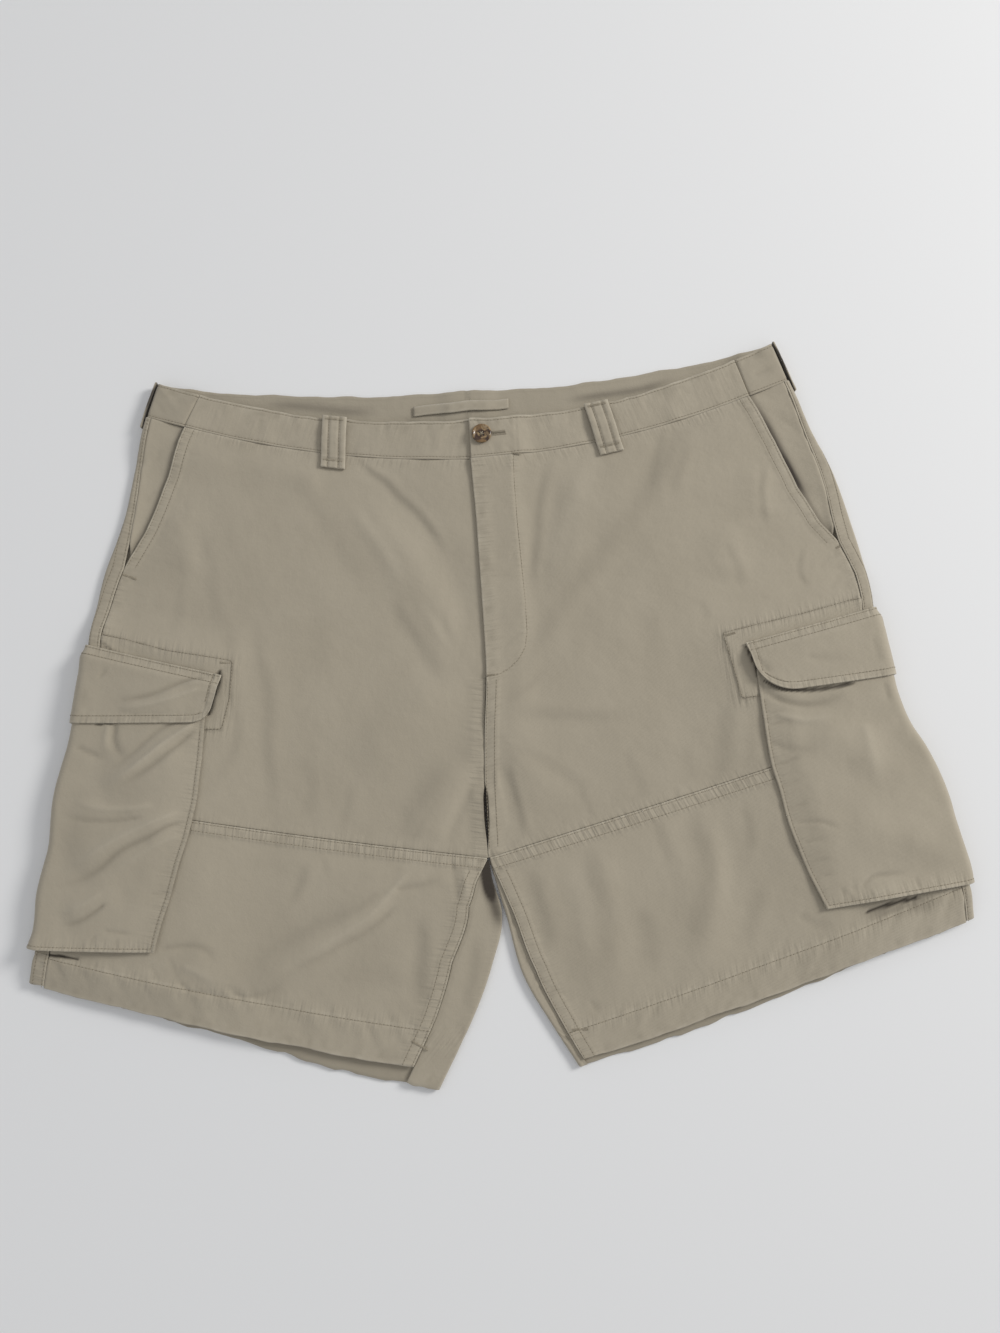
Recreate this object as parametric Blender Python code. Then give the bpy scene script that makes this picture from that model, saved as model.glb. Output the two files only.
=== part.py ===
"""Cargo shorts laid flat, front upwards. Metres, +Z up, Y towards the waist.

The garment's own plan has X = 0 on the centre front, Y = 0 at the crotch and Z = 0 on the floor.
Places on the cloth are given by two distances. drop runs down the centre front and on down the inseam
from the waist seam. along runs round a leg from its side fold: over the top if positive, underneath if
negative. Half.point turns the two into a point, and every piece is a grid of such points, moved out
from the body by its lift and given its own wall.
"""

from collections import namedtuple
from math import pi

import bmesh
import bpy
import numpy as np

# Cloth walls and the gaps between pieces
PANEL_WALL = 0.0012
HEM_WALL = 0.0018
BAND_WALL = 0.0024
FLAP_WALL = 0.0020
GUSSET_WALL = 0.0020
LOOP_WALL = 0.0016
TAPE_WALL = 0.0012
SEAM_GAP = 0.0003
LAYER_GAP = 0.0004

# Driving sizes of the cut
FRONT_RISE = 0.353
INSEAM = 0.186
HEM_DROP = FRONT_RISE + INSEAM
BAND_HEIGHT = 0.037
HEM_HEIGHT = 0.030
BACK_RISE_MORE = 0.030
FLY_LENGTH = 0.200
FLY_UNDERLAP = 0.026
BAND_UNDERLAP = 0.037
LEAST_INSEAM_IN = 0.0012
LOOP_WIDTH = 0.022
POCKET_REACH_UNDER = 0.090
GUSSET_WIDTH = 0.014
GUSSET_INSET = 0.0015
FACING_LENGTH = {"right": 0.132, "left": 0.156}
FACING_UNDERLAP = 0.014
BUTTON_DIAMETER = 0.0178

# Where the left front and band step down from what they lap over: beyond the lap, and below the fly
LAP_STEP = (0.003, 0.024)
FLY_END_STEP = (0.020, 0.060)

# Spacing of the rows of points down a panel, at the hip and down the leg
ROW_SPACING = 0.0195
LEG_ROW_SPACING = 0.013

# Lifts of what lies on a leg's side, above the leg's outer face
GUSSET_LIFT = LAYER_GAP
POCKET_LIFT = GUSSET_LIFT + GUSSET_WALL + LAYER_GAP
FLAP_LIFT = POCKET_LIFT + PANEL_WALL + 0.0005
POCKET_STACK = POCKET_LIFT + PANEL_WALL
FLAP_STACK = FLAP_LIFT + FLAP_WALL
BAND_PROUD = 0.0006
SIDE_LOOP_LIFT = 0.0015
SIDE_LOOP_STACK = SIDE_LOOP_LIFT + LOOP_WALL
BACK_LOOP_LIFT = LAYER_GAP
BACK_LOOP_STACK = BACK_LOOP_LIFT + LOOP_WALL

# Height of the folded cloth: at the waist, at the side folds, at the centre front and at the inner folds
WAIST_FOLD_HEIGHT = 0.0070
SIDE_FOLD_HEIGHT = 0.0054
CENTRE_HEIGHT = 0.0060
CROTCH_HEIGHT = 0.0028
INNER_FOLD_HEIGHT = 0.0056
LOFT = 0.0022

# Below the crotch: how far down until the inner fold is round, and until it has its full height
LEG_OPENS = 0.022
LEG_RISES = 0.030

# Slopes of the body where it climbs onto what lies beneath: down it, and across it above and underneath
SLOPE = 0.040
TOP_SLOPE = 0.100
UNDER_SLOPE = 0.020

# Reach of what lies beneath: round the pockets, and the loops at the side and at the centre back
POCKET_MARGIN = 0.003
SIDE_LOOP_REACH = 0.026
BACK_LOOP_REACH = 0.013
LOOP_BELOW_SEAM = 0.014

# One section across the shorts: the side fold, the inner end (centre front, then the inner fold) and
# how far the middle of the section hangs from the straight line between them
Section = namedtuple("Section", "drop side_out side_y inner_x inner_y bow")
SECTIONS_RIGHT = [
    Section(-0.075, 0.2670, 0.473, 0.002, 0.428, -0.013),
    Section(-0.037, 0.2790, 0.439, 0.002, 0.390, -0.013),
    Section(0.000, 0.2895, 0.408, 0.002, 0.353, -0.012),
    Section(0.050, 0.3000, 0.360, 0.004, 0.303, -0.010),
    Section(0.100, 0.3100, 0.312, 0.005, 0.253, -0.008),
    Section(0.150, 0.3270, 0.263, 0.006, 0.203, -0.006),
    Section(0.200, 0.3360, 0.215, 0.006, 0.153, -0.005),
    Section(0.250, 0.3400, 0.167, 0.002, 0.103, -0.004),
    Section(0.300, 0.3475, 0.119, 0.000, 0.053, -0.003),
    Section(0.353, 0.3605, 0.068, 0.000, 0.000, -0.003),
    Section(0.375, 0.3620, 0.050, 0.0042, -0.021, -0.003),
    Section(0.400, 0.3635, 0.030, 0.0100, -0.044, -0.004),
    Section(0.450, 0.3725, -0.010, -0.001, -0.089, -0.005),
    Section(0.500, 0.3765, -0.050, -0.020, -0.132, -0.005),
    Section(0.539, 0.3845, -0.082, -0.041, -0.170, -0.005),
]
SECTIONS_LEFT = [
    Section(-0.075, 0.2690, 0.486, 0.002, 0.428, -0.016),
    Section(-0.037, 0.2830, 0.449, 0.002, 0.390, -0.015),
    Section(0.000, 0.2950, 0.413, 0.002, 0.353, -0.013),
    Section(0.050, 0.3105, 0.368, 0.004, 0.303, -0.011),
    Section(0.100, 0.3275, 0.323, 0.005, 0.253, -0.008),
    Section(0.150, 0.3380, 0.278, 0.006, 0.203, -0.006),
    Section(0.200, 0.3460, 0.233, 0.006, 0.153, -0.004),
    Section(0.250, 0.3475, 0.187, 0.002, 0.103, -0.003),
    Section(0.300, 0.3525, 0.141, 0.000, 0.053, -0.002),
    Section(0.325, 0.3550, 0.119, 0.000, 0.028, -0.002),
    Section(0.353, 0.3630, 0.095, 0.000, 0.000, -0.001),
    Section(0.375, 0.3730, 0.075, 0.0050, -0.022, -0.002),
    Section(0.400, 0.3820, 0.052, 0.0115, -0.047, -0.003),
    Section(0.450, 0.3920, 0.010, 0.023, -0.096, -0.004),
    Section(0.500, 0.3990, -0.032, 0.045, -0.138, -0.004),
    Section(0.539, 0.4020, -0.071, 0.063, -0.168, -0.002),
]

# Where the seams lie on top: the side seam and the slant pocket's edge, in from the side fold, and the
# inseam, in from the inner fold
Seams = namedtuple("Seams", "drop side_seam slant inseam")
SEAMS_RIGHT = [
    Seams(-0.037, 0.007, 0.041, 0.000),
    Seams(0.000, 0.007, 0.038, 0.000),
    Seams(0.050, 0.007, 0.032, 0.000),
    Seams(0.100, 0.010, 0.024, 0.000),
    Seams(0.140, 0.017, 0.017, 0.000),
    Seams(0.200, 0.012, 0.012, 0.000),
    Seams(0.353, 0.012, 0.012, 0.000),
    Seams(0.375, 0.012, 0.012, 0.015),
    Seams(0.400, 0.012, 0.012, 0.029),
    Seams(0.450, 0.013, 0.013, 0.034),
    Seams(0.500, 0.014, 0.014, 0.030),
    Seams(0.539, 0.015, 0.015, 0.029),
]
SEAMS_LEFT = [
    Seams(-0.037, 0.007, 0.039, 0.000),
    Seams(0.000, 0.007, 0.041, 0.000),
    Seams(0.050, 0.008, 0.036, 0.000),
    Seams(0.100, 0.013, 0.037, 0.000),
    Seams(0.140, 0.017, 0.029, 0.000),
    Seams(0.165, 0.018, 0.018, 0.000),
    Seams(0.200, 0.012, 0.012, 0.000),
    Seams(0.353, 0.011, 0.011, 0.000),
    Seams(0.375, 0.011, 0.011, 0.004),
    Seams(0.400, 0.010, 0.010, 0.007),
    Seams(0.450, 0.010, 0.010, 0.012),
    Seams(0.500, 0.009, 0.009, 0.009),
    Seams(0.539, 0.009, 0.009, 0.007),
]

# How far the back hem shows below the front hem, by the share of the way in from the side
HemPeek = namedtuple("HemPeek", "share right left")
HEM_PEEK = [
    HemPeek(0.00, 0.000, 0.000),
    HemPeek(0.25, 0.000, 0.000),
    HemPeek(0.50, 0.005, 0.006),
    HemPeek(0.75, 0.013, 0.008),
    HemPeek(1.00, 0.013, 0.004),
]

# The cargo pocket and its flap on each leg. Drops are given at the front end and at the side fold. The
# flap's front end is given by its alongs at the top and at the bottom
Cargo = namedtuple(
    "Cargo", "bottom_front bottom_fold flap_front flap_front_low flap_top_front flap_top_fold"
    " flap_low_front flap_low_fold flap_corner"
)
CARGO_RIGHT = Cargo(0.483, 0.506, 0.1205, 0.1150, 0.224, 0.216, 0.267, 0.288, 0.016)
CARGO_LEFT = Cargo(0.483, 0.511, 0.1205, 0.1165, 0.234, 0.239, 0.284, 0.306, 0.034)
FLAP_SEWN = 0.014

# How far over the top of the leg the pocket's front edge lies
PocketEdge = namedtuple("PocketEdge", "drop right left")
POCKET_EDGE = [
    PocketEdge(0.25, 0.112, 0.112),
    PocketEdge(0.30, 0.116, 0.118),
    PocketEdge(0.35, 0.119, 0.125),
    PocketEdge(0.40, 0.117, 0.131),
    PocketEdge(0.44, 0.113, 0.132),
    PocketEdge(0.49, 0.107, 0.127),
]
POCKET_MOUTH_BELOW_FLAP_TOP = 0.022

# The largest folds, by the piece that they lie on. A ridge has a positive height and a trough a negative
# one. bend carries the middle of a fold sideways, to its right as it runs from its start
Fold = namedtuple("Fold", "on start_x start_y end_x end_y bend half_width height")
FOLDS = [
    Fold("body", -0.104, 0.346, -0.003, 0.172, -0.024, 0.017, -0.0020),
    Fold("body", -0.118, 0.318, -0.022, 0.160, -0.020, 0.018, 0.0022),
    Fold("body", -0.186, 0.372, -0.128, 0.326, 0.000, 0.017, 0.0016),
    Fold("body", -0.257, 0.330, -0.250, 0.250, 0.004, 0.015, 0.0018),
    Fold("body", -0.012, 0.150, -0.110, 0.074, 0.010, 0.019, 0.0026),
    Fold("body", -0.020, 0.090, -0.070, 0.012, -0.006, 0.018, 0.0022),
    Fold("body", 0.082, 0.345, 0.046, 0.210, -0.004, 0.017, -0.0018),
    Fold("body", 0.104, 0.345, 0.062, 0.226, -0.004, 0.017, 0.0022),
    Fold("body", 0.182, 0.345, 0.036, 0.164, -0.012, 0.018, -0.0020),
    Fold("body", 0.158, 0.345, 0.030, 0.186, -0.012, 0.018, 0.0020),
    Fold("body", 0.226, 0.286, 0.226, 0.226, 0.003, 0.017, 0.0018),
    Fold("body", 0.262, 0.336, 0.256, 0.282, 0.003, 0.015, 0.0016),
    Fold("body", 0.016, 0.135, 0.060, 0.030, 0.006, 0.018, 0.0024),
    Fold("body", -0.078, -0.012, -0.222, -0.098, -0.012, 0.016, 0.0036),
    Fold("body", -0.090, -0.046, -0.214, -0.124, -0.010, 0.016, -0.0016),
    Fold("body", -0.252, -0.052, -0.206, -0.100, 0.004, 0.016, 0.0020),
    Fold("body", 0.094, 0.016, 0.086, -0.126, 0.003, 0.017, 0.0024),
    Fold("body", 0.176, 0.004, 0.166, -0.120, -0.003, 0.018, 0.0022),
    Fold("pocket", -0.252, 0.110, -0.322, 0.066, 0.004, 0.015, 0.0022),
    Fold("pocket", -0.250, 0.050, -0.352, 0.002, 0.004, 0.015, 0.0026),
    Fold("pocket", -0.300, -0.012, -0.354, -0.034, 0.002, 0.014, 0.0016),
    Fold("pocket", 0.275, 0.096, 0.340, 0.058, -0.004, 0.018, 0.0018),
    Fold("pocket", 0.300, 0.020, 0.376, -0.012, 0.004, 0.017, 0.0020),
    Fold("flap", -0.246, 0.152, -0.316, 0.142, 0.002, 0.014, 0.0018),
    Fold("flap", 0.262, 0.172, 0.330, 0.186, 0.000, 0.015, 0.0010),
]

# Plan of the front belt loops: where their tops are, and how far they lean over the waistband's height
LoopPlace = namedtuple("LoopPlace", "top_x lean")
FRONT_LOOP_PLACE = {"right": LoopPlace(-0.119, -0.002), "left": LoopPlace(0.118, 0.008)}
BACK_LOOP_X = 0.002

# Plan of the hanging loop: it drops lower at its middle
HANGER_START, HANGER_END, HANGER_WIDTH = -0.048, 0.039, 0.0095
HANGER_DROP, HANGER_BEND, HANGER_WAVE, HANGER_BOW = -0.0195, 0.0035, 0.0015, 0.0012

# The button: its place, and its section from the middle out and back over the raised rim
BUTTON_X, BUTTON_DROP = 0.013, -0.0215
BUTTON_HOLE_RADIUS, BUTTON_HOLE_OUT, BUTTON_HOLE_DEPTH = 0.0009, 0.0018, 0.008
ButtonRing = namedtuple("ButtonRing", "share height")
BUTTON_RINGS = [
    ButtonRing(0.00, 0.0000),
    ButtonRing(0.62, 0.0000),
    ButtonRing(0.93, 0.0008),
    ButtonRing(1.00, 0.0016),
    ButtonRing(0.97, 0.0026),
    ButtonRing(0.86, 0.0030),
    ButtonRing(0.70, 0.0027),
    ButtonRing(0.55, 0.0021),
    ButtonRing(0.00, 0.0020),
]

# Principled BSDF values: red, green, blue, roughness
CLOTH = (0.330, 0.286, 0.222, 0.90)
CLOTH_INSIDE = (0.300, 0.258, 0.198, 0.92)
HORN = (0.240, 0.150, 0.080, 0.35)


def ramp(value, low, high):
    """0 up to low, 1 from high on, and a smooth step between them."""
    t = np.clip((np.asarray(value, float) - low) / (high - low), 0.0, 1.0)
    return t * t * (3 - 2 * t)


def smooth(x, xs, ys):
    """The value at x of a smooth curve through the points, straight beyond its two ends."""
    xs, ys = np.asarray(xs, float), np.asarray(ys, float)
    slopes = np.gradient(ys, xs)
    x = np.asarray(x, float)
    inside = np.clip(x, xs[0], xs[-1])
    i = np.clip(np.searchsorted(xs, inside) - 1, 0, len(xs) - 2)
    step = xs[i + 1] - xs[i]
    t = (inside - xs[i]) / step
    value = (
        (1 + 2 * t) * (1 - t) ** 2 * ys[i]
        + t * (1 - t) ** 2 * step * slopes[i]
        + t * t * (3 - 2 * t) * ys[i + 1]
        + t * t * (t - 1) * step * slopes[i + 1]
    )
    return value + (x - inside) * np.where(x < inside, slopes[0], slopes[-1])


def fold_height(x, y, on="body"):
    """The sum of one piece's folds at a place in plan."""
    total = np.zeros(np.broadcast(x, y).shape)
    for fold in FOLDS:
        if fold.on != on:
            continue
        run_x, run_y = fold.end_x - fold.start_x, fold.end_y - fold.start_y
        length = np.hypot(run_x, run_y)
        t = ((x - fold.start_x) * run_x + (y - fold.start_y) * run_y) / length**2
        aside = ((x - fold.start_x) * run_y - (y - fold.start_y) * run_x) / length
        aside = aside - 4 * fold.bend * t * (1 - t)
        taper = ramp(t, 0.0, 0.3) * ramp(1 - t, 0.0, 0.3)
        total = total + fold.height * taper * np.exp(-((aside / fold.half_width) ** 2))
    return total


class Half:
    """One half of the shorts: the wearer's right lies at -X, the left at +X."""

    def __init__(self, name, sign, sections, seams, cargo):
        self.name, self.sign, self.cargo = name, sign, cargo
        self.sections = {column: [getattr(s, column) for s in sections] for column in Section._fields}
        self.seams = {column: [getattr(s, column) for s in seams] for column in Seams._fields}
        self.peek = [getattr(row, name) for row in HEM_PEEK]
        self.pocket_edge = [getattr(row, name) for row in POCKET_EDGE]

    def section(self, column, drop):
        """A column's value at any drop. The inner end turns a corner at the crotch."""
        drops, values = self.sections["drop"], self.sections[column]
        if not column.startswith("inner"):
            return smooth(drop, drops, values)
        k = drops.index(FRONT_RISE)
        hip = smooth(np.minimum(drop, FRONT_RISE), drops[: k + 1], values[: k + 1])
        leg = smooth(np.maximum(drop, FRONT_RISE), drops[k:], values[k:])
        return np.where(np.asarray(drop) <= FRONT_RISE, hip, leg)

    def seam(self, column, drop):
        return np.interp(drop, self.seams["drop"], self.seams[column])

    def row(self, drop):
        """The side end, the direction and the length of a section."""
        side_x, side_y = self.sign * self.section("side_out", drop), self.section("side_y", drop)
        run_x, run_y = self.section("inner_x", drop) - side_x, self.section("inner_y", drop) - side_y
        length = np.hypot(run_x, run_y)
        return side_x, side_y, run_x / length, run_y / length, length

    def side_radius(self, drop):
        return (SIDE_FOLD_HEIGHT + (WAIST_FOLD_HEIGHT - SIDE_FOLD_HEIGHT) * ramp(-drop, -0.06, -0.01)) / 2

    def inner_height(self, drop):
        sinks = ramp(drop, FRONT_RISE - 0.12, FRONT_RISE - 0.02)
        hip = CENTRE_HEIGHT + (CROTCH_HEIGHT - CENTRE_HEIGHT) * sinks
        return hip + (INNER_FOLD_HEIGHT - hip) * ramp(drop, FRONT_RISE, FRONT_RISE + LEG_RISES)

    def raised(self, drop, inward, length, spread):
        """How far the body is raised by what lies beneath it. spread is the width of the slope inwards."""
        cargo = self.cargo
        top = min(cargo.flap_top_front, cargo.flap_top_fold) - POCKET_MARGIN
        low = max(cargo.bottom_front, cargo.bottom_fold) + POCKET_MARGIN
        reach = POCKET_REACH_UNDER + POCKET_MARGIN
        pocket = 1 - ramp(inward, reach, reach + spread)
        pocket = pocket * ramp(drop, top - SLOPE, top) * (1 - ramp(drop, low, low + SLOPE))
        loops = SIDE_LOOP_STACK * (1 - ramp(inward, SIDE_LOOP_REACH, SIDE_LOOP_REACH + spread))
        from_inner = length - inward
        loops = loops + BACK_LOOP_STACK * (1 - ramp(from_inner, BACK_LOOP_REACH, BACK_LOOP_REACH + spread))
        return FLAP_STACK * pocket + loops * (1 - ramp(drop, LOOP_BELOW_SEAM, LOOP_BELOW_SEAM + SLOPE))

    def top_height(self, drop, inward, x, y, length):
        """Height of the outer face of the top layer above the floor."""
        share = np.clip(inward / length, 0.0, 1.0)
        from_inner = length - inward
        across = ramp(share, 0.1, 0.9)
        edges = 2 * self.side_radius(drop) * (1 - across) + self.inner_height(drop) * across
        # Loft and folds fade out near the ends of a section, and most of the way at the firm waistband
        soft = 1 - 0.8 * ramp(-drop, -0.030, 0.004)
        loft = LOFT * np.sin(pi * share) * ramp(inward, 0.008, 0.045) * ramp(from_inner, 0.003, 0.035)
        at_inner_fold = self.opened(drop) * (1 - ramp(from_inner, 0.006, 0.030))
        folds = fold_height(x, y) * ramp(inward, 0.004, 0.030) * (1 - at_inner_fold)
        return self.raised(drop, inward, length, TOP_SLOPE) + edges + soft * (loft + folds)

    def under_height(self, drop, inward, length):
        return self.raised(drop, inward, length, UNDER_SLOPE)

    def opened(self, drop):
        """Below the crotch the leg is a tube of its own, with an inner fold."""
        return ramp(drop, FRONT_RISE, FRONT_RISE + LEG_OPENS)

    def point(self, drop, along, lift=0.0):
        """Point at a lift outwards from the body's outer face."""
        drop, along, lift = np.broadcast_arrays(*(np.asarray(v, float) for v in (drop, along, lift)))
        side_x, side_y, step_x, step_y, length = self.row(drop)
        radius = self.side_radius(drop)
        top_layer, reach = np.where(along > 0, 1.0, -1.0), np.abs(along)
        quarter = radius * pi / 2
        in_side_fold = reach < quarter
        around = np.minimum(reach / radius, pi / 2)
        flat = np.where(in_side_fold, radius, radius + reach - quarter)
        half_height = self.inner_height(drop) / 2
        across = half_height * self.opened(drop)
        turn_starts = length - across
        turn_length = (across + half_height) / 2
        in_inner_fold = (flat > turn_starts) & (across > 0)
        turn = np.where(in_inner_fold, np.clip((flat - turn_starts) / turn_length, 0.0, pi), 0.0)
        past = np.where(in_inner_fold, np.maximum(flat - turn_starts - pi * turn_length, 0.0), 0.0)
        turned_over = past > 0
        plan = np.where(in_inner_fold, turn_starts + np.maximum(across + lift, 0.00005) * np.sin(turn), flat)
        plan = np.where(turned_over, turn_starts - past, plan)
        plan = np.where(in_side_fold, radius - (radius + lift) * np.cos(around), plan)
        share = plan / length
        x = side_x + step_x * plan
        y = side_y + step_y * plan + 4 * self.section("bow", drop) * share * (1 - share)
        side = np.where(turned_over, -top_layer, top_layer)
        top = self.top_height(drop, plan, x, y, length) + lift
        under = self.under_height(drop, plan, length) - lift
        z = np.where(side > 0, top, under)
        middle = self.under_height(drop, plan, length) + half_height
        z = np.where(
            in_inner_fold & ~turned_over, middle + top_layer * (half_height + lift) * np.cos(turn), z
        )
        middle = self.under_height(drop, np.zeros_like(drop), length) + radius
        z = np.where(in_side_fold, middle + top_layer * (radius + lift) * np.sin(around), z)
        return np.stack([x, y, z], axis=-1)

    def along_at(self, drop, x):
        """The along of a place on top whose plan X is known."""
        side_x, _, step_x, _, _ = self.row(np.asarray(drop, float))
        radius = self.side_radius(drop)
        return (x - side_x) / step_x - radius + radius * pi / 2

    def back_drop(self, drop, share):
        """Drop of the back's rows: its rise is higher at the centre, and its hem hangs lower."""
        higher = BACK_RISE_MORE * np.sin(pi / 2 * np.clip(share, 0, 1)) ** 0.9
        lower = np.interp(share, [row.share for row in HEM_PEEK], self.peek)
        near_hem = ramp(drop, HEM_DROP - 0.08, HEM_DROP)
        return drop - higher * (1 - ramp(drop, 0.01, 0.185)) + lower * near_hem


RIGHT = Half("right", -1, SECTIONS_RIGHT, SEAMS_RIGHT, CARGO_RIGHT)
LEFT = Half("left", 1, SECTIONS_LEFT, SEAMS_LEFT, CARGO_LEFT)


def material(name, values):
    made = bpy.data.materials.new(name)
    made.use_nodes = True
    shader = made.node_tree.nodes["Principled BSDF"]
    red, green, blue, roughness = values
    shader.inputs["Base Color"].default_value = (red, green, blue, 1.0)
    shader.inputs["Roughness"].default_value = roughness
    shader.inputs["Metallic"].default_value = 0.0
    return made


def add_object(name, vertices, faces, values):
    mesh = bpy.data.meshes.new(name)
    mesh.from_pydata([tuple(v) for v in vertices], [], faces)
    mesh.validate()
    mesh.shade_smooth()
    mesh.set_sharp_from_angle(angle=0.7)
    mesh.materials.append(material(name + "_material", values))
    made = bpy.data.objects.new(name, mesh)
    bpy.context.scene.collection.objects.link(made)
    return made


def slab(name, outer, inner, values=CLOTH):
    """A closed wall between two grids of points, which have one row for each section."""
    rows, columns = outer.shape[:2]
    count = rows * columns
    index = np.arange(count).reshape(rows, columns)
    faces = []
    for i in range(rows - 1):
        for j in range(columns - 1):
            a, b, c, d = index[i, j], index[i, j + 1], index[i + 1, j + 1], index[i + 1, j]
            faces.append((a, b, c, d))
            faces.append((d + count, c + count, b + count, a + count))
    rim = [*index[0, :-1], *index[:-1, -1], *index[-1, :0:-1], *index[:0:-1, 0]]
    for a, b in zip(rim, rim[1:] + rim[:1]):
        faces.append((a, a + count, b + count, b))
    points = np.concatenate([outer.reshape(-1, 3), inner.reshape(-1, 3)])
    corners = points[np.array(faces)]
    volume = sum(np.linalg.det(corners[:, [0, k, k + 1]]).sum() for k in (1, 2))
    if volume < 0:
        faces = [face[::-1] for face in faces]
    return add_object(name, points, [tuple(int(i) for i in face) for face in faces], values)


def rows_between(low, high, spacing, extra=()):
    """Drops from low to high, with every extra one among them."""
    stops = sorted({low, high, *[e for e in extra if low < e < high]})
    rows = [low]
    for a, b in zip(stops, stops[1:]):
        parts = max(1, round((b - a) / spacing))
        rows += [a + (b - a) * (k + 1) / parts for k in range(parts)]
    return np.array(rows)


def side_turn(radius, steps=6):
    """Alongs round the side fold, from its top to its underside."""
    return radius * np.linspace(pi / 2, -pi / 2, steps + 1)


def front_point(half, drop, along, lift=0.0):
    """Point on top, which goes on over the other half where the right side underlaps the left."""
    points = half.point(drop, along, lift)
    if half is RIGHT:
        beyond = points[..., 0] > half.section("inner_x", drop)
        over = LEFT.point(drop, np.maximum(LEFT.along_at(drop, points[..., 0]), 0.0), lift)
        points = np.where((beyond & (drop < FRONT_RISE))[..., None], over, points)
    return points


def hem_wall(drop):
    """The wall at a drop: double where the hem is turned up."""
    hem_top = HEM_DROP - HEM_HEIGHT
    return PANEL_WALL + (HEM_WALL - PANEL_WALL) * ramp(drop, hem_top - 0.003, hem_top)


def fly_lift(half, drop, x, underlap, lift):
    """The left front lies over the right one at the fly, and so does its end of the waistband."""
    if half is RIGHT:
        return np.zeros(np.broadcast(drop, x).shape)
    beyond_lap = x - half.section("inner_x", drop) - underlap
    above_end = 1 - ramp(drop - FLY_LENGTH, *FLY_END_STEP)
    return lift * (1 - ramp(beyond_lap, *LAP_STEP)) * above_end


def panel_rows(low, high):
    """A panel's rows, close together where the legs part, with one at the fly's end and the hem's top."""
    rows = []
    if low < FRONT_RISE:
        rows += [*rows_between(low, min(high, FRONT_RISE), ROW_SPACING, (FLY_LENGTH,))]
    if high > FRONT_RISE:
        among = (FRONT_RISE + 0.004, FRONT_RISE + 0.011, HEM_DROP - HEM_HEIGHT)
        rows += [*rows_between(max(low, FRONT_RISE), high, LEG_ROW_SPACING, among)]
    return np.unique(rows)


def front_upper(half):
    """Front from the waist seam to the cross seam. Its side edge is the slant pocket's, then the seam."""
    drop = panel_rows(SEAM_GAP / 2, FRONT_RISE - SEAM_GAP / 2)[:, None]
    share = np.linspace(0, 1, 17)[None, :] ** 0.95
    start = half.seam("slant", drop) + SEAM_GAP / 2
    edge = half.along_at(drop, half.section("inner_x", drop)) - SEAM_GAP / 2
    if half is RIGHT:
        edge = edge + FLY_UNDERLAP * (1 - ramp(drop, FLY_LENGTH - 0.030, FLY_LENGTH))
    along = start + (edge - start) * share
    x = half.point(drop, along)[..., 0]
    lift = fly_lift(half, drop, x, FLY_UNDERLAP, PANEL_WALL + 2 * SEAM_GAP)
    outer, inner = front_point(half, drop, along, lift), front_point(half, drop, along, lift - PANEL_WALL)
    return slab("front_" + half.name, outer, inner)


def front_lower(half):
    """Front from the cross seam to the hem, with the hem's double wall turned inside."""
    drop = panel_rows(FRONT_RISE + SEAM_GAP / 2, HEM_DROP)[:, None]
    share = np.linspace(0, 1, 18)[None, :]
    start = half.seam("side_seam", drop) + SEAM_GAP / 2
    inner_edge = half.along_at(drop, half.section("inner_x", drop))
    end = inner_edge - np.maximum(half.seam("inseam", drop), LEAST_INSEAM_IN) - SEAM_GAP / 2
    along = start + (end - start) * share
    outer, inner = half.point(drop, along), half.point(drop, along, -hem_wall(drop))
    return slab("lower_front_" + half.name, outer, inner)


# The back's columns on the far side of the seat: their share of the way in hip rows, and in leg rows the
# share of the way to the inner fold, of the turn and of the way on to the inseam
BackColumn = namedtuple("BackColumn", "hip to_fold turn to_inseam")
BACK_COLUMNS = [
    BackColumn(0.28, 0.5, 0.00, 0.0),
    BackColumn(0.52, 1.0, 0.00, 0.0),
    BackColumn(0.68, 1.0, 0.25, 0.0),
    BackColumn(0.80, 1.0, 0.50, 0.0),
    BackColumn(0.88, 1.0, 0.75, 0.0),
    BackColumn(0.94, 1.0, 1.00, 0.0),
    BackColumn(1.00, 1.0, 1.00, 1.0),
]
BACK_REACHES = (0.022, 0.050, POCKET_REACH_UNDER + 0.001, POCKET_REACH_UNDER + 0.025, 0.160, 0.210)
BAND_COLUMNS = (0.08, 0.17, 0.3, 0.45, 0.6, 0.75, 0.88, 0.945, 1.0)


def back_alongs(half, drop):
    """Alongs of the back's columns: side seam, side fold, underside, inner fold and inseam."""
    radius = half.side_radius(drop)
    length = half.row(drop)[4]
    quarter = radius * pi / 2
    columns = [half.seam("side_seam", drop) - SEAM_GAP / 2]
    columns += [radius * angle for angle in side_turn(1.0)]
    columns += [-(quarter + reach) for reach in BACK_REACHES]
    last, centre = -columns[-1], length - radius + quarter
    half_height = half.inner_height(drop) / 2
    across = half_height * half.opened(drop)
    turn = pi * (across + half_height) / 2
    on_top = np.maximum(half.seam("inseam", drop), LEAST_INSEAM_IN) - across - SEAM_GAP / 2
    for column in BACK_COLUMNS:
        hip = last + (centre - SEAM_GAP / 2 - last) * column.hip
        leg = last + (centre - across - last) * column.to_fold
        leg = leg + turn * column.turn + on_top * column.to_inseam
        columns.append(-np.where(drop > FRONT_RISE + 0.001, leg, hip))
    return np.stack(columns, axis=-1)


def on_the_back(half, rows, alongs):
    """Drops and alongs of a back piece: its rows follow the back's rise and hem, column by column."""
    along = alongs(half, rows)
    share = np.where(along > 0, 0.0, np.abs(along) / half.row(rows)[4][:, None])
    drop = half.back_drop(rows[:, None], share)
    own = [alongs(half, drop[:, k])[:, k] for k in range(drop.shape[1])]
    return drop, np.stack(own, axis=-1)


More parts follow.
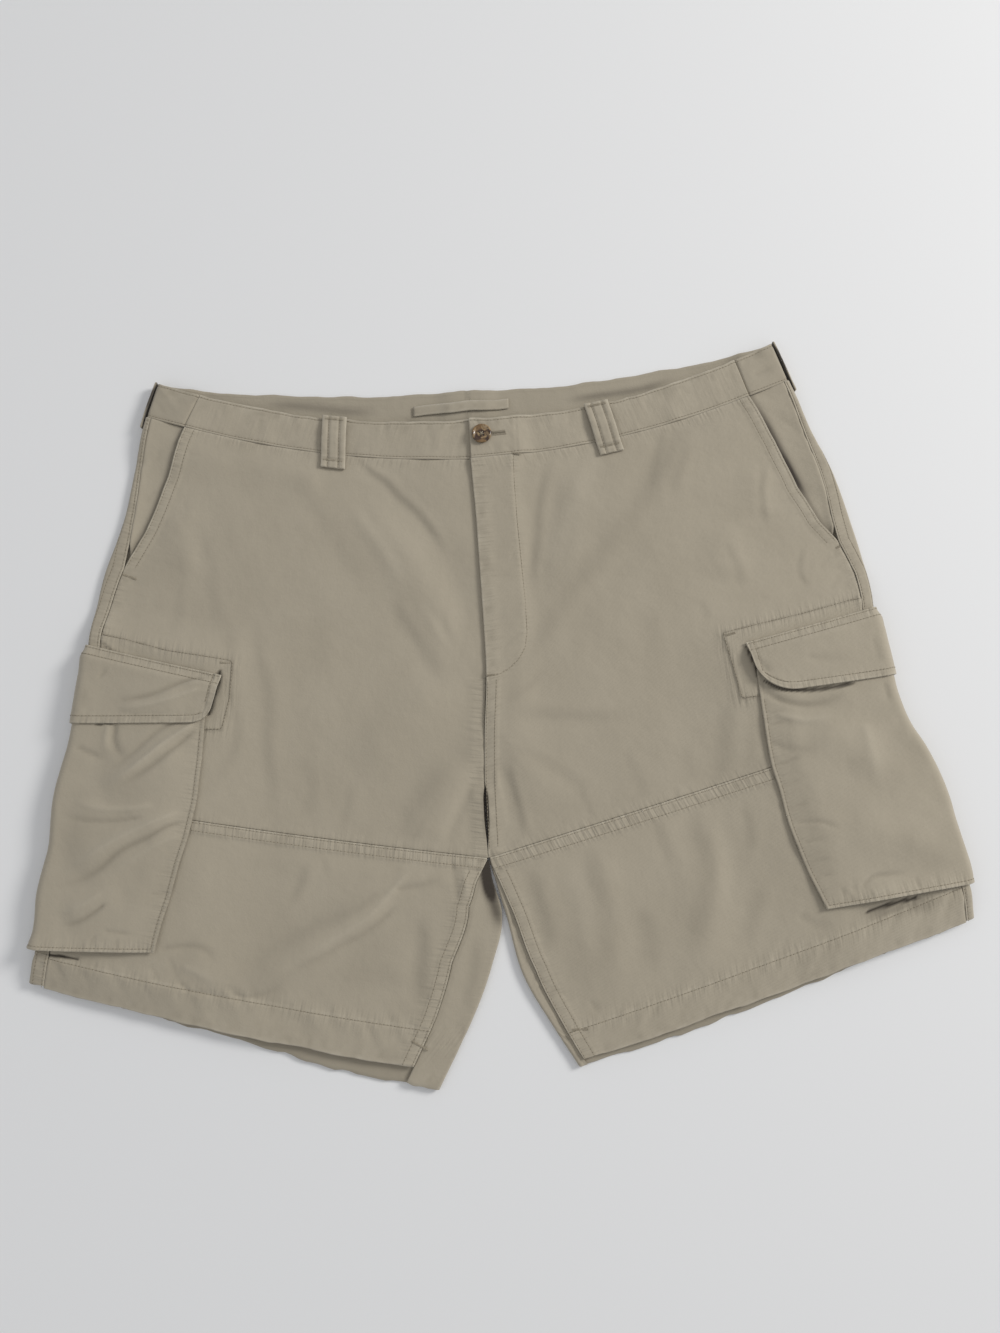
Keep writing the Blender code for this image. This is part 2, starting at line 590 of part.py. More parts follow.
def back_panel(half):
    """Back from the waist seam to the hem, which wraps over both folds to the side seam and inseam."""
    rows = panel_rows(SEAM_GAP / 2, HEM_DROP)
    drop, along = on_the_back(half, rows, back_alongs)
    outer, inner = half.point(drop, along), half.point(drop, along, -hem_wall(rows[:, None]))
    return slab("back_" + half.name, outer, inner)


def band_front(half):
    """Front waistband, from the slant pocket's line to the centre, or past it where it underlaps."""
    share = np.linspace(0, 1, 20)[None, :]
    drop = np.array([-BAND_HEIGHT, -BAND_HEIGHT * 0.66, -BAND_HEIGHT * 0.33, -SEAM_GAP / 2])[:, None]
    start = half.seam("slant", drop) + SEAM_GAP / 2
    edge = half.along_at(drop, half.section("inner_x", drop)) - SEAM_GAP
    if half is RIGHT:
        edge = edge + BAND_UNDERLAP
    along = start + (edge - start) * share
    x = half.point(drop, along)[..., 0]
    lift = BAND_PROUD + fly_lift(half, drop, x, BAND_UNDERLAP, BAND_WALL + 2 * SEAM_GAP)
    outer, inner = front_point(half, drop, along, lift), front_point(half, drop, along, lift - BAND_WALL)
    return slab("waistband_" + half.name, outer, inner)


def band_alongs(half, drop):
    """Alongs of the back waistband's columns, from the slant pocket's line round to the centre back."""
    start = half.seam("slant", drop) - SEAM_GAP / 2
    radius = half.side_radius(drop)
    quarter = radius * pi / 2
    centre = half.row(drop)[4] - radius + quarter
    columns = [start, (start + quarter) / 2]
    columns += [radius * angle for angle in side_turn(1.0)]
    columns += [-(quarter + (centre - quarter) * share) for share in BAND_COLUMNS]
    return np.stack(columns, axis=-1)


def band_back():
    """Back waistband in one strip: it wraps over both side folds to the slant pockets' lines."""
    rows = np.array([-BAND_HEIGHT, -BAND_HEIGHT / 2, -SEAM_GAP / 2])
    strips = []
    for half in (RIGHT, LEFT):
        drop, along = on_the_back(half, rows, band_alongs)
        strips.append((half.point(drop, along), half.point(drop, along, -BAND_WALL)))
    right, left = strips
    joined = []
    for a, b in zip(right, left):
        middle = (a[:, -1:] + b[:, -1:]) / 2
        joined.append(np.concatenate([a[:, :-1], middle, b[:, -2::-1]], axis=1))
    return slab("waistband_back", *joined, values=CLOTH_INSIDE)


def hip_facing(half):
    """The pocket facing that fills the slant between the front's edge and the side seam."""
    drop = rows_between(SEAM_GAP / 2, FACING_LENGTH[half.name], ROW_SPACING)[:, None]
    share = np.array([[0.0, 0.2, 0.45, 0.7, 1.0]])
    start = half.seam("side_seam", drop) + SEAM_GAP / 2
    slant = half.seam("slant", drop)
    along = start + (slant + FACING_UNDERLAP - start) * share
    shown = np.maximum(slant - start, 0.0005)
    closed = 1 - ramp(shown, 0.002, 0.009)
    sunk = np.maximum(ramp((along - start) / shown, 0.0, 0.75), closed)
    lift = -(PANEL_WALL + LAYER_GAP) * sunk
    # Where the slant meets the side seam, the facing's end lies under the front alone
    along = along + (0.003 + SEAM_GAP) * closed * (1 - share)
    outer, inner = half.point(drop, along, lift), half.point(drop, along, lift - PANEL_WALL)
    return slab("hip_facing_" + half.name, outer, inner)


def pocket_alongs(half, drop, front, rear):
    """Alongs of a pocket's columns, from its front end over the side fold to its rear end."""
    radius = half.side_radius(drop)
    quarter = radius * pi / 2
    over = [front - (front - quarter) * s for s in (0.0, 0.14, 0.30, 0.46, 0.62, 0.78, 0.92)]
    turn = [radius * t for t in side_turn(1.0)]
    under = [-(quarter + (rear - quarter) * s) for s in (0.14, 0.38, 0.62, 0.84, 1.0)]
    return np.stack([np.broadcast_to(c, drop.shape) for c in over + turn + under], axis=-1)


def by_reach(along, at_front, at_fold, reach):
    """A drop that runs from its front value to its fold value, and stays there underneath."""
    return at_fold + (at_front - at_fold) * np.clip(along / reach, 0.0, 1.0)


def pocket_front_reach(half, drop):
    return smooth(drop, [row.drop for row in POCKET_EDGE], half.pocket_edge)


def raised_by_folds(half, drop, along, on):
    """Extra lift of a pocket or a flap at its own folds, none near its edges or underneath."""
    places = half.point(drop, along)
    height = fold_height(places[..., 0], places[..., 1], on)
    rows = np.linspace(0, 1, drop.shape[0])[:, None]
    columns = np.linspace(0, 1, drop.shape[1])[None, :]
    inside = ramp(rows, 0, 0.15) * ramp(1 - rows, 0, 0.15)
    inside = inside * ramp(columns, 0, 0.12) * ramp(1 - columns, 0, 0.3)
    return np.maximum(height, 0) * inside * ramp(along, 0, 0.015)


def pocket_mouth(cargo):
    return max(cargo.flap_top_front, cargo.flap_top_fold) + POCKET_MOUTH_BELOW_FLAP_TOP


def cargo_pocket(half):
    """The pocket's face, round the leg's side, held off the leg by its gusset."""
    cargo = half.cargo
    rows = np.linspace(0, 1, 14)
    top = pocket_mouth(cargo)
    nominal = top + (cargo.bottom_front - top) * rows
    front = pocket_front_reach(half, nominal)
    along = pocket_alongs(half, nominal, front, POCKET_REACH_UNDER)
    low = by_reach(along, cargo.bottom_front, cargo.bottom_fold, front[-1])
    drop = top + (low - top) * rows[:, None]
    lift = POCKET_LIFT + raised_by_folds(half, drop, along, "pocket")
    outer, inner = half.point(drop, along, lift + PANEL_WALL), half.point(drop, along, lift)
    return slab("cargo_pocket_" + half.name, outer, inner)


def cargo_gusset(half):
    """The bellows strip folded flat between the pocket's face and the leg, on its three closed edges."""
    cargo = half.cargo
    top = pocket_mouth(cargo) + 0.004
    edges = []
    for inside in (GUSSET_INSET, GUSSET_INSET + GUSSET_WIDTH):
        low_front, low_fold = cargo.bottom_front - inside, cargo.bottom_fold - inside
        down = np.linspace(top, low_front, 9)
        front = pocket_front_reach(half, down) - inside
        round_the_leg = pocket_alongs(
            half, np.array([low_fold]), np.array([front[-1]]), POCKET_REACH_UNDER - inside
        )[0]
        low = by_reach(round_the_leg, low_front, low_fold, front[-1] + inside)
        up = np.linspace(low_fold, top, 9)
        rear = np.full(9, -(POCKET_REACH_UNDER - inside))
        drops = np.concatenate([down[:-1], low, up[1:]])
        alongs = np.concatenate([front[:-1], round_the_leg, rear[1:]])
        edges.append((drops, alongs))
    drop, along = (np.stack(pair, axis=-1) for pair in zip(*edges))
    outer = half.point(drop, along, GUSSET_LIFT + GUSSET_WALL)
    inner = half.point(drop, along, GUSSET_LIFT)
    return slab("cargo_gusset_" + half.name, outer, inner)


def cargo_flap(half):
    """The flap: sewn down along its top, rounded at its lower corners."""
    cargo = half.cargo
    rows = np.array([0.0, 0.12, 0.30, 0.55, 0.80, 1.0])
    middle = np.full(len(rows), (cargo.flap_top_fold + cargo.flap_low_fold) / 2)
    front = cargo.flap_front + (cargo.flap_front_low - cargo.flap_front) * rows
    along = pocket_alongs(half, middle, front, POCKET_REACH_UNDER + 0.002)
    ends = np.array([0.25, 0.50, 0.75])
    corner = cargo.flap_corner
    first, last = along[:, :1], along[:, -1:]
    near_front = first - corner * ends[None, :] ** 1.5
    near_rear = last + corner * ends[None, ::-1] ** 1.5
    along = np.concatenate([first, near_front, along[:, 1:-1], near_rear, last], axis=1)
    along = -np.sort(-along, axis=1)
    top = by_reach(along, cargo.flap_top_front, cargo.flap_top_fold, cargo.flap_front)
    low = by_reach(along, cargo.flap_low_front, cargo.flap_low_fold, cargo.flap_front)
    from_end = np.minimum(first - along, along - last)
    short = corner * (1 - np.sqrt(1 - (1 - np.clip(from_end / corner, 0, 1)) ** 2))
    drop = top + (low - short - top) * rows[:, None]
    lift = LAYER_GAP + (FLAP_LIFT - LAYER_GAP) * ramp(drop - top, 0.001, FLAP_SEWN)
    lift = lift + raised_by_folds(half, drop, along, "flap")
    outer, inner = half.point(drop, along, lift + FLAP_WALL), half.point(drop, along, lift)
    return slab("cargo_flap_" + half.name, outer, inner)


# One row of a front belt loop: its drop, its gap above the body and its wall
LoopRow = namedtuple("LoopRow", "drop gap wall")
FRONT_LOOP = [
    LoopRow(-0.0385, 0.0010, 0.0024),
    LoopRow(-0.0345, 0.0011, 0.0022),
    LoopRow(-0.0270, 0.0026, 0.0016),
    LoopRow(-0.0150, 0.0031, 0.0016),
    LoopRow(-0.0040, 0.0024, 0.0016),
    LoopRow(0.0040, 0.0012, 0.0018),
    LoopRow(0.0110, 0.0005, 0.0026),
    LoopRow(0.0150, 0.0005, 0.0026),
]


def belt_loop_front(half):
    """A front loop, bowed off the waistband between its two sewn ends."""
    drop, gap, wall = (np.array(column)[:, None] for column in zip(*FRONT_LOOP))
    place = FRONT_LOOP_PLACE[half.name]
    middle = half.along_at(drop, place.top_x + place.lean * (drop + BAND_HEIGHT) / BAND_HEIGHT)
    along = middle + LOOP_WIDTH * np.linspace(-0.5, 0.5, 4)[None, :]
    outer, inner = half.point(drop, along, gap + wall), half.point(drop, along, gap + 0 * along)
    return slab("belt_loop_front_" + half.name, outer, inner)


def belt_loop_side(half):
    """A loop on the back waistband whose front edge shows past the side fold."""
    drop = np.array([-0.0385, -0.030, -0.015, 0.000, 0.011])[:, None]
    radius = half.side_radius(drop)
    turn = side_turn(1.0)[None, 2:] * radius
    flat = -(radius * pi / 2 + np.array([[0.006, 0.013, 0.019]]))
    along = np.concatenate([turn, flat], axis=1)
    sewn = ramp(np.abs(drop + 0.014), 0.015, 0.024)
    outer = half.point(drop, along, SIDE_LOOP_STACK)
    inner = half.point(drop, along, SIDE_LOOP_LIFT + (LAYER_GAP - SIDE_LOOP_LIFT) * sewn)
    return slab("belt_loop_side_" + half.name, outer, inner)


def near_centre_back(x, drop, lift):
    """Point under the back near the centre, taken from the half that x lies in."""
    x, drop, lift = np.broadcast_arrays(x, drop, lift)
    points = np.zeros(x.shape + (3,))
    for half in (RIGHT, LEFT):
        mine = (x - half.section("inner_x", drop)) * half.sign >= 0
        share = np.abs(half.along_at(drop, x)) / half.row(drop)[4]
        lowered = half.back_drop(drop, share)
        along = np.minimum(-half.along_at(lowered, x), 0.0)
        found = half.point(lowered, along, lift)
        points = np.where(mine[..., None], found, points)
    return points


def belt_loop_back():
    """The loop at the centre back, flat between the waistband and the floor."""
    x = BACK_LOOP_X + LOOP_WIDTH * np.linspace(-0.5, 0.5, 5)[None, :]
    drop = np.array([-0.0385, -0.030, -0.012, 0.000, 0.011])[:, None]
    outer = near_centre_back(x, drop, BACK_LOOP_STACK)
    inner = near_centre_back(x, drop, BACK_LOOP_LIFT)
    return slab("belt_loop_back", outer, inner)


def hanger_loop():
    """The narrow hanging loop on the inside of the back waistband, bent at its middle."""
    x = np.linspace(HANGER_START, HANGER_END, 10)[None, :]
    share = (x - HANGER_START) / (HANGER_END - HANGER_START)
    middle = HANGER_DROP - HANGER_BEND * ramp(share, 0.35, 0.65) - HANGER_WAVE * np.sin(2 * pi * share)
    drop = middle + HANGER_WIDTH * np.array([[-0.5], [0.5]])
    rise = LAYER_GAP + HANGER_BOW * np.sin(pi * share) + 0 * drop
    outer = near_centre_back(x, drop, -(BAND_WALL + rise + TAPE_WALL))
    inner = near_centre_back(x, drop, -(BAND_WALL + rise))
    return slab("hanger_loop", outer, inner, CLOTH_INSIDE)


def waist_button():
    """Four-hole button with a raised rim, on the left end of the waistband."""
    radius = BUTTON_DIAMETER / 2
    mesh = bmesh.new()
    vertices = [mesh.verts.new((radius * ring.share, 0.0, ring.height)) for ring in BUTTON_RINGS]
    edges = [mesh.edges.new(pair) for pair in zip(vertices, vertices[1:])]
    bmesh.ops.spin(
        mesh, geom=vertices + edges, cent=(0, 0, 0), axis=(0, 0, 1), angle=2 * pi, steps=28, use_merge=True
    )
    bmesh.ops.remove_doubles(mesh, verts=mesh.verts, dist=1e-6)
    bmesh.ops.recalc_face_normals(mesh, faces=mesh.faces)
    data = bpy.data.meshes.new("waist_button")
    mesh.to_mesh(data)
    mesh.free()
    data.shade_smooth()
    data.set_sharp_from_angle(angle=0.6)
    data.materials.append(material("waist_button_material", HORN))
    button = bpy.data.objects.new("waist_button", data)
    bpy.context.scene.collection.objects.link(button)
    along = LEFT.along_at(BUTTON_DROP, BUTTON_X)
    band_lift = BAND_PROUD + BAND_WALL + 2 * SEAM_GAP
    around = 0.8 * radius * np.array([-1.0, 0.0, 1.0])
    near = LEFT.point(BUTTON_DROP + around[:, None], along + around[None, :], band_lift)
    x, y, _ = LEFT.point(BUTTON_DROP, along, band_lift)
    z = near[..., 2].max() + SEAM_GAP
    button.location = (x, y, z)
    for k in range(4):
        angle = pi / 4 + k * pi / 2
        drill = bpy.data.meshes.new("button_hole_cutter")
        hole = bmesh.new()
        bmesh.ops.create_cone(
            hole,
            cap_ends=True,
            segments=12,
            radius1=BUTTON_HOLE_RADIUS,
            radius2=BUTTON_HOLE_RADIUS,
            depth=BUTTON_HOLE_DEPTH,
        )
        hole.to_mesh(drill)
        hole.free()
        cutter = bpy.data.objects.new(f"button_hole_cutter_{k}", drill)
        bpy.context.scene.collection.objects.link(cutter)
        cutter.location = (x + BUTTON_HOLE_OUT * np.cos(angle), y + BUTTON_HOLE_OUT * np.sin(angle), z)
        cutter.hide_render = True
        cutter.display_type = "WIRE"
        cut = button.modifiers.new(f"hole_{k}", "BOOLEAN")
        cut.operation, cut.object, cut.solver = "DIFFERENCE", cutter, "EXACT"
    return button


def centre_on_origin():
    """Moves everything so that the origin is at the middle of the shorts' box, on the floor."""
    shown = [o for o in bpy.context.scene.objects if o.type == "MESH" and not o.hide_render]
    bpy.context.view_layer.update()
    points = np.concatenate([[o.matrix_world @ v.co for v in o.data.vertices] for o in shown])
    low, high = points.min(axis=0), points.max(axis=0)
    shift = -np.array([(low[0] + high[0]) / 2, (low[1] + high[1]) / 2, low[2]])
    for o in bpy.context.scene.objects:
        if o in shown and o.name != "waist_button":
            for v in o.data.vertices:
                v.co.x += shift[0]
                v.co.y += shift[1]
                v.co.z += shift[2]
        else:
            o.location = [c + s for c, s in zip(o.location, shift)]
    print("shift to the origin, in metres:", shift.round(5))


def main():
    for o in list(bpy.data.objects):
        bpy.data.objects.remove(o)
    for half in (RIGHT, LEFT):
        front_upper(half)
        front_lower(half)
        back_panel(half)
        band_front(half)
        hip_facing(half)
        cargo_pocket(half)
        cargo_gusset(half)
        cargo_flap(half)
        belt_loop_front(half)
        belt_loop_side(half)
    band_back()
    belt_loop_back()
    hanger_loop()
    waist_button()
    centre_on_origin()


main()
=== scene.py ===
import math

import bmesh
import bpy
import numpy as np
from mathutils import Matrix, Vector


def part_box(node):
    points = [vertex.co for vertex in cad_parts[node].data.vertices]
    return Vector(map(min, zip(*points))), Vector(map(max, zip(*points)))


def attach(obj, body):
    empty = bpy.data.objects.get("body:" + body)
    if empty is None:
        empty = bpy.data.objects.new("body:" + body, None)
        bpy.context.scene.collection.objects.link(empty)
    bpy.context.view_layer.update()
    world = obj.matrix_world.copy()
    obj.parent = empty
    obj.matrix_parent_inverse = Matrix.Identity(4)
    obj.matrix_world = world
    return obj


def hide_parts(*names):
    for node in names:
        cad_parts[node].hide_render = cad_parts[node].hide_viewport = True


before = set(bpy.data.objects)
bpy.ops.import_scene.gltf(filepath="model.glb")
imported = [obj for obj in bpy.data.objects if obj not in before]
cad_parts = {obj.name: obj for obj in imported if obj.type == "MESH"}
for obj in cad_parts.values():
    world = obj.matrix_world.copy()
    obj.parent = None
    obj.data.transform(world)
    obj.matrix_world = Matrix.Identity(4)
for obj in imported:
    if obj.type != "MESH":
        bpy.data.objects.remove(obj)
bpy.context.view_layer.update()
print("frame loaded:", len(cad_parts), "cut pieces")

# Sizes of the cut, the same as the solids have, in metres
cut = {
    "panelWall": 0.0012, "hemWall": 0.0018, "bandWall": 0.0024, "flapWall": 0.0020,
    "gussetWall": 0.0020, "loopWall": 0.0016, "tapeWall": 0.0012,
    "seamGap": 0.0003, "seamShown": 0.00012, "layerGap": 0.0004,
    "frontRise": 0.353, "hemDrop": 0.539, "bandHeight": 0.037, "hemHeight": 0.030,
    "backRiseMore": 0.030, "flyLength": 0.200, "flyUnderlap": 0.026, "bandUnderlap": 0.037,
    "pocketReachUnder": 0.090,
}
shiftToFrame = (-0.00967, -0.13454)   # from the cut's own plan, with its zero at the crotch

gussetLift = cut["layerGap"]
pocketLift = gussetLift + cut["gussetWall"] + cut["layerGap"]
flapLift = pocketLift + cut["panelWall"] + 0.0005
flapStack = flapLift + cut["flapWall"]
sideLoopStack = 0.0015 + cut["loopWall"]
backLoopStack = cut["layerGap"] + cut["loopWall"]

# How the folded cloth stands: heights at the waist, side folds, centre, crotch and inner folds
laid = {
    "waistFold": 0.0070, "sideFold": 0.0054, "centre": 0.0060, "crotch": 0.0028, "innerFold": 0.0056,
    "loft": 0.0022, "legOpens": 0.022, "legRises": 0.030,
    "slope": 0.040, "topSlope": 0.100, "underSlope": 0.020,
    "pocketMargin": 0.003, "sideLoopReach": 0.026, "backLoopReach": 0.013, "loopBelowSeam": 0.014,
    "lapStep": (0.003, 0.024), "flyEndStep": (0.020, 0.060),
}

# Sections across each half: drop, side fold x and y, inner end x and y, and bow
sections = {
    "right": [
        (-0.075, 0.2670, 0.473, 0.002, 0.428, -0.013),
        (-0.037, 0.2790, 0.439, 0.002, 0.390, -0.013),
        (0.000, 0.2895, 0.408, 0.002, 0.353, -0.012),
        (0.050, 0.3000, 0.360, 0.004, 0.303, -0.010),
        (0.100, 0.3100, 0.312, 0.005, 0.253, -0.008),
        (0.150, 0.3270, 0.263, 0.006, 0.203, -0.006),
        (0.200, 0.3360, 0.215, 0.006, 0.153, -0.005),
        (0.250, 0.3400, 0.167, 0.002, 0.103, -0.004),
        (0.300, 0.3475, 0.119, 0.000, 0.053, -0.003),
        (0.353, 0.3605, 0.068, 0.000, 0.000, -0.003),
        (0.375, 0.3620, 0.050, 0.0042, -0.021, -0.003),
        (0.400, 0.3635, 0.030, 0.0100, -0.044, -0.004),
        (0.450, 0.3725, -0.010, -0.001, -0.089, -0.005),
        (0.500, 0.3765, -0.050, -0.020, -0.132, -0.005),
        (0.539, 0.3845, -0.082, -0.041, -0.170, -0.005),
    ],
    "left": [
        (-0.075, 0.2690, 0.486, 0.002, 0.428, -0.016),
        (-0.037, 0.2830, 0.449, 0.002, 0.390, -0.015),
        (0.000, 0.2950, 0.413, 0.002, 0.353, -0.013),
        (0.050, 0.3105, 0.368, 0.004, 0.303, -0.011),
        (0.100, 0.3275, 0.323, 0.005, 0.253, -0.008),
        (0.150, 0.3380, 0.278, 0.006, 0.203, -0.006),
        (0.200, 0.3460, 0.233, 0.006, 0.153, -0.004),
        (0.250, 0.3475, 0.187, 0.002, 0.103, -0.003),
        (0.300, 0.3525, 0.141, 0.000, 0.053, -0.002),
        (0.325, 0.3550, 0.119, 0.000, 0.028, -0.002),
        (0.353, 0.3630, 0.095, 0.000, 0.000, -0.001),
        (0.375, 0.3730, 0.075, 0.0050, -0.022, -0.002),
        (0.400, 0.3820, 0.052, 0.0115, -0.047, -0.003),
        (0.450, 0.3920, 0.010, 0.023, -0.096, -0.004),
        (0.500, 0.3990, -0.032, 0.045, -0.138, -0.004),
        (0.539, 0.4020, -0.071, 0.063, -0.168, -0.002),
    ],
}

# Seams on top: drop, side seam and slant in from the side fold, inseam in from the inner fold
seamPlaces = {
    "right": [
        (-0.037, 0.007, 0.041, 0.000), (0.000, 0.007, 0.038, 0.000), (0.050, 0.007, 0.032, 0.000),
        (0.100, 0.010, 0.024, 0.000), (0.140, 0.017, 0.017, 0.000), (0.200, 0.012, 0.012, 0.000),
        (0.353, 0.012, 0.012, 0.000), (0.375, 0.012, 0.012, 0.015), (0.400, 0.012, 0.012, 0.029),
        (0.450, 0.013, 0.013, 0.034), (0.500, 0.014, 0.014, 0.030), (0.539, 0.015, 0.015, 0.029),
    ],
    "left": [
        (-0.037, 0.007, 0.039, 0.000), (0.000, 0.007, 0.041, 0.000), (0.050, 0.008, 0.036, 0.000),
        (0.100, 0.013, 0.037, 0.000), (0.140, 0.017, 0.029, 0.000), (0.165, 0.018, 0.018, 0.000),
        (0.200, 0.012, 0.012, 0.000), (0.353, 0.011, 0.011, 0.000), (0.375, 0.011, 0.011, 0.004),
        (0.400, 0.010, 0.010, 0.007), (0.450, 0.010, 0.010, 0.012), (0.500, 0.009, 0.009, 0.009),
        (0.539, 0.009, 0.009, 0.007),
    ],
}
slantEnds = {"right": 0.137, "left": 0.162}
hemPeekShares = (0.0, 0.25, 0.5, 0.75, 1.0)
hemPeek = {"right": (0, 0, 0.005, 0.013, 0.013), "left": (0, 0, 0.006, 0.008, 0.004)}

# Cargo pockets and flaps: drops at the front end and at the side fold, alongs of the flap's front end
cargo = {
    "right": {"bottomFront": 0.483, "bottomFold": 0.506, "flapFront": 0.1205, "flapFrontLow": 0.1150,
              "flapTopFront": 0.224, "flapTopFold": 0.216, "flapLowFront": 0.267, "flapLowFold": 0.288,
              "flapCorner": 0.016},
    "left": {"bottomFront": 0.483, "bottomFold": 0.511, "flapFront": 0.1205, "flapFrontLow": 0.1165,
             "flapTopFront": 0.234, "flapTopFold": 0.239, "flapLowFront": 0.284, "flapLowFold": 0.306,
             "flapCorner": 0.034},
}
pocketEdge = {   # the pockets' front edges, in the photo's pixels
    "right": ((206, 714), (201, 770), (196, 806), (190, 832), (179, 868), (169, 904), (155, 955)),
    "left": ((755, 660), (760, 700), (766, 740), (773, 772), (789, 826), (805, 866), (827, 912)),
}

# Largest folds, as in the solids: x and y of start and end, bend, half width and height
mainFolds = {
    "body": [
        (-0.104, 0.346, -0.003, 0.172, -0.024, 0.017, -0.0020),
        (-0.118, 0.318, -0.022, 0.160, -0.020, 0.018, 0.0022),
        (-0.186, 0.372, -0.128, 0.326, 0.000, 0.017, 0.0016),
        (-0.257, 0.330, -0.250, 0.250, 0.004, 0.015, 0.0018),
        (-0.012, 0.150, -0.110, 0.074, 0.010, 0.019, 0.0026),
        (-0.020, 0.090, -0.070, 0.012, -0.006, 0.018, 0.0022),
        (0.082, 0.345, 0.046, 0.210, -0.004, 0.017, -0.0018),
        (0.104, 0.345, 0.062, 0.226, -0.004, 0.017, 0.0022),
        (0.182, 0.345, 0.036, 0.164, -0.012, 0.018, -0.0020),
        (0.158, 0.345, 0.030, 0.186, -0.012, 0.018, 0.0020),
        (0.226, 0.286, 0.226, 0.226, 0.003, 0.017, 0.0018),
        (0.262, 0.336, 0.256, 0.282, 0.003, 0.015, 0.0016),
        (0.016, 0.135, 0.060, 0.030, 0.006, 0.018, 0.0024),
        (-0.078, -0.012, -0.222, -0.098, -0.012, 0.016, 0.0036),
        (-0.090, -0.046, -0.214, -0.124, -0.010, 0.016, -0.0016),
        (-0.252, -0.052, -0.206, -0.100, 0.004, 0.016, 0.0020),
        (0.094, 0.016, 0.086, -0.126, 0.003, 0.017, 0.0024),
        (0.176, 0.004, 0.166, -0.120, -0.003, 0.018, 0.0022),
    ],
    "pocket": [
        (-0.252, 0.110, -0.322, 0.066, 0.004, 0.015, 0.0022),
        (-0.250, 0.050, -0.352, 0.002, 0.004, 0.015, 0.0026),
        (-0.300, -0.012, -0.354, -0.034, 0.002, 0.014, 0.0016),
        (0.275, 0.096, 0.340, 0.058, -0.004, 0.018, 0.0018),
        (0.300, 0.020, 0.376, -0.012, 0.004, 0.017, 0.0020),
    ],
    "flap": [
        (-0.246, 0.152, -0.316, 0.142, 0.002, 0.014, 0.0018),
        (0.262, 0.172, 0.330, 0.186, 0.000, 0.015, 0.0010),
    ],
}

# The camera of the photo, and where a ray through one of its pixels meets the cloth
photoView = {"lens": 28.357, "distance": 0.91875, "tilt": 10.0, "turn": -3.0, "target": (0.00883, 0.02946, 0.0),
             "focalPixels": 1050.0, "middle": (500.0, 666.5)}
keyFrom = (0.93, 0.37)   # the side that the main light comes from, in plan


def onCloth(px, py, height=0.006):
    tilt, turn = math.radians(photoView["tilt"]), math.radians(photoView["turn"])
    away = photoView["distance"]
    ray = Vector(((px - photoView["middle"][0]) / photoView["focalPixels"],
                  -(py - photoView["middle"][1]) / photoView["focalPixels"], -1.0))
    turned = Matrix.Rotation(turn, 3, "Z") @ Matrix.Rotation(tilt, 3, "X")
    ray = turned @ ray
    eye = Vector(photoView["target"]) + Matrix.Rotation(turn, 3, "Z") @ Vector(
        (0, -away * math.sin(tilt), away * math.cos(tilt)))
    at = eye + ray * ((height - eye.z) / ray.z)
    return at.x - shiftToFrame[0], at.y - shiftToFrame[1]


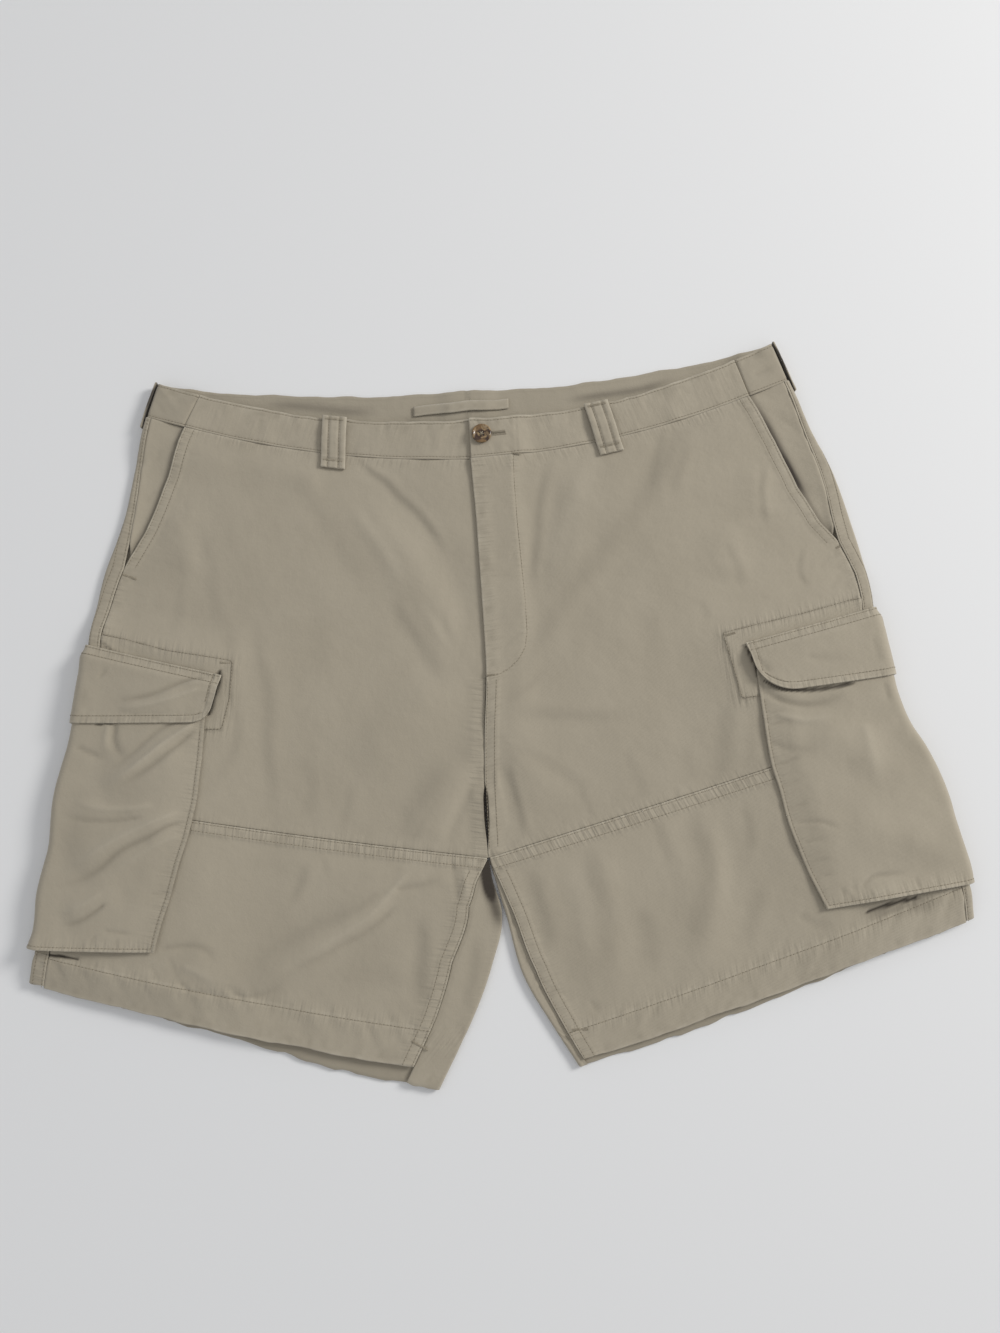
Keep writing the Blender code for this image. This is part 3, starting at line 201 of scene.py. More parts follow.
# Creases from the photo: kind, strength, half width and points in its pixels. "s" is a slope that turns
# from the light, or to it where the strength is positive, "v" a trough or ridge that starts sharp and fades out,
# "g" a dark gap, "d" a soft one. Rows of negative strength are also painted darker as shade and positive ones
# paler as highlight; "g" is painted near black and "d" dark, as shadow.
creases = {
    "front": [
        ("s", -1.2, 6, (350, 452), (370, 472), (385, 482), (400, 497), (420, 515), (432, 530), (450, 560)),
        ("v", -0.5, 3, (352, 454), (370, 472), (386, 483), (402, 499)),
        ("s", 0.8, 8, (350, 500), (370, 527), (390, 555), (410, 590)),
        ("s", -0.45, 11, (285, 462), (312, 500), (340, 545), (375, 600)),
        ("s", -0.45, 9, (200, 520), (210, 560), (215, 600), (222, 645)),
        ("s", -0.35, 8, (180, 530), (182, 580), (178, 620), (172, 648)),
        ("v", -0.4, 2.5, (183, 500), (190, 525)),
        ("v", -0.4, 2.5, (178, 510), (186, 525)),
        ("v", -0.3, 3, (145, 560), (168, 565), (166, 600)),
        ("s", -0.8, 9, (385, 590), (405, 620), (425, 650), (450, 690)),
        ("s", 0.6, 6, (415, 595), (440, 630), (465, 670), (480, 700)),
        ("s", -0.5, 6, (440, 600), (450, 640), (475, 690)),
        ("s", -0.8, 9, (255, 610), (262, 660), (270, 700), (268, 740), (275, 800), (280, 830)),
        ("s", -0.6, 8, (222, 600), (232, 650), (236, 700), (236, 750), (222, 775), (208, 800)),
        ("s", -0.4, 8, (302, 750), (312, 790), (305, 825)),
        ("s", -0.4, 7, (354, 775), (346, 815), (340, 835)),
        ("s", -1.0, 16, (480, 725), (450, 765), (425, 795), (392, 842)),
        ("s", 0.8, 8, (482, 750), (462, 795), (436, 848)),
        ("s", -0.6, 6, (480, 775), (464, 805), (446, 848)),
        ("v", -0.35, 4, (408, 846), (428, 812), (446, 788)),
        ("s", -0.3, 12, (300, 560), (320, 620), (318, 690)),
        ("s", -0.8, 9, (505, 728), (525, 714), (560, 714), (600, 716), (635, 710)),
        ("s", -0.5, 8, (515, 742), (545, 760), (575, 780), (592, 800)),
        ("s", -1.1, 6, (505, 758), (513, 785), (520, 812), (527, 842)),
        ("s", 0.7, 5, (497, 770), (505, 800), (510, 835)),
        ("s", -0.5, 3, (494, 768), (496, 792)),
        ("s", -0.3, 5, (578, 785), (590, 808), (600, 826)),
        ("s", -0.4, 8, (624, 745), (638, 776), (650, 805)),
        ("s", -0.35, 10, (682, 742), (690, 768), (694, 786)),
        ("s", -0.55, 11, (730, 690), (723, 730), (722, 765), (714, 800)),
        ("s", 0.5, 9, (742, 705), (740, 740), (738, 775)),
        ("s", -0.4, 6, (757, 700), (764, 735), (770, 762)),
        ("s", -0.9, 12, (610, 550), (572, 590), (552, 620), (536, 645), (515, 675)),
        ("s", -0.6, 5, (502, 700), (525, 690), (545, 672)),
        ("s", -1.0, 7, (558, 450), (545, 480), (540, 505), (537, 540), (533, 570), (531, 605)),
        ("s", -1.3, 15, (695, 410), (660, 470), (630, 515), (600, 555), (560, 600)),
        ("s", 0.7, 11, (610, 430), (580, 490), (560, 540), (545, 600)),
        ("s", -0.5, 7, (665, 425), (656, 460), (650, 495)),
        ("s", -0.5, 7, (692, 440), (680, 470), (670, 500)),
        ("s", -0.4, 5, (700, 598), (710, 622)),
        ("s", -0.4, 14, (640, 600), (655, 650), (650, 700)),
        ("s", -0.7, 5, (765, 460), (762, 500), (768, 530)),
        ("v", -0.5, 3, (775, 505), (800, 495)),
        ("s", -0.6, 7, (725, 540), (737, 565), (745, 592)),
        ("s", -0.6, 4, (805, 545), (800, 570), (810, 590)),
        ("v", -0.5, 3, (830, 555), (815, 575)),
        ("v", -0.5, 3, (840, 575), (825, 595)),
        ("v", -0.4, 3, (760, 590), (765, 605)),
        ("v", -0.4, 2, (481, 566), (491, 563)),
        ("v", -0.4, 2, (480, 581), (491, 576)),
        ("v", -0.5, 6, (488, 577), (516, 576)),
        ("v", -0.4, 2.5, (511, 562), (516, 551)),
        ("v", -0.6, 2.5, (503, 650), (512, 640), (523, 634)),
        ("v", -0.5, 3, (498, 676), (510, 668), (522, 655)),
        ("v", -0.5, 2.5, (128, 576), (135, 583), (142, 589)),
        ("v", -0.3, 2, (478, 640), (482, 664)),
        ("g", 1.0, 2.9, (222, 672), (218.5, 686), (213.5, 700), (210, 717)),
        ("g", 0.7, 1.3, (744, 647), (749, 657), (754, 668), (757, 680)),
        ("v", -0.5, 3, (735, 668), (748, 660)),
        ("v", -0.5, 3, (742, 684), (756, 682)),
    ],
    "lower": [
        ("v", 1.2, 7, (412, 868), (392, 890), (374, 912), (350, 930), (320, 948), (300, 960), (272, 978)),
        ("v", -1.1, 6, (400, 903), (380, 921), (360, 936), (340, 946), (320, 958), (300, 967), (280, 981), (260, 991)),
        ("v", -1.0, 14, (388, 888), (350, 912), (310, 928), (280, 945), (245, 968), (222, 980)),
        ("v", -0.8, 5, (225, 982), (240, 996), (262, 995), (292, 978)),
        ("v", -0.9, 5, (393, 890), (415, 887), (447, 878)),
        ("v", 0.5, 6, (398, 868), (432, 862)),
        ("v", -1.0, 5, (450, 857), (455, 880), (458, 900), (463, 917)),
        ("v", 0.8, 4.5, (464, 868), (467, 900)),
        ("s", -0.9, 10, (422, 908), (424, 945), (421, 975), (424, 1010)),
        ("v", -1.1, 5, (160, 949), (185, 946), (203, 948), (214, 957), (215, 972)),
        ("v", 1.0, 8, (183, 964), (205, 975), (228, 986)),
        ("v", -1.0, 3.5, (180, 976), (186, 988), (205, 992), (225, 997), (252, 1001)),
        ("s", -0.5, 7, (308, 858), (303, 880), (290, 908)),
        ("v", -0.4, 3, (322, 858), (326, 878)),
        ("v", -0.5, 4, (170, 955), (178, 975), (182, 990)),
        ("v", -0.5, 4, (152, 962), (162, 985)),
        ("s", -0.4, 14, (330, 985), (380, 975), (410, 985)),
        ("s", -0.7, 10, (530, 862), (538, 895), (548, 930), (552, 960)),
        ("s", -0.75, 13, (584, 838), (596, 870), (606, 910), (608, 950), (604, 995)),
        ("s", 0.5, 11, (570, 850), (584, 905), (588, 960)),
        ("s", -0.4, 8, (652, 812), (662, 838), (676, 872)),
        ("s", -0.85, 14, (686, 795), (698, 830), (706, 860), (708, 885), (701, 920), (695, 960)),
        ("s", 0.5, 11, (716, 815), (726, 868), (722, 915)),
        ("s", -0.5, 10, (764, 878), (752, 920), (744, 950)),
        ("s", -0.4, 8, (742, 800), (750, 830), (748, 860)),
        ("s", -0.5, 12, (640, 900), (652, 940), (650, 975)),
        ("v", -0.8, 10, (796, 914), (812, 924), (836, 926)),
        ("v", -0.4, 3, (560, 842), (566, 856)),
        ("v", -0.4, 3, (535, 980), (575, 1000)),
        ("v", -0.6, 4, (590, 1000), (600, 1015)),
        ("g", 0.8, 1.2, (28, 950), (48, 954), (66, 956), (86, 959)),
        ("g", 0.7, 1.7, (862, 912), (880, 906), (902, 900), (918, 897)),
        ("d", 0.35, 8, (850, 916), (880, 911), (915, 904), (945, 897)),
    ],
    "pocket": [
        ("v", -1.0, 5, (196, 721), (180, 724), (163, 732), (148, 745), (128, 762), (104, 776)),
        ("v", 1.6, 6, (203, 721), (186, 733), (168, 745), (150, 760), (128, 776), (98, 788)),
        ("v", -1.3, 5, (200, 730), (182, 746), (160, 764), (140, 778), (112, 792)),
        ("v", -1.1, 6, (121, 724), (118, 740), (122, 752), (134, 764)),
        ("v", 0.7, 5, (113, 726), (110, 742), (112, 756)),
        ("v", -0.8, 5, (80, 748), (112, 762)),
        ("v", -0.8, 5, (150, 817), (128, 821), (100, 822), (75, 818), (60, 808)),
        ("v", 0.8, 6, (160, 806), (130, 810), (98, 808), (70, 796)),
        ("v", -1.4, 5.5, (192, 822), (176, 825), (152, 838), (124, 852), (100, 872), (75, 884), (48, 888)),
        ("v", 1.1, 7, (186, 811), (150, 826), (112, 845), (84, 862), (60, 870)),
        ("v", 0.7, 6, (186, 834), (160, 846), (130, 864), (104, 884)),
        ("v", -1.2, 4.5, (112, 902), (95, 915), (80, 923), (58, 926)),
        ("v", 0.6, 6, (108, 892), (80, 908), (60, 913)),
        ("v", -0.6, 3, (108, 930), (140, 934)),
        ("v", -0.5, 2.5, (100, 934), (95, 946)),
        ("v", -0.5, 2.5, (120, 938), (121, 949)),
        ("v", -0.5, 2, (182, 773), (201, 774)),
        ("v", -0.4, 2, (162, 871), (182, 872)),
        ("v", -0.4, 2, (155, 893), (175, 894)),
        ("s", -0.3, 18, (150, 760), (140, 790), (120, 830)),
        ("s", -0.3, 14, (90, 780), (80, 830), (70, 870)),
        ("v", -1.4, 6, (759, 690), (775, 701), (800, 707), (825, 703), (845, 692)),
        ("v", -0.6, 9, (764, 742), (790, 752), (822, 748)),
        ("v", 0.9, 7, (770, 715), (800, 722), (832, 716)),
        ("v", -0.5, 2.2, (762, 715), (785, 712)),
        ("v", -0.5, 2.2, (764, 727), (790, 722)),
        ("v", -0.7, 3, (770, 768), (784, 763), (800, 755)),
        ("v", -0.5, 2.2, (777, 787), (800, 780)),
        ("v", -0.5, 2.2, (784, 810), (806, 803)),
        ("v", -0.7, 3, (792, 824), (815, 822), (840, 831)),
        ("v", -0.5, 2.2, (800, 843), (822, 838)),
        ("v", -0.5, 2.2, (806, 863), (828, 858)),
        ("v", -0.5, 2.2, (811, 879), (832, 872)),
        ("s", -0.35, 18, (842, 750), (870, 775), (905, 785)),
        ("s", -0.4, 20, (890, 825), (915, 850), (935, 880)),
        ("s", -0.3, 13, (885, 725), (905, 745), (930, 758)),
        ("v", -0.6, 5, (879, 684), (886, 706)),
        ("v", 0.7, 16, (858, 722), (878, 800)),
        ("v", -0.9, 4, (856, 890), (864, 879), (888, 874), (906, 872)),
        ("v", 0.7, 4, (866, 893), (892, 884)),
        ("v", -0.7, 3, (930, 872), (935, 888)),
        ("v", -0.7, 3, (911, 875), (915, 890)),
        ("v", -0.5, 2.5, (848, 878), (851, 896)),
        ("v", -0.5, 2.5, (838, 886), (842, 900)),
        ("g", 0.5, 1.1, (98, 727), (110, 725), (124, 724)),
        ("g", 0.7, 2.0, (760, 681), (775, 689), (800, 692), (830, 689), (852, 684)),
    ],
    "flap": [
        ("v", -1.1, 4, (216, 680), (195, 682), (175, 690), (155, 698), (130, 703), (105, 705)),
        ("v", 0.9, 5, (206, 690), (180, 700), (150, 708), (115, 711)),
        ("v", -0.5, 3, (104, 682), (112, 670)),
        ("v", -0.5, 6, (92, 690), (88, 712)),
        ("v", -0.6, 6, (754, 662), (768, 680)),
        ("v", -0.4, 8, (800, 660), (850, 662)),
        ("v", 0.6, 3, (770, 682), (800, 686), (840, 681), (890, 675)),
        ("v", -0.5, 5, (868, 640), (880, 668)),
    ],
    "band": [
        ("v", -0.8, 3, (262, 420), (258, 438)),
        ("v", -0.7, 2.5, (711, 366), (711, 386)),
        ("v", -0.5, 2.5, (644, 398), (648, 415)),
        ("v", -0.5, 2.5, (680, 383), (684, 400)),
        ("v", -0.5, 2.5, (503, 445), (513, 454)),
        ("v", -0.5, 2.5, (477, 423), (482, 431)),
        ("v", -0.5, 3, (222, 402), (226, 424)),
        ("v", -0.5, 3, (292, 412), (296, 440)),
        ("v", -0.6, 3, (384, 420), (388, 446)),
        ("v", -0.5, 3, (430, 432), (434, 458)),
        ("v", -0.6, 3, (544, 412), (550, 440)),
        ("v", -0.5, 3, (566, 405), (572, 432)),
        ("v", -0.5, 3, (662, 388), (668, 410)),
        ("v", -0.5, 3, (727, 362), (734, 392)),
    ],
    "bandBack": [
        ("v", 0.7, 4, (161, 389), (172, 402), (183, 421)),
        ("v", -0.5, 3, (154, 400), (168, 420)),
        ("v", -1.1, 4, (752, 378), (762, 374), (774, 366)),
        ("v", -0.8, 4, (742, 370), (748, 358), (766, 351)),
    ],
    "bandInside": [
        ("d", 0.38, 5, (255, 402), (300, 405), (345, 410), (385, 412)),
        ("d", 0.35, 3, (392, 412), (430, 424), (470, 420), (510, 416)),
        ("d", 0.45, 4, (560, 400), (600, 394), (640, 388), (680, 376)),
        ("v", -0.8, 2, (300, 398), (340, 404), (400, 406)),
    ],
    "back": [
        ("v", -0.7, 3, (155, 424), (175, 428), (184, 425)),
        ("v", -0.6, 2.5, (116, 589), (135, 586)),
        ("d", 1.3, 5.5, (484, 838), (485, 862), (488, 884), (494, 905)),
        ("d", 0.8, 6, (486, 850), (489, 885), (497, 915), (503, 935)),
        ("s", -0.7, 8, (480, 930), (474, 975), (462, 1020)),
        ("v", -0.8, 5, (455, 1020), (462, 1035), (458, 1050)),
        ("v", -0.5, 4, (510, 905), (520, 950), (545, 990)),
    ],
    "facing": [
        ("v", -0.8, 3, (188, 436), (180, 441), (171, 447)),
        ("v", 0.8, 4, (151, 458), (144, 468), (136, 480)),
        ("v", -0.8, 3.5, (161, 449), (158, 466)),
        ("v", -0.7, 3, (156, 489), (144, 504)),
        ("v", -1.0, 3.5, (754, 403), (772, 413), (790, 425), (811, 441)),
        ("v", 0.7, 4, (760, 415), (785, 436), (800, 460)),
        ("d", 0.50, 6, (750, 402), (766, 424), (782, 452), (798, 480), (816, 506)),
        ("d", 0.30, 3, (780, 448), (794, 474), (808, 498)),
    ],
}
creaseLook = {"height": 0.00080, "slope": 0.0012, "shade": 0.085, "gapDepth": 0.0022, "gapShade": 0.97,
              "strength": {"pocket": 1.9, "flap": 2.2, "lower": 1.35, "front": 0.95},
              "narrow": {"pocket": 0.68, "flap": 0.75, "lower": 0.9}}

# Folds of the side that lies underneath, in the columns of the largest folds
underFolds = [
    (-0.060, 0.330, -0.150, 0.180, 0.010, 0.014, 0.0016),
    (-0.200, 0.340, -0.230, 0.200, -0.006, 0.012, 0.0014),
    (0.080, 0.330, 0.150, 0.150, -0.012, 0.015, 0.0017),
    (0.220, 0.340, 0.200, 0.230, 0.004, 0.011, 0.0012),
    (-0.030, 0.120, -0.140, 0.060, 0.008, 0.013, 0.0016),
    (0.040, 0.110, 0.130, 0.020, -0.008, 0.014, 0.0015),
    (-0.100, -0.020, -0.230, -0.110, -0.008, 0.013, 0.0017),
    (0.120, 0.000, 0.190, -0.120, 0.006, 0.013, 0.0014),
    (-0.020, 0.280, -0.060, 0.200, 0.002, 0.009, 0.0010),
    (0.050, 0.240, 0.060, 0.160, 0.002, 0.009, 0.0010),
]


def ramp(value, low, high):
    t = np.clip((np.asarray(value, float) - low) / (high - low), 0.0, 1.0)
    return t * t * (3 - 2 * t)


def smoothCurve(x, xs, ys):   # through the points, and straight beyond its ends
    xs, ys = np.asarray(xs, float), np.asarray(ys, float)
    slopes = np.gradient(ys, xs)
    x = np.asarray(x, float)
    inside = np.clip(x, xs[0], xs[-1])
    i = np.clip(np.searchsorted(xs, inside) - 1, 0, len(xs) - 2)
    step = xs[i + 1] - xs[i]
    t = (inside - xs[i]) / step
    value = ((1 + 2 * t) * (1 - t) ** 2 * ys[i] + t * (1 - t) ** 2 * step * slopes[i]
             + t * t * (3 - 2 * t) * ys[i + 1] + t * t * (t - 1) * step * slopes[i + 1])
    return value + (x - inside) * np.where(x < inside, slopes[0], slopes[-1])


def lumps(x, y, seed):   # soft noise from -1 to 1, one lump to a unit
    table = np.random.RandomState(seed).uniform(-1, 1, (61, 61))
    x, y = np.broadcast_arrays(np.asarray(x, float), np.asarray(y, float))
    i, j = np.floor(x).astype(int), np.floor(y).astype(int)
    u, v = x - i, y - j
    u, v = u * u * (3 - 2 * u), v * v * (3 - 2 * v)
    a, b = table[i % 61, j % 61], table[(i + 1) % 61, j % 61]
    c, d = table[i % 61, (j + 1) % 61], table[(i + 1) % 61, (j + 1) % 61]
    return (a * (1 - u) + b * u) * (1 - v) + (c * (1 - u) + d * u) * v


def foldHeight(x, y, rows):
    total = np.zeros(np.broadcast(x, y).shape)
    for startX, startY, endX, endY, bend, halfWidth, height in rows:
        runX, runY = endX - startX, endY - startY
        length = np.hypot(runX, runY)
        t = ((x - startX) * runX + (y - startY) * runY) / length**2
        aside = ((x - startX) * runY - (y - startY) * runX) / length - 4 * bend * t * (1 - t)
        taper = ramp(t, 0.0, 0.3) * ramp(1 - t, 0.0, 0.3)
        total = total + height * taper * np.exp(-((aside / halfWidth) ** 2))
    return total


def creaseLine(points):   # a smooth line through the points, in plan
    places = np.array([onCloth(*p) for p in points])
    steps = np.hypot(*np.diff(places, axis=0).T)
    run = np.concatenate([[0], np.cumsum(steps)])
    at = np.linspace(0, run[-1], max(4, int(run[-1] / 0.006)))
    return np.stack([smoothCurve(at, run, places[:, 0]), smoothCurve(at, run, places[:, 1])], axis=-1)


creaseLines = {kind: [creaseLine(row[3:]) for row in rows] for kind, rows in creases.items()}


def drawn(kind, x, y):   # relief of the creases of one kind, and their painted shade and highlight: darker in troughs, gaps and hollows, paler on ridges
    x, y = np.broadcast_arrays(np.asarray(x, float), np.asarray(y, float))
    relief, shade = np.zeros(x.shape), np.zeros(x.shape)
    pixel, kindStrength = 0.000875, creaseLook["strength"].get(kind, 1.0)
    for (shape, strength, halfWidth, *_), line in zip(creases[kind], creaseLines[kind]):
        width = halfWidth * pixel * (creaseLook["narrow"].get(kind, 1.0) if shape == "v" else 1.0)
        strength, reach = strength * (1 if shape in "gd" else kindStrength), 3 * width
        low, high = line.min(0) - reach, line.max(0) + reach
        near = (x > low[0]) & (x < high[0]) & (y > low[1]) & (y < high[1])
        if not near.any():
            continue
        px, py = x[near], y[near]
        best, aside, run = np.full(px.shape, 9.0), np.zeros(px.shape), np.zeros(px.shape)
        total = 0.0
        for a, b in zip(line, line[1:]):
            dX, dY = b - a
            length = math.hypot(dX, dY)
            t = np.clip(((px - a[0]) * dX + (py - a[1]) * dY) / length**2, 0, 1)
            gapX, gapY = px - a[0] - t * dX, py - a[1] - t * dY
            gap = np.hypot(gapX, gapY)
            nearer = gap < best
            best = np.where(nearer, gap, best)
            aside = np.where(nearer, gap * np.sign(gapX * dY - gapY * dX), aside)
            run = np.where(nearer, total + t * length, run)
            total += length
        share = run / total
        starts, ends = {"g": (0.12, 0.12), "v": (0.12, 0.45)}.get(shape, (0.28, 0.28))
        taper = ramp(share, 0, starts) * ramp(1 - share, 0, ends)
        a = aside / width / (0.6 + 0.9 * share if shape == "v" else 1.0)
        soft = np.exp(-(a**2)) * taper
        if shape == "v":
            soft = 0.6 * soft + 0.4 * np.exp(-((a / 0.42) ** 2)) * taper
            relief[near] += strength * creaseLook["height"] * soft
        elif shape == "s":
            runX, runY = line[-1] - line[0]
            facing = 1.0 if runY * keyFrom[0] - runX * keyFrom[1] > 0 else -1.0
            relief[near] += -strength * facing * creaseLook["slope"] * a * soft
        if shape == "d":   # a soft shadowed hollow
            relief[near] -= strength * 0.0012 * soft
            shade[near] -= 0.95 * strength * soft
        elif shape == "g":
            deep = np.exp(-((best / (width * (0.35 + 0.65 * taper))) ** 4))
            deep = deep * ramp(share, 0, 0.02) * ramp(1 - share, 0, 0.02)
            relief[near] -= strength * creaseLook["gapDepth"] * deep
            shade[near] -= creaseLook["gapShade"] * min(1.0, strength + 0.2) * deep
        else:
            shade[near] += creaseLook["shade"] * strength * soft
    return relief, np.clip(shade, -1, 1)


class Leg:
    # drop runs down the cloth from the waist seam, along runs round the leg from its side fold
    def __init__(self, name, sign):
        self.name, self.sign, self.cargo, self.pocketLine = name, sign, cargo[name], None
        self.drops, *self.columns = np.array(sections[name]).T
        self.seamDrops, *self.seamColumns = np.array(seamPlaces[name]).T
        self.waistRow = list(self.drops).index(cut["frontRise"])

    def piece(self, kind):
        return kind + self.name.capitalize()

    def side(self, k, drop):
        return smoothCurve(drop, self.drops, self.columns[k])

    def inner(self, k, drop):
        n = self.waistRow
        hip = smoothCurve(np.minimum(drop, cut["frontRise"]), self.drops[: n + 1], self.columns[k][: n + 1])
        leg = smoothCurve(np.maximum(drop, cut["frontRise"]), self.drops[n:], self.columns[k][n:])
        return np.where(np.asarray(drop) <= cut["frontRise"], hip, leg)

    def innerX(self, drop):
        return self.inner(2, drop)

    def sideSeam(self, drop):
        return np.interp(drop, self.seamDrops, self.seamColumns[0])

    def slant(self, drop):
        return np.interp(drop, self.seamDrops, self.seamColumns[1])

    def inseam(self, drop):
        return np.maximum(np.interp(drop, self.seamDrops, self.seamColumns[2]), 0.0012)

    def row(self, drop):
        sideX, sideY = self.sign * self.side(0, drop), self.side(1, drop)
        runX, runY = self.innerX(drop) - sideX, self.inner(3, drop) - sideY
        length = np.hypot(runX, runY)
        return sideX, sideY, runX / length, runY / length, length

    def sideRadius(self, drop):
        more = laid["waistFold"] - laid["sideFold"]
        return (laid["sideFold"] + more * ramp(-drop, -0.06, -0.01)) / 2

    def innerHeight(self, drop):
        rise = cut["frontRise"]
        hip = laid["centre"] + (laid["crotch"] - laid["centre"]) * ramp(drop, rise - 0.12, rise - 0.02)
        return hip + (laid["innerFold"] - hip) * ramp(drop, rise, rise + laid["legRises"])

    def raised(self, drop, inward, length, spread):
        one = self.cargo
        top = min(one["flapTopFront"], one["flapTopFold"]) - laid["pocketMargin"]
        low = max(one["bottomFront"], one["bottomFold"]) + laid["pocketMargin"]
        reach = cut["pocketReachUnder"] + laid["pocketMargin"]
        pocket = 1 - ramp(inward, reach, reach + spread)
        pocket = pocket * ramp(drop, top - laid["slope"], top) * (1 - ramp(drop, low, low + laid["slope"]))
        sideLoops = sideLoopStack * (1 - ramp(inward, laid["sideLoopReach"], laid["sideLoopReach"] + spread))
        fromInner = length - inward
        backLoops = backLoopStack * (1 - ramp(fromInner, laid["backLoopReach"], laid["backLoopReach"] + spread))
        belowSeam = ramp(drop, laid["loopBelowSeam"], laid["loopBelowSeam"] + laid["slope"])
        return flapStack * pocket + (sideLoops + backLoops) * (1 - belowSeam)

    def opened(self, drop):
        return ramp(drop, cut["frontRise"], cut["frontRise"] + laid["legOpens"])

    def topHeight(self, drop, inward, x, y, length):
        share = np.clip(inward / length, 0.0, 1.0)
        fromInner = length - inward
        across = ramp(share, 0.1, 0.9)
        edges = 2 * self.sideRadius(drop) * (1 - across) + self.innerHeight(drop) * across
        soft = 1 - 0.8 * ramp(-drop, -0.030, 0.004)
        loft = laid["loft"] * np.sin(np.pi * share) * ramp(inward, 0.008, 0.045) * ramp(fromInner, 0.003, 0.035)
        atInnerFold = self.opened(drop) * (1 - ramp(fromInner, 0.006, 0.030))
        folds = foldHeight(x, y, mainFolds["body"]) * ramp(inward, 0.004, 0.030) * (1 - atInnerFold)
        return self.raised(drop, inward, length, laid["topSlope"]) + edges + soft * (loft + folds)

    def underHeight(self, drop, inward, length):
        return self.raised(drop, inward, length, laid["underSlope"])

    def point(self, drop, along, lift=0.0):
        drop, along, lift = np.broadcast_arrays(*(np.asarray(v, float) for v in (drop, along, lift)))
        sideX, sideY, stepX, stepY, length = self.row(drop)
        radius = self.sideRadius(drop)
        topLayer, reach = np.where(along > 0, 1.0, -1.0), np.abs(along)
        quarter = radius * np.pi / 2
        inSideFold = reach < quarter
        around = np.minimum(reach / radius, np.pi / 2)
        flat = np.where(inSideFold, radius, radius + reach - quarter)
        halfHeight = self.innerHeight(drop) / 2
        across = halfHeight * self.opened(drop)
        turnStarts = length - across
        turnLength = (across + halfHeight) / 2
        inInnerFold = (flat > turnStarts) & (across > 0)
        turn = np.where(inInnerFold, np.clip((flat - turnStarts) / turnLength, 0.0, np.pi), 0.0)
        past = np.where(inInnerFold, np.maximum(flat - turnStarts - np.pi * turnLength, 0.0), 0.0)
        turnedOver = past > 0
        plan = np.where(inInnerFold, turnStarts + np.maximum(across + lift, 0.00005) * np.sin(turn), flat)
        plan = np.where(turnedOver, turnStarts - past, plan)
        plan = np.where(inSideFold, radius - (radius + lift) * np.cos(around), plan)
        share = plan / length
        x = sideX + stepX * plan
        y = sideY + stepY * plan + 4 * self.side(4, drop) * share * (1 - share)
        side = np.where(turnedOver, -topLayer, topLayer)
        top = self.topHeight(drop, plan, x, y, length) + lift
        under = self.underHeight(drop, plan, length) - lift
        z = np.where(side > 0, top, under)
        middle = self.underHeight(drop, plan, length) + halfHeight
        z = np.where(inInnerFold & ~turnedOver, middle + topLayer * (halfHeight + lift) * np.cos(turn), z)
        middle = self.underHeight(drop, np.zeros_like(drop), length) + radius
        z = np.where(inSideFold, middle + topLayer * (radius + lift) * np.sin(around), z)
        return np.stack([x, y, z], axis=-1)

    def alongAt(self, drop, x):
        sideX, _, stepX, _, _ = self.row(np.asarray(drop, float))
        radius = self.sideRadius(drop)
        return (x - sideX) / stepX - radius + radius * np.pi / 2

    def placeOnTop(self, x, y):   # the drop and along of a place in plan
        x, y = np.broadcast_arrays(np.asarray(x, float), np.asarray(y, float))
        drops = np.linspace(-0.075, 0.575, 660)
        found = []
        for oneX, oneY in zip(x.ravel(), y.ravel()):
            ys = self.point(drops, np.maximum(self.alongAt(drops, oneX), 0.001))[:, 1]
            found.append(np.interp(-oneY, -ys, drops))
        drop = np.array(found).reshape(x.shape)
        return drop, self.alongAt(drop, x)

    def backDrop(self, drop, share):
        higher = cut["backRiseMore"] * np.sin(np.pi / 2 * np.clip(share, 0, 1)) ** 0.9
        lower = np.interp(share, hemPeekShares, hemPeek[self.name])
        nearHem = ramp(drop, cut["hemDrop"] - 0.08, cut["hemDrop"])
        return drop - higher * (1 - ramp(drop, 0.01, 0.185)) + lower * nearHem

    def pocketFront(self, drop):
        if self.pocketLine is None:
            places = [onCloth(*p, 0.0125) for p in pocketEdge[self.name]]
            self.pocketLine = self.placeOnTop(*np.array(places).T)
        return smoothCurve(drop, *self.pocketLine)

    def underPocket(self, drop, along):   # 1 where the pocket or the flap hides the leg
        one = self.cargo
        inside = 1 - ramp(along, self.pocketFront(drop) - 0.006, self.pocketFront(drop) + 0.002)
        return inside * ramp(drop, one["flapTopFront"] - 0.006, one["flapTopFront"] + 0.006) * (
            1 - ramp(drop, one["bottomFront"] - 0.006, one["bottomFront"] + 0.010))


legs = {"right": Leg("right", -1), "left": Leg("left", 1)}


# The soft lie of the cloth between its creases
lie = {"wide": 0.050, "wideHeight": 0.00060, "mid": 0.022, "midHeight": 0.00022, "small": 0.010,
       "smallHeight": 0.00012, "seed": 11}


def bodyRelief(leg, drop, along, x, y, kind="front"):
    relief, _ = drawn(kind, x, y)
    relief = relief * (1 - ramp(-along, 0.0, 0.004))
    soft = lie["wideHeight"] * lumps(x / lie["wide"], y / lie["wide"] * 0.7, lie["seed"])
    leaning = x / lie["mid"] + 0.4 * y / lie["mid"]
    soft = soft + lie["midHeight"] * lumps(leaning, y / lie["mid"] * 0.5, lie["seed"] + 2)
    soft = soft + lie["smallHeight"] * lumps(x / lie["small"], y / lie["small"] * 0.8, lie["seed"] + 1)
    relief = relief + soft * ramp(along, 0.004, 0.030) * (1 - 0.9 * leg.underPocket(drop, along))
    under = -foldHeight(x, y, underFolds) - 0.0006 * (1 + lumps(x / 0.05, y / 0.06, 5))
    under = under * ramp(-along, 0.006, 0.030)
    return np.where(along > 0, relief, under)


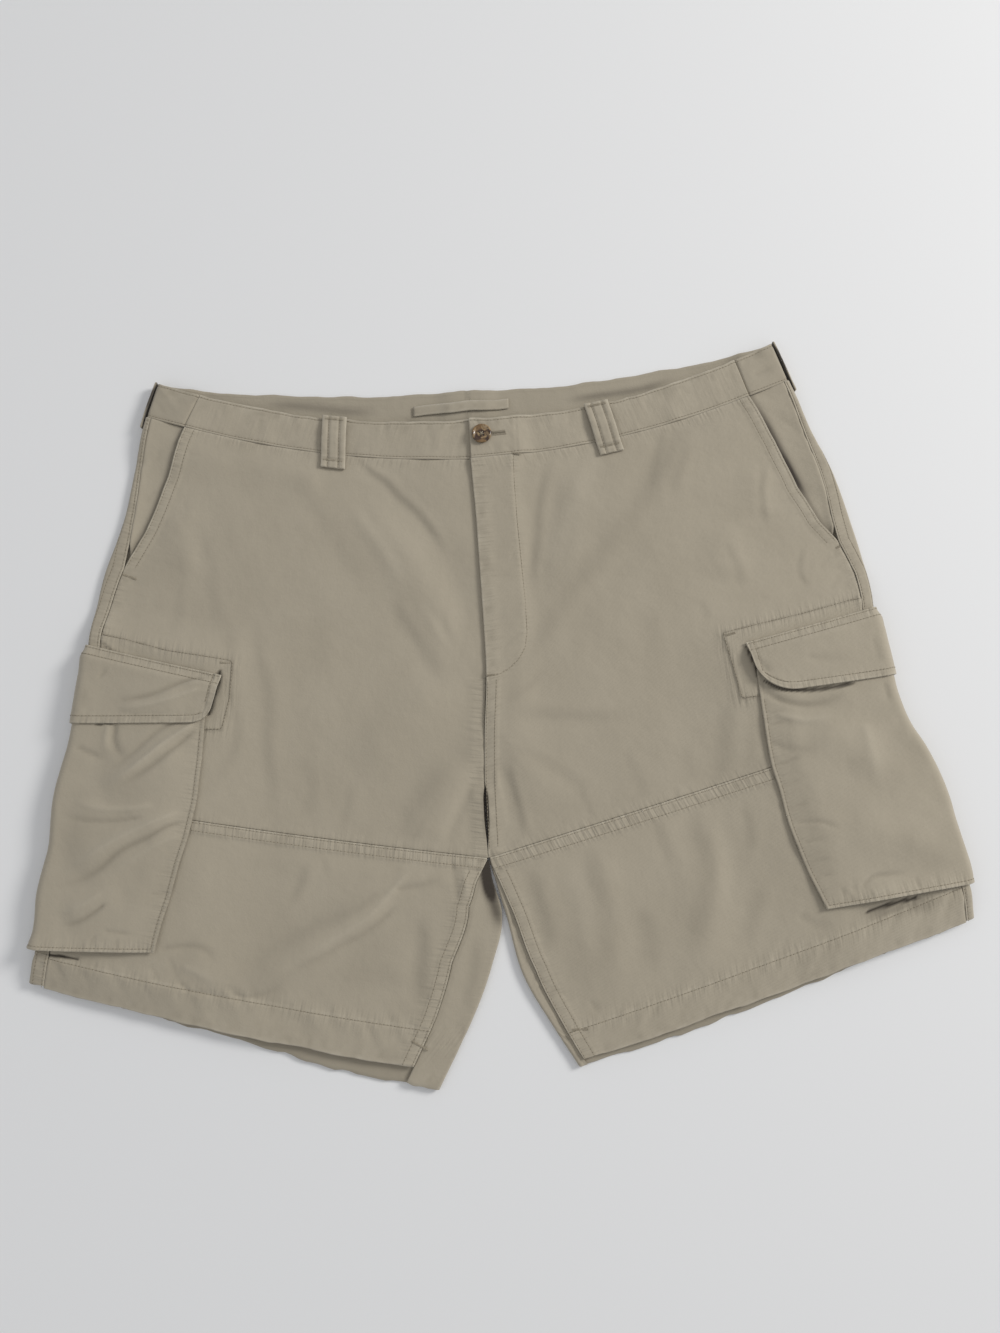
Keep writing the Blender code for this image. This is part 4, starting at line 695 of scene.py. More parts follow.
def keepClear(leg, drop, along, lift):   # no hollow reaches the wall of the layer on the other side
    sideX, sideY, stepX, stepY, length = leg.row(drop)
    inward = np.clip(np.abs(along), 0, length)
    top = leg.topHeight(drop, inward, sideX + stepX * inward, sideY + stepY * inward, length)
    room = top - leg.underHeight(drop, inward, length) - 2 * cut["panelWall"]
    return np.maximum(lift, -0.45 * np.maximum(room, 0.0))


def layDown(leg, drop, along, lift):   # what a pocket hides stands up nowhere
    lift = keepClear(leg, drop, along, lift)
    return lift - leg.underPocket(drop, along) * np.maximum(lift, 0.0)


# A sewn edge: a pressed plateau as wide as the allowance beneath it, rows of stitches that pull the cloth
# down, and puckers that run out from it
seamKinds = {
    "felled": {"plateau": 0.0112, "height": 0.00055, "rows": (0.0018, 0.0096), "rowDepth": 0.00036,
               "pucker": 0.00030, "wave": 0.0040, "reach": 0.0100, "edge": 0.0001},
    "slant": {"plateau": 0.0108, "height": 0.00050, "rows": (0.0019, 0.0092), "rowDepth": 0.00040,
              "pucker": 0.00042, "wave": 0.0052, "reach": 0.0110, "edge": 0.0002},
    "plain": {"plateau": 0.0, "height": 0.0, "rows": (), "rowDepth": 0.0,
              "pucker": 0.00026, "wave": 0.0050, "reach": 0.0080, "edge": -0.00045},
    "waist": {"plateau": 0.0, "height": 0.0, "rows": (), "rowDepth": 0.0,
              "pucker": 0.00042, "wave": 0.0085, "reach": 0.0130, "edge": -0.0001},
    "band": {"plateau": 0.0, "height": 0.0, "rows": (0.0024,), "rowDepth": 0.00036,
             "pucker": 0.00025, "wave": 0.0060, "reach": 0.0080, "edge": 0.0},
    "hem": {"plateau": 0.0292, "height": 0.00050, "rows": (0.0280,), "rowDepth": 0.00045,
            "pucker": 0.00025, "wave": 0.0070, "reach": 0.0400, "edge": 0.0},
    "pintuck": {"plateau": 0.0024, "height": 0.00020, "rows": (0.0036,), "rowDepth": 0.00030,
                "pucker": 0.00030, "wave": 0.0060, "reach": 0.0090, "edge": 0.0},
    "flapEdge": {"plateau": 0.0060, "height": 0.00045, "rows": (0.0066,), "rowDepth": 0.00040,
                 "pucker": 0.00025, "wave": 0.0055, "reach": 0.0100, "edge": 0.0003},
}


def seamRelief(kind, distance, arc, seed):
    one = seamKinds[kind]
    distance = np.maximum(distance, 0.0)
    relief = np.zeros(np.broadcast(distance, arc).shape)
    if one["height"]:
        relief = relief + one["height"] * (1 - ramp(distance, one["plateau"] - 0.0008, one["plateau"] + 0.0014))
    for row in one["rows"]:
        relief = relief - one["rowDepth"] * np.exp(-(((distance - row) / 0.0009) ** 2))
    relief = relief + one["edge"] * np.exp(-((distance / 0.0012) ** 2))
    waves = lumps(arc / one["wave"] + 0.12 * distance / one["wave"], distance / 0.02, seed)
    patchy = 0.65 + 0.5 * lumps(arc / 0.045, 0 * distance, seed + 50)
    return relief + one["pucker"] * patchy * waves * np.exp(-((distance / one["reach"]) ** 2))


def nearSeam(distance, reach=0.0075, inner=0.0):   # how strongly the finest puckers show at a distance from a seam
    return np.exp(-((np.maximum(np.abs(distance) - inner, 0) / reach) ** 2))


# A cut piece becomes a closed thin shell
rimShare = 0.55   # of the wall's thickness is left at its edges


def twoSided(name, outer, inner, uv, wearAndShading, material, puckers=None, innerPaintedShade=None):
    rows, columns = outer.shape[:2]
    outer, inner = outer.copy(), inner.copy()
    # the wall's edges are rounded over
    for edge in (np.s_[0, :], np.s_[-1, :], np.s_[:, 0], np.s_[:, -1]):
        middle = (outer[edge] + inner[edge]) / 2
        outer[edge] = middle + (outer[edge] - middle) * rimShare
        inner[edge] = middle + (inner[edge] - middle) * rimShare
    count = rows * columns
    index = np.arange(count).reshape(rows, columns)
    a, b, c, d = index[:-1, :-1], index[:-1, 1:], index[1:, 1:], index[1:, :-1]
    top = np.stack([a, b, c, d], axis=-1).reshape(-1, 4)
    under = top[:, ::-1] + count
    rim = np.array([*index[0, :-1], *index[:-1, -1], *index[-1, :0:-1], *index[:0:-1, 0]])
    following = np.roll(rim, -1)
    walls = np.stack([rim, rim + count, following + count, following], axis=-1)
    faces = np.concatenate([top, under, walls])
    points = np.concatenate([outer.reshape(-1, 3), inner.reshape(-1, 3)])
    points = points + np.array([shiftToFrame[0], shiftToFrame[1], 0.0])
    points[:, 2] = np.maximum(points[:, 2], 0.0)
    corners = points[faces]
    volume = sum(np.einsum("ij,ij->i", corners[:, 0], np.cross(corners[:, k], corners[:, k + 1])).sum()
                 for k in (1, 2))
    if volume < 0:
        faces = faces[:, ::-1]
    mesh = bpy.data.meshes.new(name)
    mesh.vertices.add(len(points))
    mesh.vertices.foreach_set("co", points.astype(np.float32).ravel())
    mesh.loops.add(faces.size)
    mesh.loops.foreach_set("vertex_index", faces.astype(np.int32).ravel())
    mesh.polygons.add(len(faces))
    mesh.polygons.foreach_set("loop_start", np.arange(0, faces.size, 4, dtype=np.int32))
    mesh.update(calc_edges=True)
    mesh.validate()
    mesh.polygons.foreach_set("use_smooth", np.ones(len(mesh.polygons), bool))
    both = np.concatenate([uv.reshape(-1, 2), uv.reshape(-1, 2)])
    layer = mesh.uv_layers.new(name="cut")
    loopVertex = np.zeros(len(mesh.loops), np.int32)
    mesh.loops.foreach_get("vertex_index", loopVertex)
    layer.data.foreach_set("uv", both[loopVertex].astype(np.float32).ravel())
    # one value a point: pale rubbed wear and painted highlight above zero, painted shade and dark seam lines below it;
    # the inside face takes its own painted shade
    wornAndLit = mesh.attributes.new("wearAndShading", "FLOAT", "POINT")
    innerPaintedShade = np.zeros(wearAndShading.shape) if innerPaintedShade is None else innerPaintedShade
    wornAndLit.data.foreach_set("value", np.concatenate([wearAndShading.ravel(), innerPaintedShade.ravel()]).astype(np.float32))
    pucker = np.zeros(wearAndShading.shape + (3,))
    for k, strength in enumerate(puckers or ()):   # across seams that run round the leg, then along it
        pucker[..., k] = np.clip(strength, 0, 1)
    gathers = mesh.attributes.new("puckers", "FLOAT_VECTOR", "POINT")
    gathers.data.foreach_set("vector", np.concatenate([pucker.reshape(-1, 3)] * 2).astype(np.float32).ravel())
    mesh.materials.append(material)
    made = bpy.data.objects.new(name, mesh)
    bpy.context.scene.collection.objects.link(made)
    return made


def cutPlace(along, drop):   # the texture follows the cut
    return np.stack([along + 0 * drop, 0 * along - drop], -1)


def clothSheet(name, node, restsOn, outer, inner, uv, wearAndShading, material, puckers=None, innerPaintedShade=None):
    made = twoSided(name, outer, inner, uv, np.clip(wearAndShading, -1, 1) + np.zeros(outer.shape[:2]), material, puckers,
                    innerPaintedShade)
    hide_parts(node)
    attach(made, "root")


# The widest of some runs, such as how far a sheet's cut runs round the leg, with no crease
def widest(values):
    return float(np.max(values))


tightRing = 0.0004   # the edges of a sheet round over within this


def spread(low, high, step, fine=()):   # places from low to high, closer together near the fine ones
    places = list(np.linspace(low, high, max(2, int(round((high - low) / step)) + 1)))
    for centre, reach, fineStep in fine:
        a, b = max(low, centre - reach), min(high, centre + reach)
        if b - a > fineStep / 2:
            places = [p for p in places if not a + fineStep / 3 < p < b - fineStep / 3]
            places += list(np.linspace(a, b, max(2, int(round((b - a) / fineStep)) + 1)))
    places = np.array(sorted(places + [low + tightRing, high - tightRing]))
    keep = np.concatenate([[True], np.diff(places) > 1e-4])
    places = places[keep]
    places[-1] = high
    return places


def acrossPanel(start, end, step, nearStart, nearEnd, fineStep=0.0012):
    # a row of alongs: fixed steps near both edges, and shares of what is left between them
    first = np.linspace(0, nearStart, max(2, int(round(nearStart / fineStep)) + 1))
    last = np.linspace(0, nearEnd, max(2, int(round(nearEnd / fineStep)) + 1))
    first, last = np.insert(first, 1, tightRing), np.insert(last, 1, tightRing)
    room = float(np.median(end - start)) - nearStart - nearEnd
    count = max(2, int(round(room / step)))
    between = np.linspace(0, 1, count + 1)[1:-1]
    tight = np.minimum(1.0, (end - start) / (nearStart + nearEnd + 0.004))
    head = start + first[None, :] * tight
    tail = end - last[None, ::-1] * tight
    inside = head[:, -1:] + (tail[:, :1] - head[:, -1:]) * between[None, :]
    return np.concatenate([head, inside, tail], axis=1)


# Materials
twillLook = {
    # the third colour is pale, for rubbed edges and for painted highlight on crease ridges
    "light": (0.408, 0.361, 0.279), "dark": (0.352, 0.309, 0.235), "wornAndLit": (0.520, 0.472, 0.378),
    # the first colour here is near black: painted shade in creases, gaps, slits, hollows and under parts, and dark
    # seam lines
    "paintedShadeAndDarkSeams": (0.040, 0.031, 0.022), "weavePitch": 0.0011, "weaveDepth": 0.00012, "sheen": 0.22,
    "roughness": 0.92, "puckerDepth": 0.0013,
}
hornLook = {"pale": (0.34, 0.235, 0.120), "brown": (0.040, 0.017, 0.008), "golden": (0.215, 0.125, 0.048)}
# the near-black thread colour is painted shade of the needle holes between the stitches
threadLook = {"colour": (0.420, 0.370, 0.280), "shadow": (0.270, 0.230, 0.168), "sunk": (0.105, 0.084, 0.060)}


def setValues(node, **values):   # a node's own settings, or else its inputs
    for key, value in values.items():
        if hasattr(node, key):
            setattr(node, key, value)
        else:
            node.inputs[key.replace("_", " ")].default_value = value


def nodesOf(name):
    made = bpy.data.materials.new(name)
    made.use_nodes = True
    tree = made.node_tree
    shader = tree.nodes["Principled BSDF"]

    def add(kind, **values):
        node = tree.nodes.new("ShaderNode" + kind)
        setValues(node, **values)
        return node

    def link(source, target):
        tree.links.new(source, target)

    return made, shader, add, link


def mixColour(add, link, factor, first, second, blend="MIX"):
    node = add("Mix", data_type="RGBA", blend_type=blend)
    for socket, value in ((node.inputs[0], factor), (node.inputs[6], first), (node.inputs[7], second)):
        if isinstance(value, bpy.types.NodeSocket):
            link(value, socket)
        else:
            socket.default_value = value if isinstance(value, float) else (*value, 1.0)
    return node.outputs[2]


def twillMaterial(name, look, tone=1.0):
    made, shader, add, link = nodesOf(name)
    place = add("TexCoord")
    uv = add("UVMap", uv_map="cut")
    wide = add("TexNoise", Scale=17.0, Detail=3.0, Roughness=0.55)
    link(place.outputs["Object"], wide.inputs["Vector"])
    fine = add("TexNoise", Scale=210.0, Detail=3.0, Roughness=0.6)
    link(place.outputs["Object"], fine.inputs["Vector"])
    turned = add("Mapping", Rotation=(0, 0, math.radians(58)))
    link(uv.outputs["UV"], turned.inputs["Vector"])
    weave = add("TexWave", wave_type="BANDS", bands_direction="X", Scale=0.314 / look["weavePitch"],
                Distortion=1.3, Detail=1.0, Detail_Scale=2.2)
    link(turned.outputs["Vector"], weave.inputs["Vector"])
    yarn = add("TexNoise", Scale=1.0, Detail=1.0)
    stretched = add("Mapping", Scale=(2600, 420, 1))
    link(uv.outputs["UV"], stretched.inputs["Vector"])
    link(stretched.outputs["Vector"], yarn.inputs["Vector"])
    light = tuple(c * tone for c in look["light"])
    dark = tuple(c * tone for c in look["dark"])
    spreadOut = add("MapRange", From_Min=0.30, From_Max=0.72)
    link(wide.outputs["Fac"], spreadOut.inputs["Value"])
    base = mixColour(add, link, spreadOut.outputs["Result"], dark, light)
    speck = mixColour(add, link, fine.outputs["Fac"], dark, light)
    base = mixColour(add, link, 0.38, base, speck)
    ridged = mixColour(add, link, weave.outputs["Fac"], tuple(c * 0.93 for c in dark), light)
    base = mixColour(add, link, 0.16, base, ridged)
    slub = mixColour(add, link, yarn.outputs["Fac"], dark, light)
    base = mixColour(add, link, 0.14, base, slub)
    # the attribute pales the cloth where it is above zero, for rubbed wear and painted highlight
    wearAndShading = add("Attribute", attribute_name="wearAndShading")
    raised = add("MapRange")
    link(wearAndShading.outputs["Fac"], raised.inputs["Value"])
    base = mixColour(add, link, raised.outputs["Result"], base, tuple(c * tone for c in look["wornAndLit"]))
    # and darkens it towards near black where it is below zero, as painted shade and dark seam lines
    sunk = add("MapRange", From_Min=0.0, From_Max=-1.0)
    link(wearAndShading.outputs["Fac"], sunk.inputs["Value"])
    base = mixColour(add, link, sunk.outputs["Result"], base, look["paintedShadeAndDarkSeams"])
    link(base, shader.inputs["Base Color"])
    setValues(shader, Roughness=look["roughness"], Sheen_Weight=look["sheen"], Sheen_Roughness=0.6,
              Specular_IOR_Level=0.25)
    crumple = add("TexNoise", Scale=95.0, Detail=4.0, Roughness=0.62)
    link(place.outputs["Object"], crumple.inputs["Vector"])
    first = add("Bump", Strength=0.55, Distance=0.0011)
    link(crumple.outputs["Fac"], first.inputs["Height"])
    second = add("Bump", Strength=0.6, Distance=look["weaveDepth"])
    link(weave.outputs["Fac"], second.inputs["Height"])
    link(first.outputs["Normal"], second.inputs["Normal"])
    third = add("Bump", Strength=0.5, Distance=0.00010)
    link(yarn.outputs["Fac"], third.inputs["Height"])
    link(second.outputs["Normal"], third.inputs["Normal"])
    # fine puckers, which run out from each seam at right angles to it
    gathers = add("Attribute", attribute_name="puckers")
    both = add("SeparateXYZ")
    link(gathers.outputs["Vector"], both.inputs[0])
    normal = third.outputs["Normal"]
    for socket, scale in ((0, (330, 36, 1)), (1, (36, 330, 1))):
        drawnOut = add("Mapping", Scale=scale)
        link(uv.outputs["UV"], drawnOut.inputs["Vector"])
        ruck = add("TexNoise", Scale=1.0, Detail=1.0, Roughness=0.5)
        link(drawnOut.outputs["Vector"], ruck.inputs["Vector"])
        held = add("Math", operation="MULTIPLY")
        link(ruck.outputs["Fac"], held.inputs[0])
        link(both.outputs[socket], held.inputs[1])
        bump = add("Bump", Strength=1.0, Distance=look["puckerDepth"])
        link(held.outputs[0], bump.inputs["Height"])
        link(normal, bump.inputs["Normal"])
        normal = bump.outputs["Normal"]
    link(normal, shader.inputs["Normal"])
    return made


def threadMaterial(name, colour, shadow):
    made, shader, add, link = nodesOf(name)
    place = add("TexCoord")
    twist = add("TexNoise", Scale=900.0, Detail=1.0)
    link(place.outputs["Object"], twist.inputs["Vector"])
    link(mixColour(add, link, twist.outputs["Fac"], shadow, colour),
         shader.inputs["Base Color"])
    setValues(shader, Roughness=0.62)
    bump = add("Bump", Strength=0.5, Distance=0.0001)
    link(twist.outputs["Fac"], bump.inputs["Height"])
    link(bump.outputs["Normal"], shader.inputs["Normal"])
    return made


def hornMaterial():
    made, shader, add, link = nodesOf("mottledHorn")
    place = add("TexCoord")
    cloud = add("TexNoise", Scale=95.0, Detail=1.0, Distortion=1.0)
    link(place.outputs["Object"], cloud.inputs["Vector"])
    streak = add("TexNoise", Scale=170.0, Detail=1.0, Distortion=1.8)
    link(place.outputs["Object"], streak.inputs["Vector"])
    cloudRamp = add("ValToRGB")
    cloudRamp.color_ramp.elements[0].position, cloudRamp.color_ramp.elements[1].position = 0.42, 0.62
    cloudRamp.color_ramp.elements[0].color = (*hornLook["brown"], 1)
    cloudRamp.color_ramp.elements[1].color = (*hornLook["golden"], 1)
    link(cloud.outputs["Fac"], cloudRamp.inputs["Fac"])
    pale = add("MapRange", From_Min=0.48, From_Max=0.75)
    link(streak.outputs["Fac"], pale.inputs["Value"])
    base = mixColour(add, link, pale.outputs["Result"], cloudRamp.outputs["Color"], hornLook["pale"])
    link(base, shader.inputs["Base Color"])
    setValues(shader, Roughness=0.28, Coat_Weight=0.35)
    return made


twill = twillMaterial("khakiTwill", twillLook)
twillInside = twillMaterial("khakiTwillInside", twillLook, 0.94)
thread = threadMaterial("sewingThread", threadLook["colour"], threadLook["shadow"])
# dark beads between the stitches are painted shade of the needle holes
holeShadeThread = threadMaterial("paintedHoleShade", threadLook["sunk"], threadLook["shadow"])
horn = hornMaterial()
print("materials made")


# Fronts
frontLook = {"step": 0.0021, "flySurround": 0.0007, "centreOpens": 0.0024, "rightOpens": 0.0016,
             "slitStarts": (0.288, 0.304), "slitEnds": (0.318, 0.350)}
jLine = tuple(onCloth(*p) for p in (
    (513, 422), (513, 450), (514, 480), (517, 520), (521, 560), (525, 600), (527, 632), (525, 648), (519, 659),
    (510, 668), (500, 674), (487, 677)))
patchCorners = {   # the reinforcement behind each flap's front end, in plan
    "right": tuple(onCloth(*p) for p in ((93, 633), (130, 641), (170, 652), (235, 662), (232, 700), (224, 731),
                                         (206, 731))),
    "left": tuple(onCloth(*p) for p in ((876, 597), (850, 601), (800, 615), (721, 634), (731, 668), (740, 700),
                                        (760, 697))),
}


def toLine(x, y, line):   # distance from a broken line, and how far along it the nearest point is
    best, where = np.full(np.shape(x), 9.0), np.zeros(np.shape(x))
    run = 0.0
    for (aX, aY), (bX, bY) in zip(line, line[1:]):
        dX, dY = bX - aX, bY - aY
        length = math.hypot(dX, dY)
        t = np.clip(((x - aX) * dX + (y - aY) * dY) / length**2, 0, 1)
        gap = np.hypot(x - aX - t * dX, y - aY - t * dY)
        where = np.where(gap < best, run + t * length, where)
        best = np.minimum(gap, best)
        run += length
    return best, where


def insideOf(x, y, corners):
    inside = np.zeros(np.shape(x), bool)
    for (aX, aY), (bX, bY) in zip(corners, corners[1:] + corners[:1]):
        crosses = ((aY > y) != (bY > y)) & (x < (bX - aX) * (y - aY) / (bY - aY + 1e-12) + aX)
        inside = inside ^ crosses
    return inside


def flyLift(leg, drop, x, underlap, lift):
    if leg.name == "right":
        return np.zeros(np.broadcast(drop, x).shape)
    beyond = x - leg.innerX(drop) - underlap
    aboveEnd = 1 - ramp(drop - cut["flyLength"], *laid["flyEndStep"])
    return lift * (1 - ramp(beyond, *laid["lapStep"])) * aboveEnd


def frontPoint(leg, drop, along, lift=0.0):
    drop, along, lift = np.broadcast_arrays(drop, along, lift)
    points = leg.point(drop, along, lift)
    if leg.name == "right":
        other = legs["left"]
        beyond = points[..., 0] > leg.innerX(drop)
        over = other.point(drop, np.maximum(other.alongAt(drop, points[..., 0]), 0.0), lift)
        points = np.where((beyond & (drop < cut["frontRise"]))[..., None], over, points)
    return points


def slitOpens(drop):   # the dark slit just above the crotch
    return ramp(drop, *frontLook["slitStarts"]) * (1 - ramp(drop, *frontLook["slitEnds"]))


def frontEdge(leg, drop):
    edge = leg.alongAt(drop, leg.innerX(drop)) - cut["seamShown"] / 2
    if leg.name == "right":
        edge = edge + cut["flyUnderlap"] * (1 - ramp(drop, cut["flyLength"] - 0.030, cut["flyLength"]))
        return edge - frontLook["rightOpens"] * slitOpens(drop)
    return edge - frontLook["centreOpens"] * slitOpens(drop)


def frontLift(leg, drop, along):
    points = frontPoint(leg, drop, along)
    x, y = points[..., 0], points[..., 1]
    start = leg.slant(drop) + cut["seamShown"] / 2
    lift = flyLift(leg, drop, x, cut["flyUnderlap"], cut["panelWall"] + 2 * cut["seamGap"])
    bandLap = flyLift(leg, drop, x, cut["bandUnderlap"], cut["bandWall"] + 2 * cut["seamGap"])
    lift = lift + (bandLap - lift) * (1 - ramp(drop, 0.0, 0.022))
    lift = lift + bodyRelief(leg, drop, along, x, y, "front") * (1 - 0.6 * ramp(-drop, -0.012, 0.0))
    fromSlant = along - start
    openPart = 1 - ramp(drop, slantEnds[leg.name] - 0.004, slantEnds[leg.name] + 0.008)
    lift = lift + openPart * seamRelief("slant", fromSlant, drop, 21)
    lift = lift + (1 - openPart) * seamRelief("plain", fromSlant, drop, 22)
    lift = lift + seamRelief("waist", drop, along, 23)
    lift = lift + seamRelief("plain", cut["frontRise"] - drop, along, 24)
    middle = leg.innerX(drop)
    belowFly = ramp(drop, cut["flyLength"] - 0.008, cut["flyLength"] - 0.002)
    if leg.name == "left":
        lift = lift + belowFly * (1 - slitOpens(drop)) * seamRelief("felled", x - middle, drop, 25)
        gap, _ = toLine(x, y, jLine)
        placket = ((drop < cut["flyLength"] + 0.004) & insideOf(x, y, jLine + ((0.002, jLine[-1][1]), (0.002, 0.395))))
        signed = np.where(placket, gap, -gap)
        lift = lift + frontLook["flySurround"] * ramp(signed, -0.0008, 0.0012)
        lift = lift - 0.0003 * np.exp(-((gap / 0.0011) ** 2)) * (drop < cut["flyLength"] + 0.01)
        lift = lift + 0.00025 * lumps(drop / 0.006, x / 0.02, 26) * np.exp(-((gap / 0.007) ** 2)) * (x < 0.06)
    else:
        lift = lift + belowFly * seamRelief("plain", middle - x, drop, 27) * (x < middle)
    slitLip = slitOpens(drop) * np.exp(-(((x - middle) / 0.010) ** 2))
    lift = lift + 0.0016 * slitLip
    corners = patchCorners[leg.name]
    gap, where = toLine(x, y, corners)
    signed = np.where(insideOf(x, y, corners), gap, -gap)
    shows = 1 - leg.underPocket(drop, along)
    lift = lift + 0.0008 * ramp(signed, -0.0006, 0.0008) * shows
    lift = lift - 0.00035 * np.exp(-(((signed - 0.0022) / 0.0010) ** 2)) * shows
    lift = lift + 0.00022 * lumps(where / 0.005, signed / 0.02, 28) * np.exp(-((gap / 0.006) ** 2))
    return layDown(leg, drop, along, lift)


def frontOuter(leg, drop, along):
    return frontPoint(leg, drop, along, frontLift(leg, drop, along))


def edgeWear(distance, arc, seed, strength=0.5):   # rubbed pale just at the edge, with a random light and dark mottle near it
    rub = strength * np.exp(-((distance / 0.0016) ** 2)) * (0.6 + 0.4 * lumps(arc / 0.006, 0, seed))
    mottle = 0.30 * strength * lumps(arc / 0.0042, distance / 0.006, seed + 1) * np.exp(-((distance / 0.011) ** 2))
    return rub + mottle


def makeFront(leg):
    rise = cut["frontRise"]
    drop = spread(cut["seamShown"] / 2, rise - cut["seamShown"] / 2, frontLook["step"],
                  ((0.0, 0.014, 0.0013), (rise, 0.013, 0.0012)))[:, None]
    start, end = leg.slant(drop) + cut["seamShown"] / 2, frontEdge(leg, drop)
    nearEnd = 0.030 if leg.name == "right" else 0.014
    along = acrossPanel(start, end, frontLook["step"], 0.0140, nearEnd, 0.0013)
    lift = frontLift(leg, drop, along)
    outer = frontPoint(leg, drop, along, lift)
    inner = frontPoint(leg, drop, along, lift - cut["panelWall"])
    x = outer[..., 0]
    wearAndShading = edgeWear(along - start, drop, 31) + edgeWear(drop + 0 * along, along, 32, 0.3)
    # the drawn creases add painted shade in troughs and gaps and painted highlight on ridges
    wearAndShading = wearAndShading + edgeWear(rise - drop + 0 * along, along, 33, 0.2) + drawn("front", x, outer[..., 1])[1]
    middle = leg.innerX(drop)
    jGap, _ = toLine(x, outer[..., 1], jLine)
    fly = leg.name == "left"
    downward = nearSeam(along - start) + nearSeam(x - middle, 0.006, 0.008) * (fly or drop > cut["flyLength"])
    downward = downward + (0.8 * nearSeam(jGap, 0.005) if fly else 0)
    patchGap, _ = toLine(x, outer[..., 1], patchCorners[leg.name] + patchCorners[leg.name][:1])
    wearAndShading = wearAndShading - 0.22 * np.exp(-((patchGap / 0.0011) ** 2)) * (1 - leg.underPocket(drop, along))
    around = 0.6 * nearSeam(drop, 0.010) + 0.5 * nearSeam(rise - drop, 0.007) + 0.9 * nearSeam(patchGap, 0.007)
    if leg.name == "left":
        wearAndShading = wearAndShading + edgeWear(x - middle, drop, 34, 0.5)
    # the slit's edges are painted near black, as the shade inside the slit
    slit = slitOpens(drop) * np.exp(-(((x - middle) / 0.0022) ** 2))
    wearAndShading = wearAndShading * (1 - slit) - 0.8 * slit
    name = leg.piece("front")
    clothSheet(name, "front_" + leg.name, [leg.piece("back")], outer, inner,
               cutPlace(along, drop), wearAndShading, twill, (around, downward))


def hemWallAt(drop):
    top = cut["hemDrop"] - cut["hemHeight"]
    return cut["panelWall"] + (cut["hemWall"] - cut["panelWall"]) * ramp(drop, top - 0.003, top)


def lowerEnds(leg, drop):
    start = leg.sideSeam(drop) + cut["seamShown"] / 2
    end = leg.alongAt(drop, leg.innerX(drop)) - leg.inseam(drop) - cut["seamShown"] / 2
    return start, end


def lowerLift(leg, drop, along):
    points = leg.point(drop, along)
    start, end = lowerEnds(leg, drop)
    lift = bodyRelief(leg, drop, along, points[..., 0], points[..., 1], "lower")
    lift = lift + seamRelief("felled", drop - cut["frontRise"], along, 41)
    lift = lift + seamRelief("plain", along - start, drop, 42)
    belowCross = ramp(drop, cut["frontRise"] + 0.012, cut["frontRise"] + 0.020)
    lift = lift + seamRelief("felled", end - along, drop, 43) * belowCross
    fromHem = cut["hemDrop"] - drop
    lift = lift + seamRelief("hem", fromHem, along, 44)
    roping = lumps((along + 0.7 * fromHem) / 0.0075, fromHem / 0.02, 45)
    lift = lift + 0.00075 * roping * np.exp(-(((fromHem - 0.022) / 0.015) ** 2))
    return layDown(leg, drop, along, lift)


def lowerOuter(leg, drop, along):
    return leg.point(drop, along, lowerLift(leg, drop, along))


def edgeWave(along, seed, wave=0.017):   # how an edge wanders as it lies
    return lumps(along / wave, 0 * along, seed) + 0.4 * lumps(along / (0.37 * wave), 0 * along, seed + 1)


def makeLowerFront(leg):
    rise, hem = cut["frontRise"], cut["hemDrop"]
    drop = spread(rise + cut["seamShown"] / 2, hem, frontLook["step"],
                  ((rise, 0.014, 0.0012), (hem - 0.0285, 0.004, 0.0011), (hem, 0.002, 0.001)))[:, None]
    start, end = lowerEnds(leg, drop)
    along = acrossPanel(start, end, frontLook["step"], 0.010, 0.0135, 0.0012)
    drop = drop + 0.0008 * edgeWave(along, 46) * ramp(drop, hem - 0.014, hem)
    lift = lowerLift(leg, drop, along)
    outer = leg.point(drop, along, lift)
    inner = leg.point(drop, along, lift - hemWallAt(drop))
    fine = 0 * along
    around = nearSeam(drop - rise + fine, 0.004, 0.009) + 0.7 * nearSeam(hem - 0.028 - drop + fine, 0.009)
    downward = nearSeam(end - along, 0.008, 0.009)
    wearAndShading = edgeWear(drop - rise + 0 * along, along, 51, 0.55) + edgeWear(end - along, drop, 52, 0.4)
    # the drawn creases add painted shade, painted shadow in the gaps under the pockets, and painted highlight on
    # ridges
    wearAndShading = wearAndShading + drawn("lower", outer[..., 0], outer[..., 1])[1]
    wearAndShading = wearAndShading + edgeWear(np.abs(hem - 0.0292 - drop) + 0 * along, along, 53, 0.22)
    wearAndShading = wearAndShading + edgeWear(hem - drop + 0 * along, along, 54, 0.45)
    name = leg.piece("lowerFront")
    clothSheet(name, "lower_front_" + leg.name, [leg.piece("back")],
               outer, inner,
               cutPlace(along, drop), wearAndShading, twill, (around, downward))


for one in legs.values():
    makeFront(one)
    makeLowerFront(one)
print("fronts made")


# Backs, which wrap over both folds
backLook = {"rowStep": 0.0032, "sideReach": 0.210}


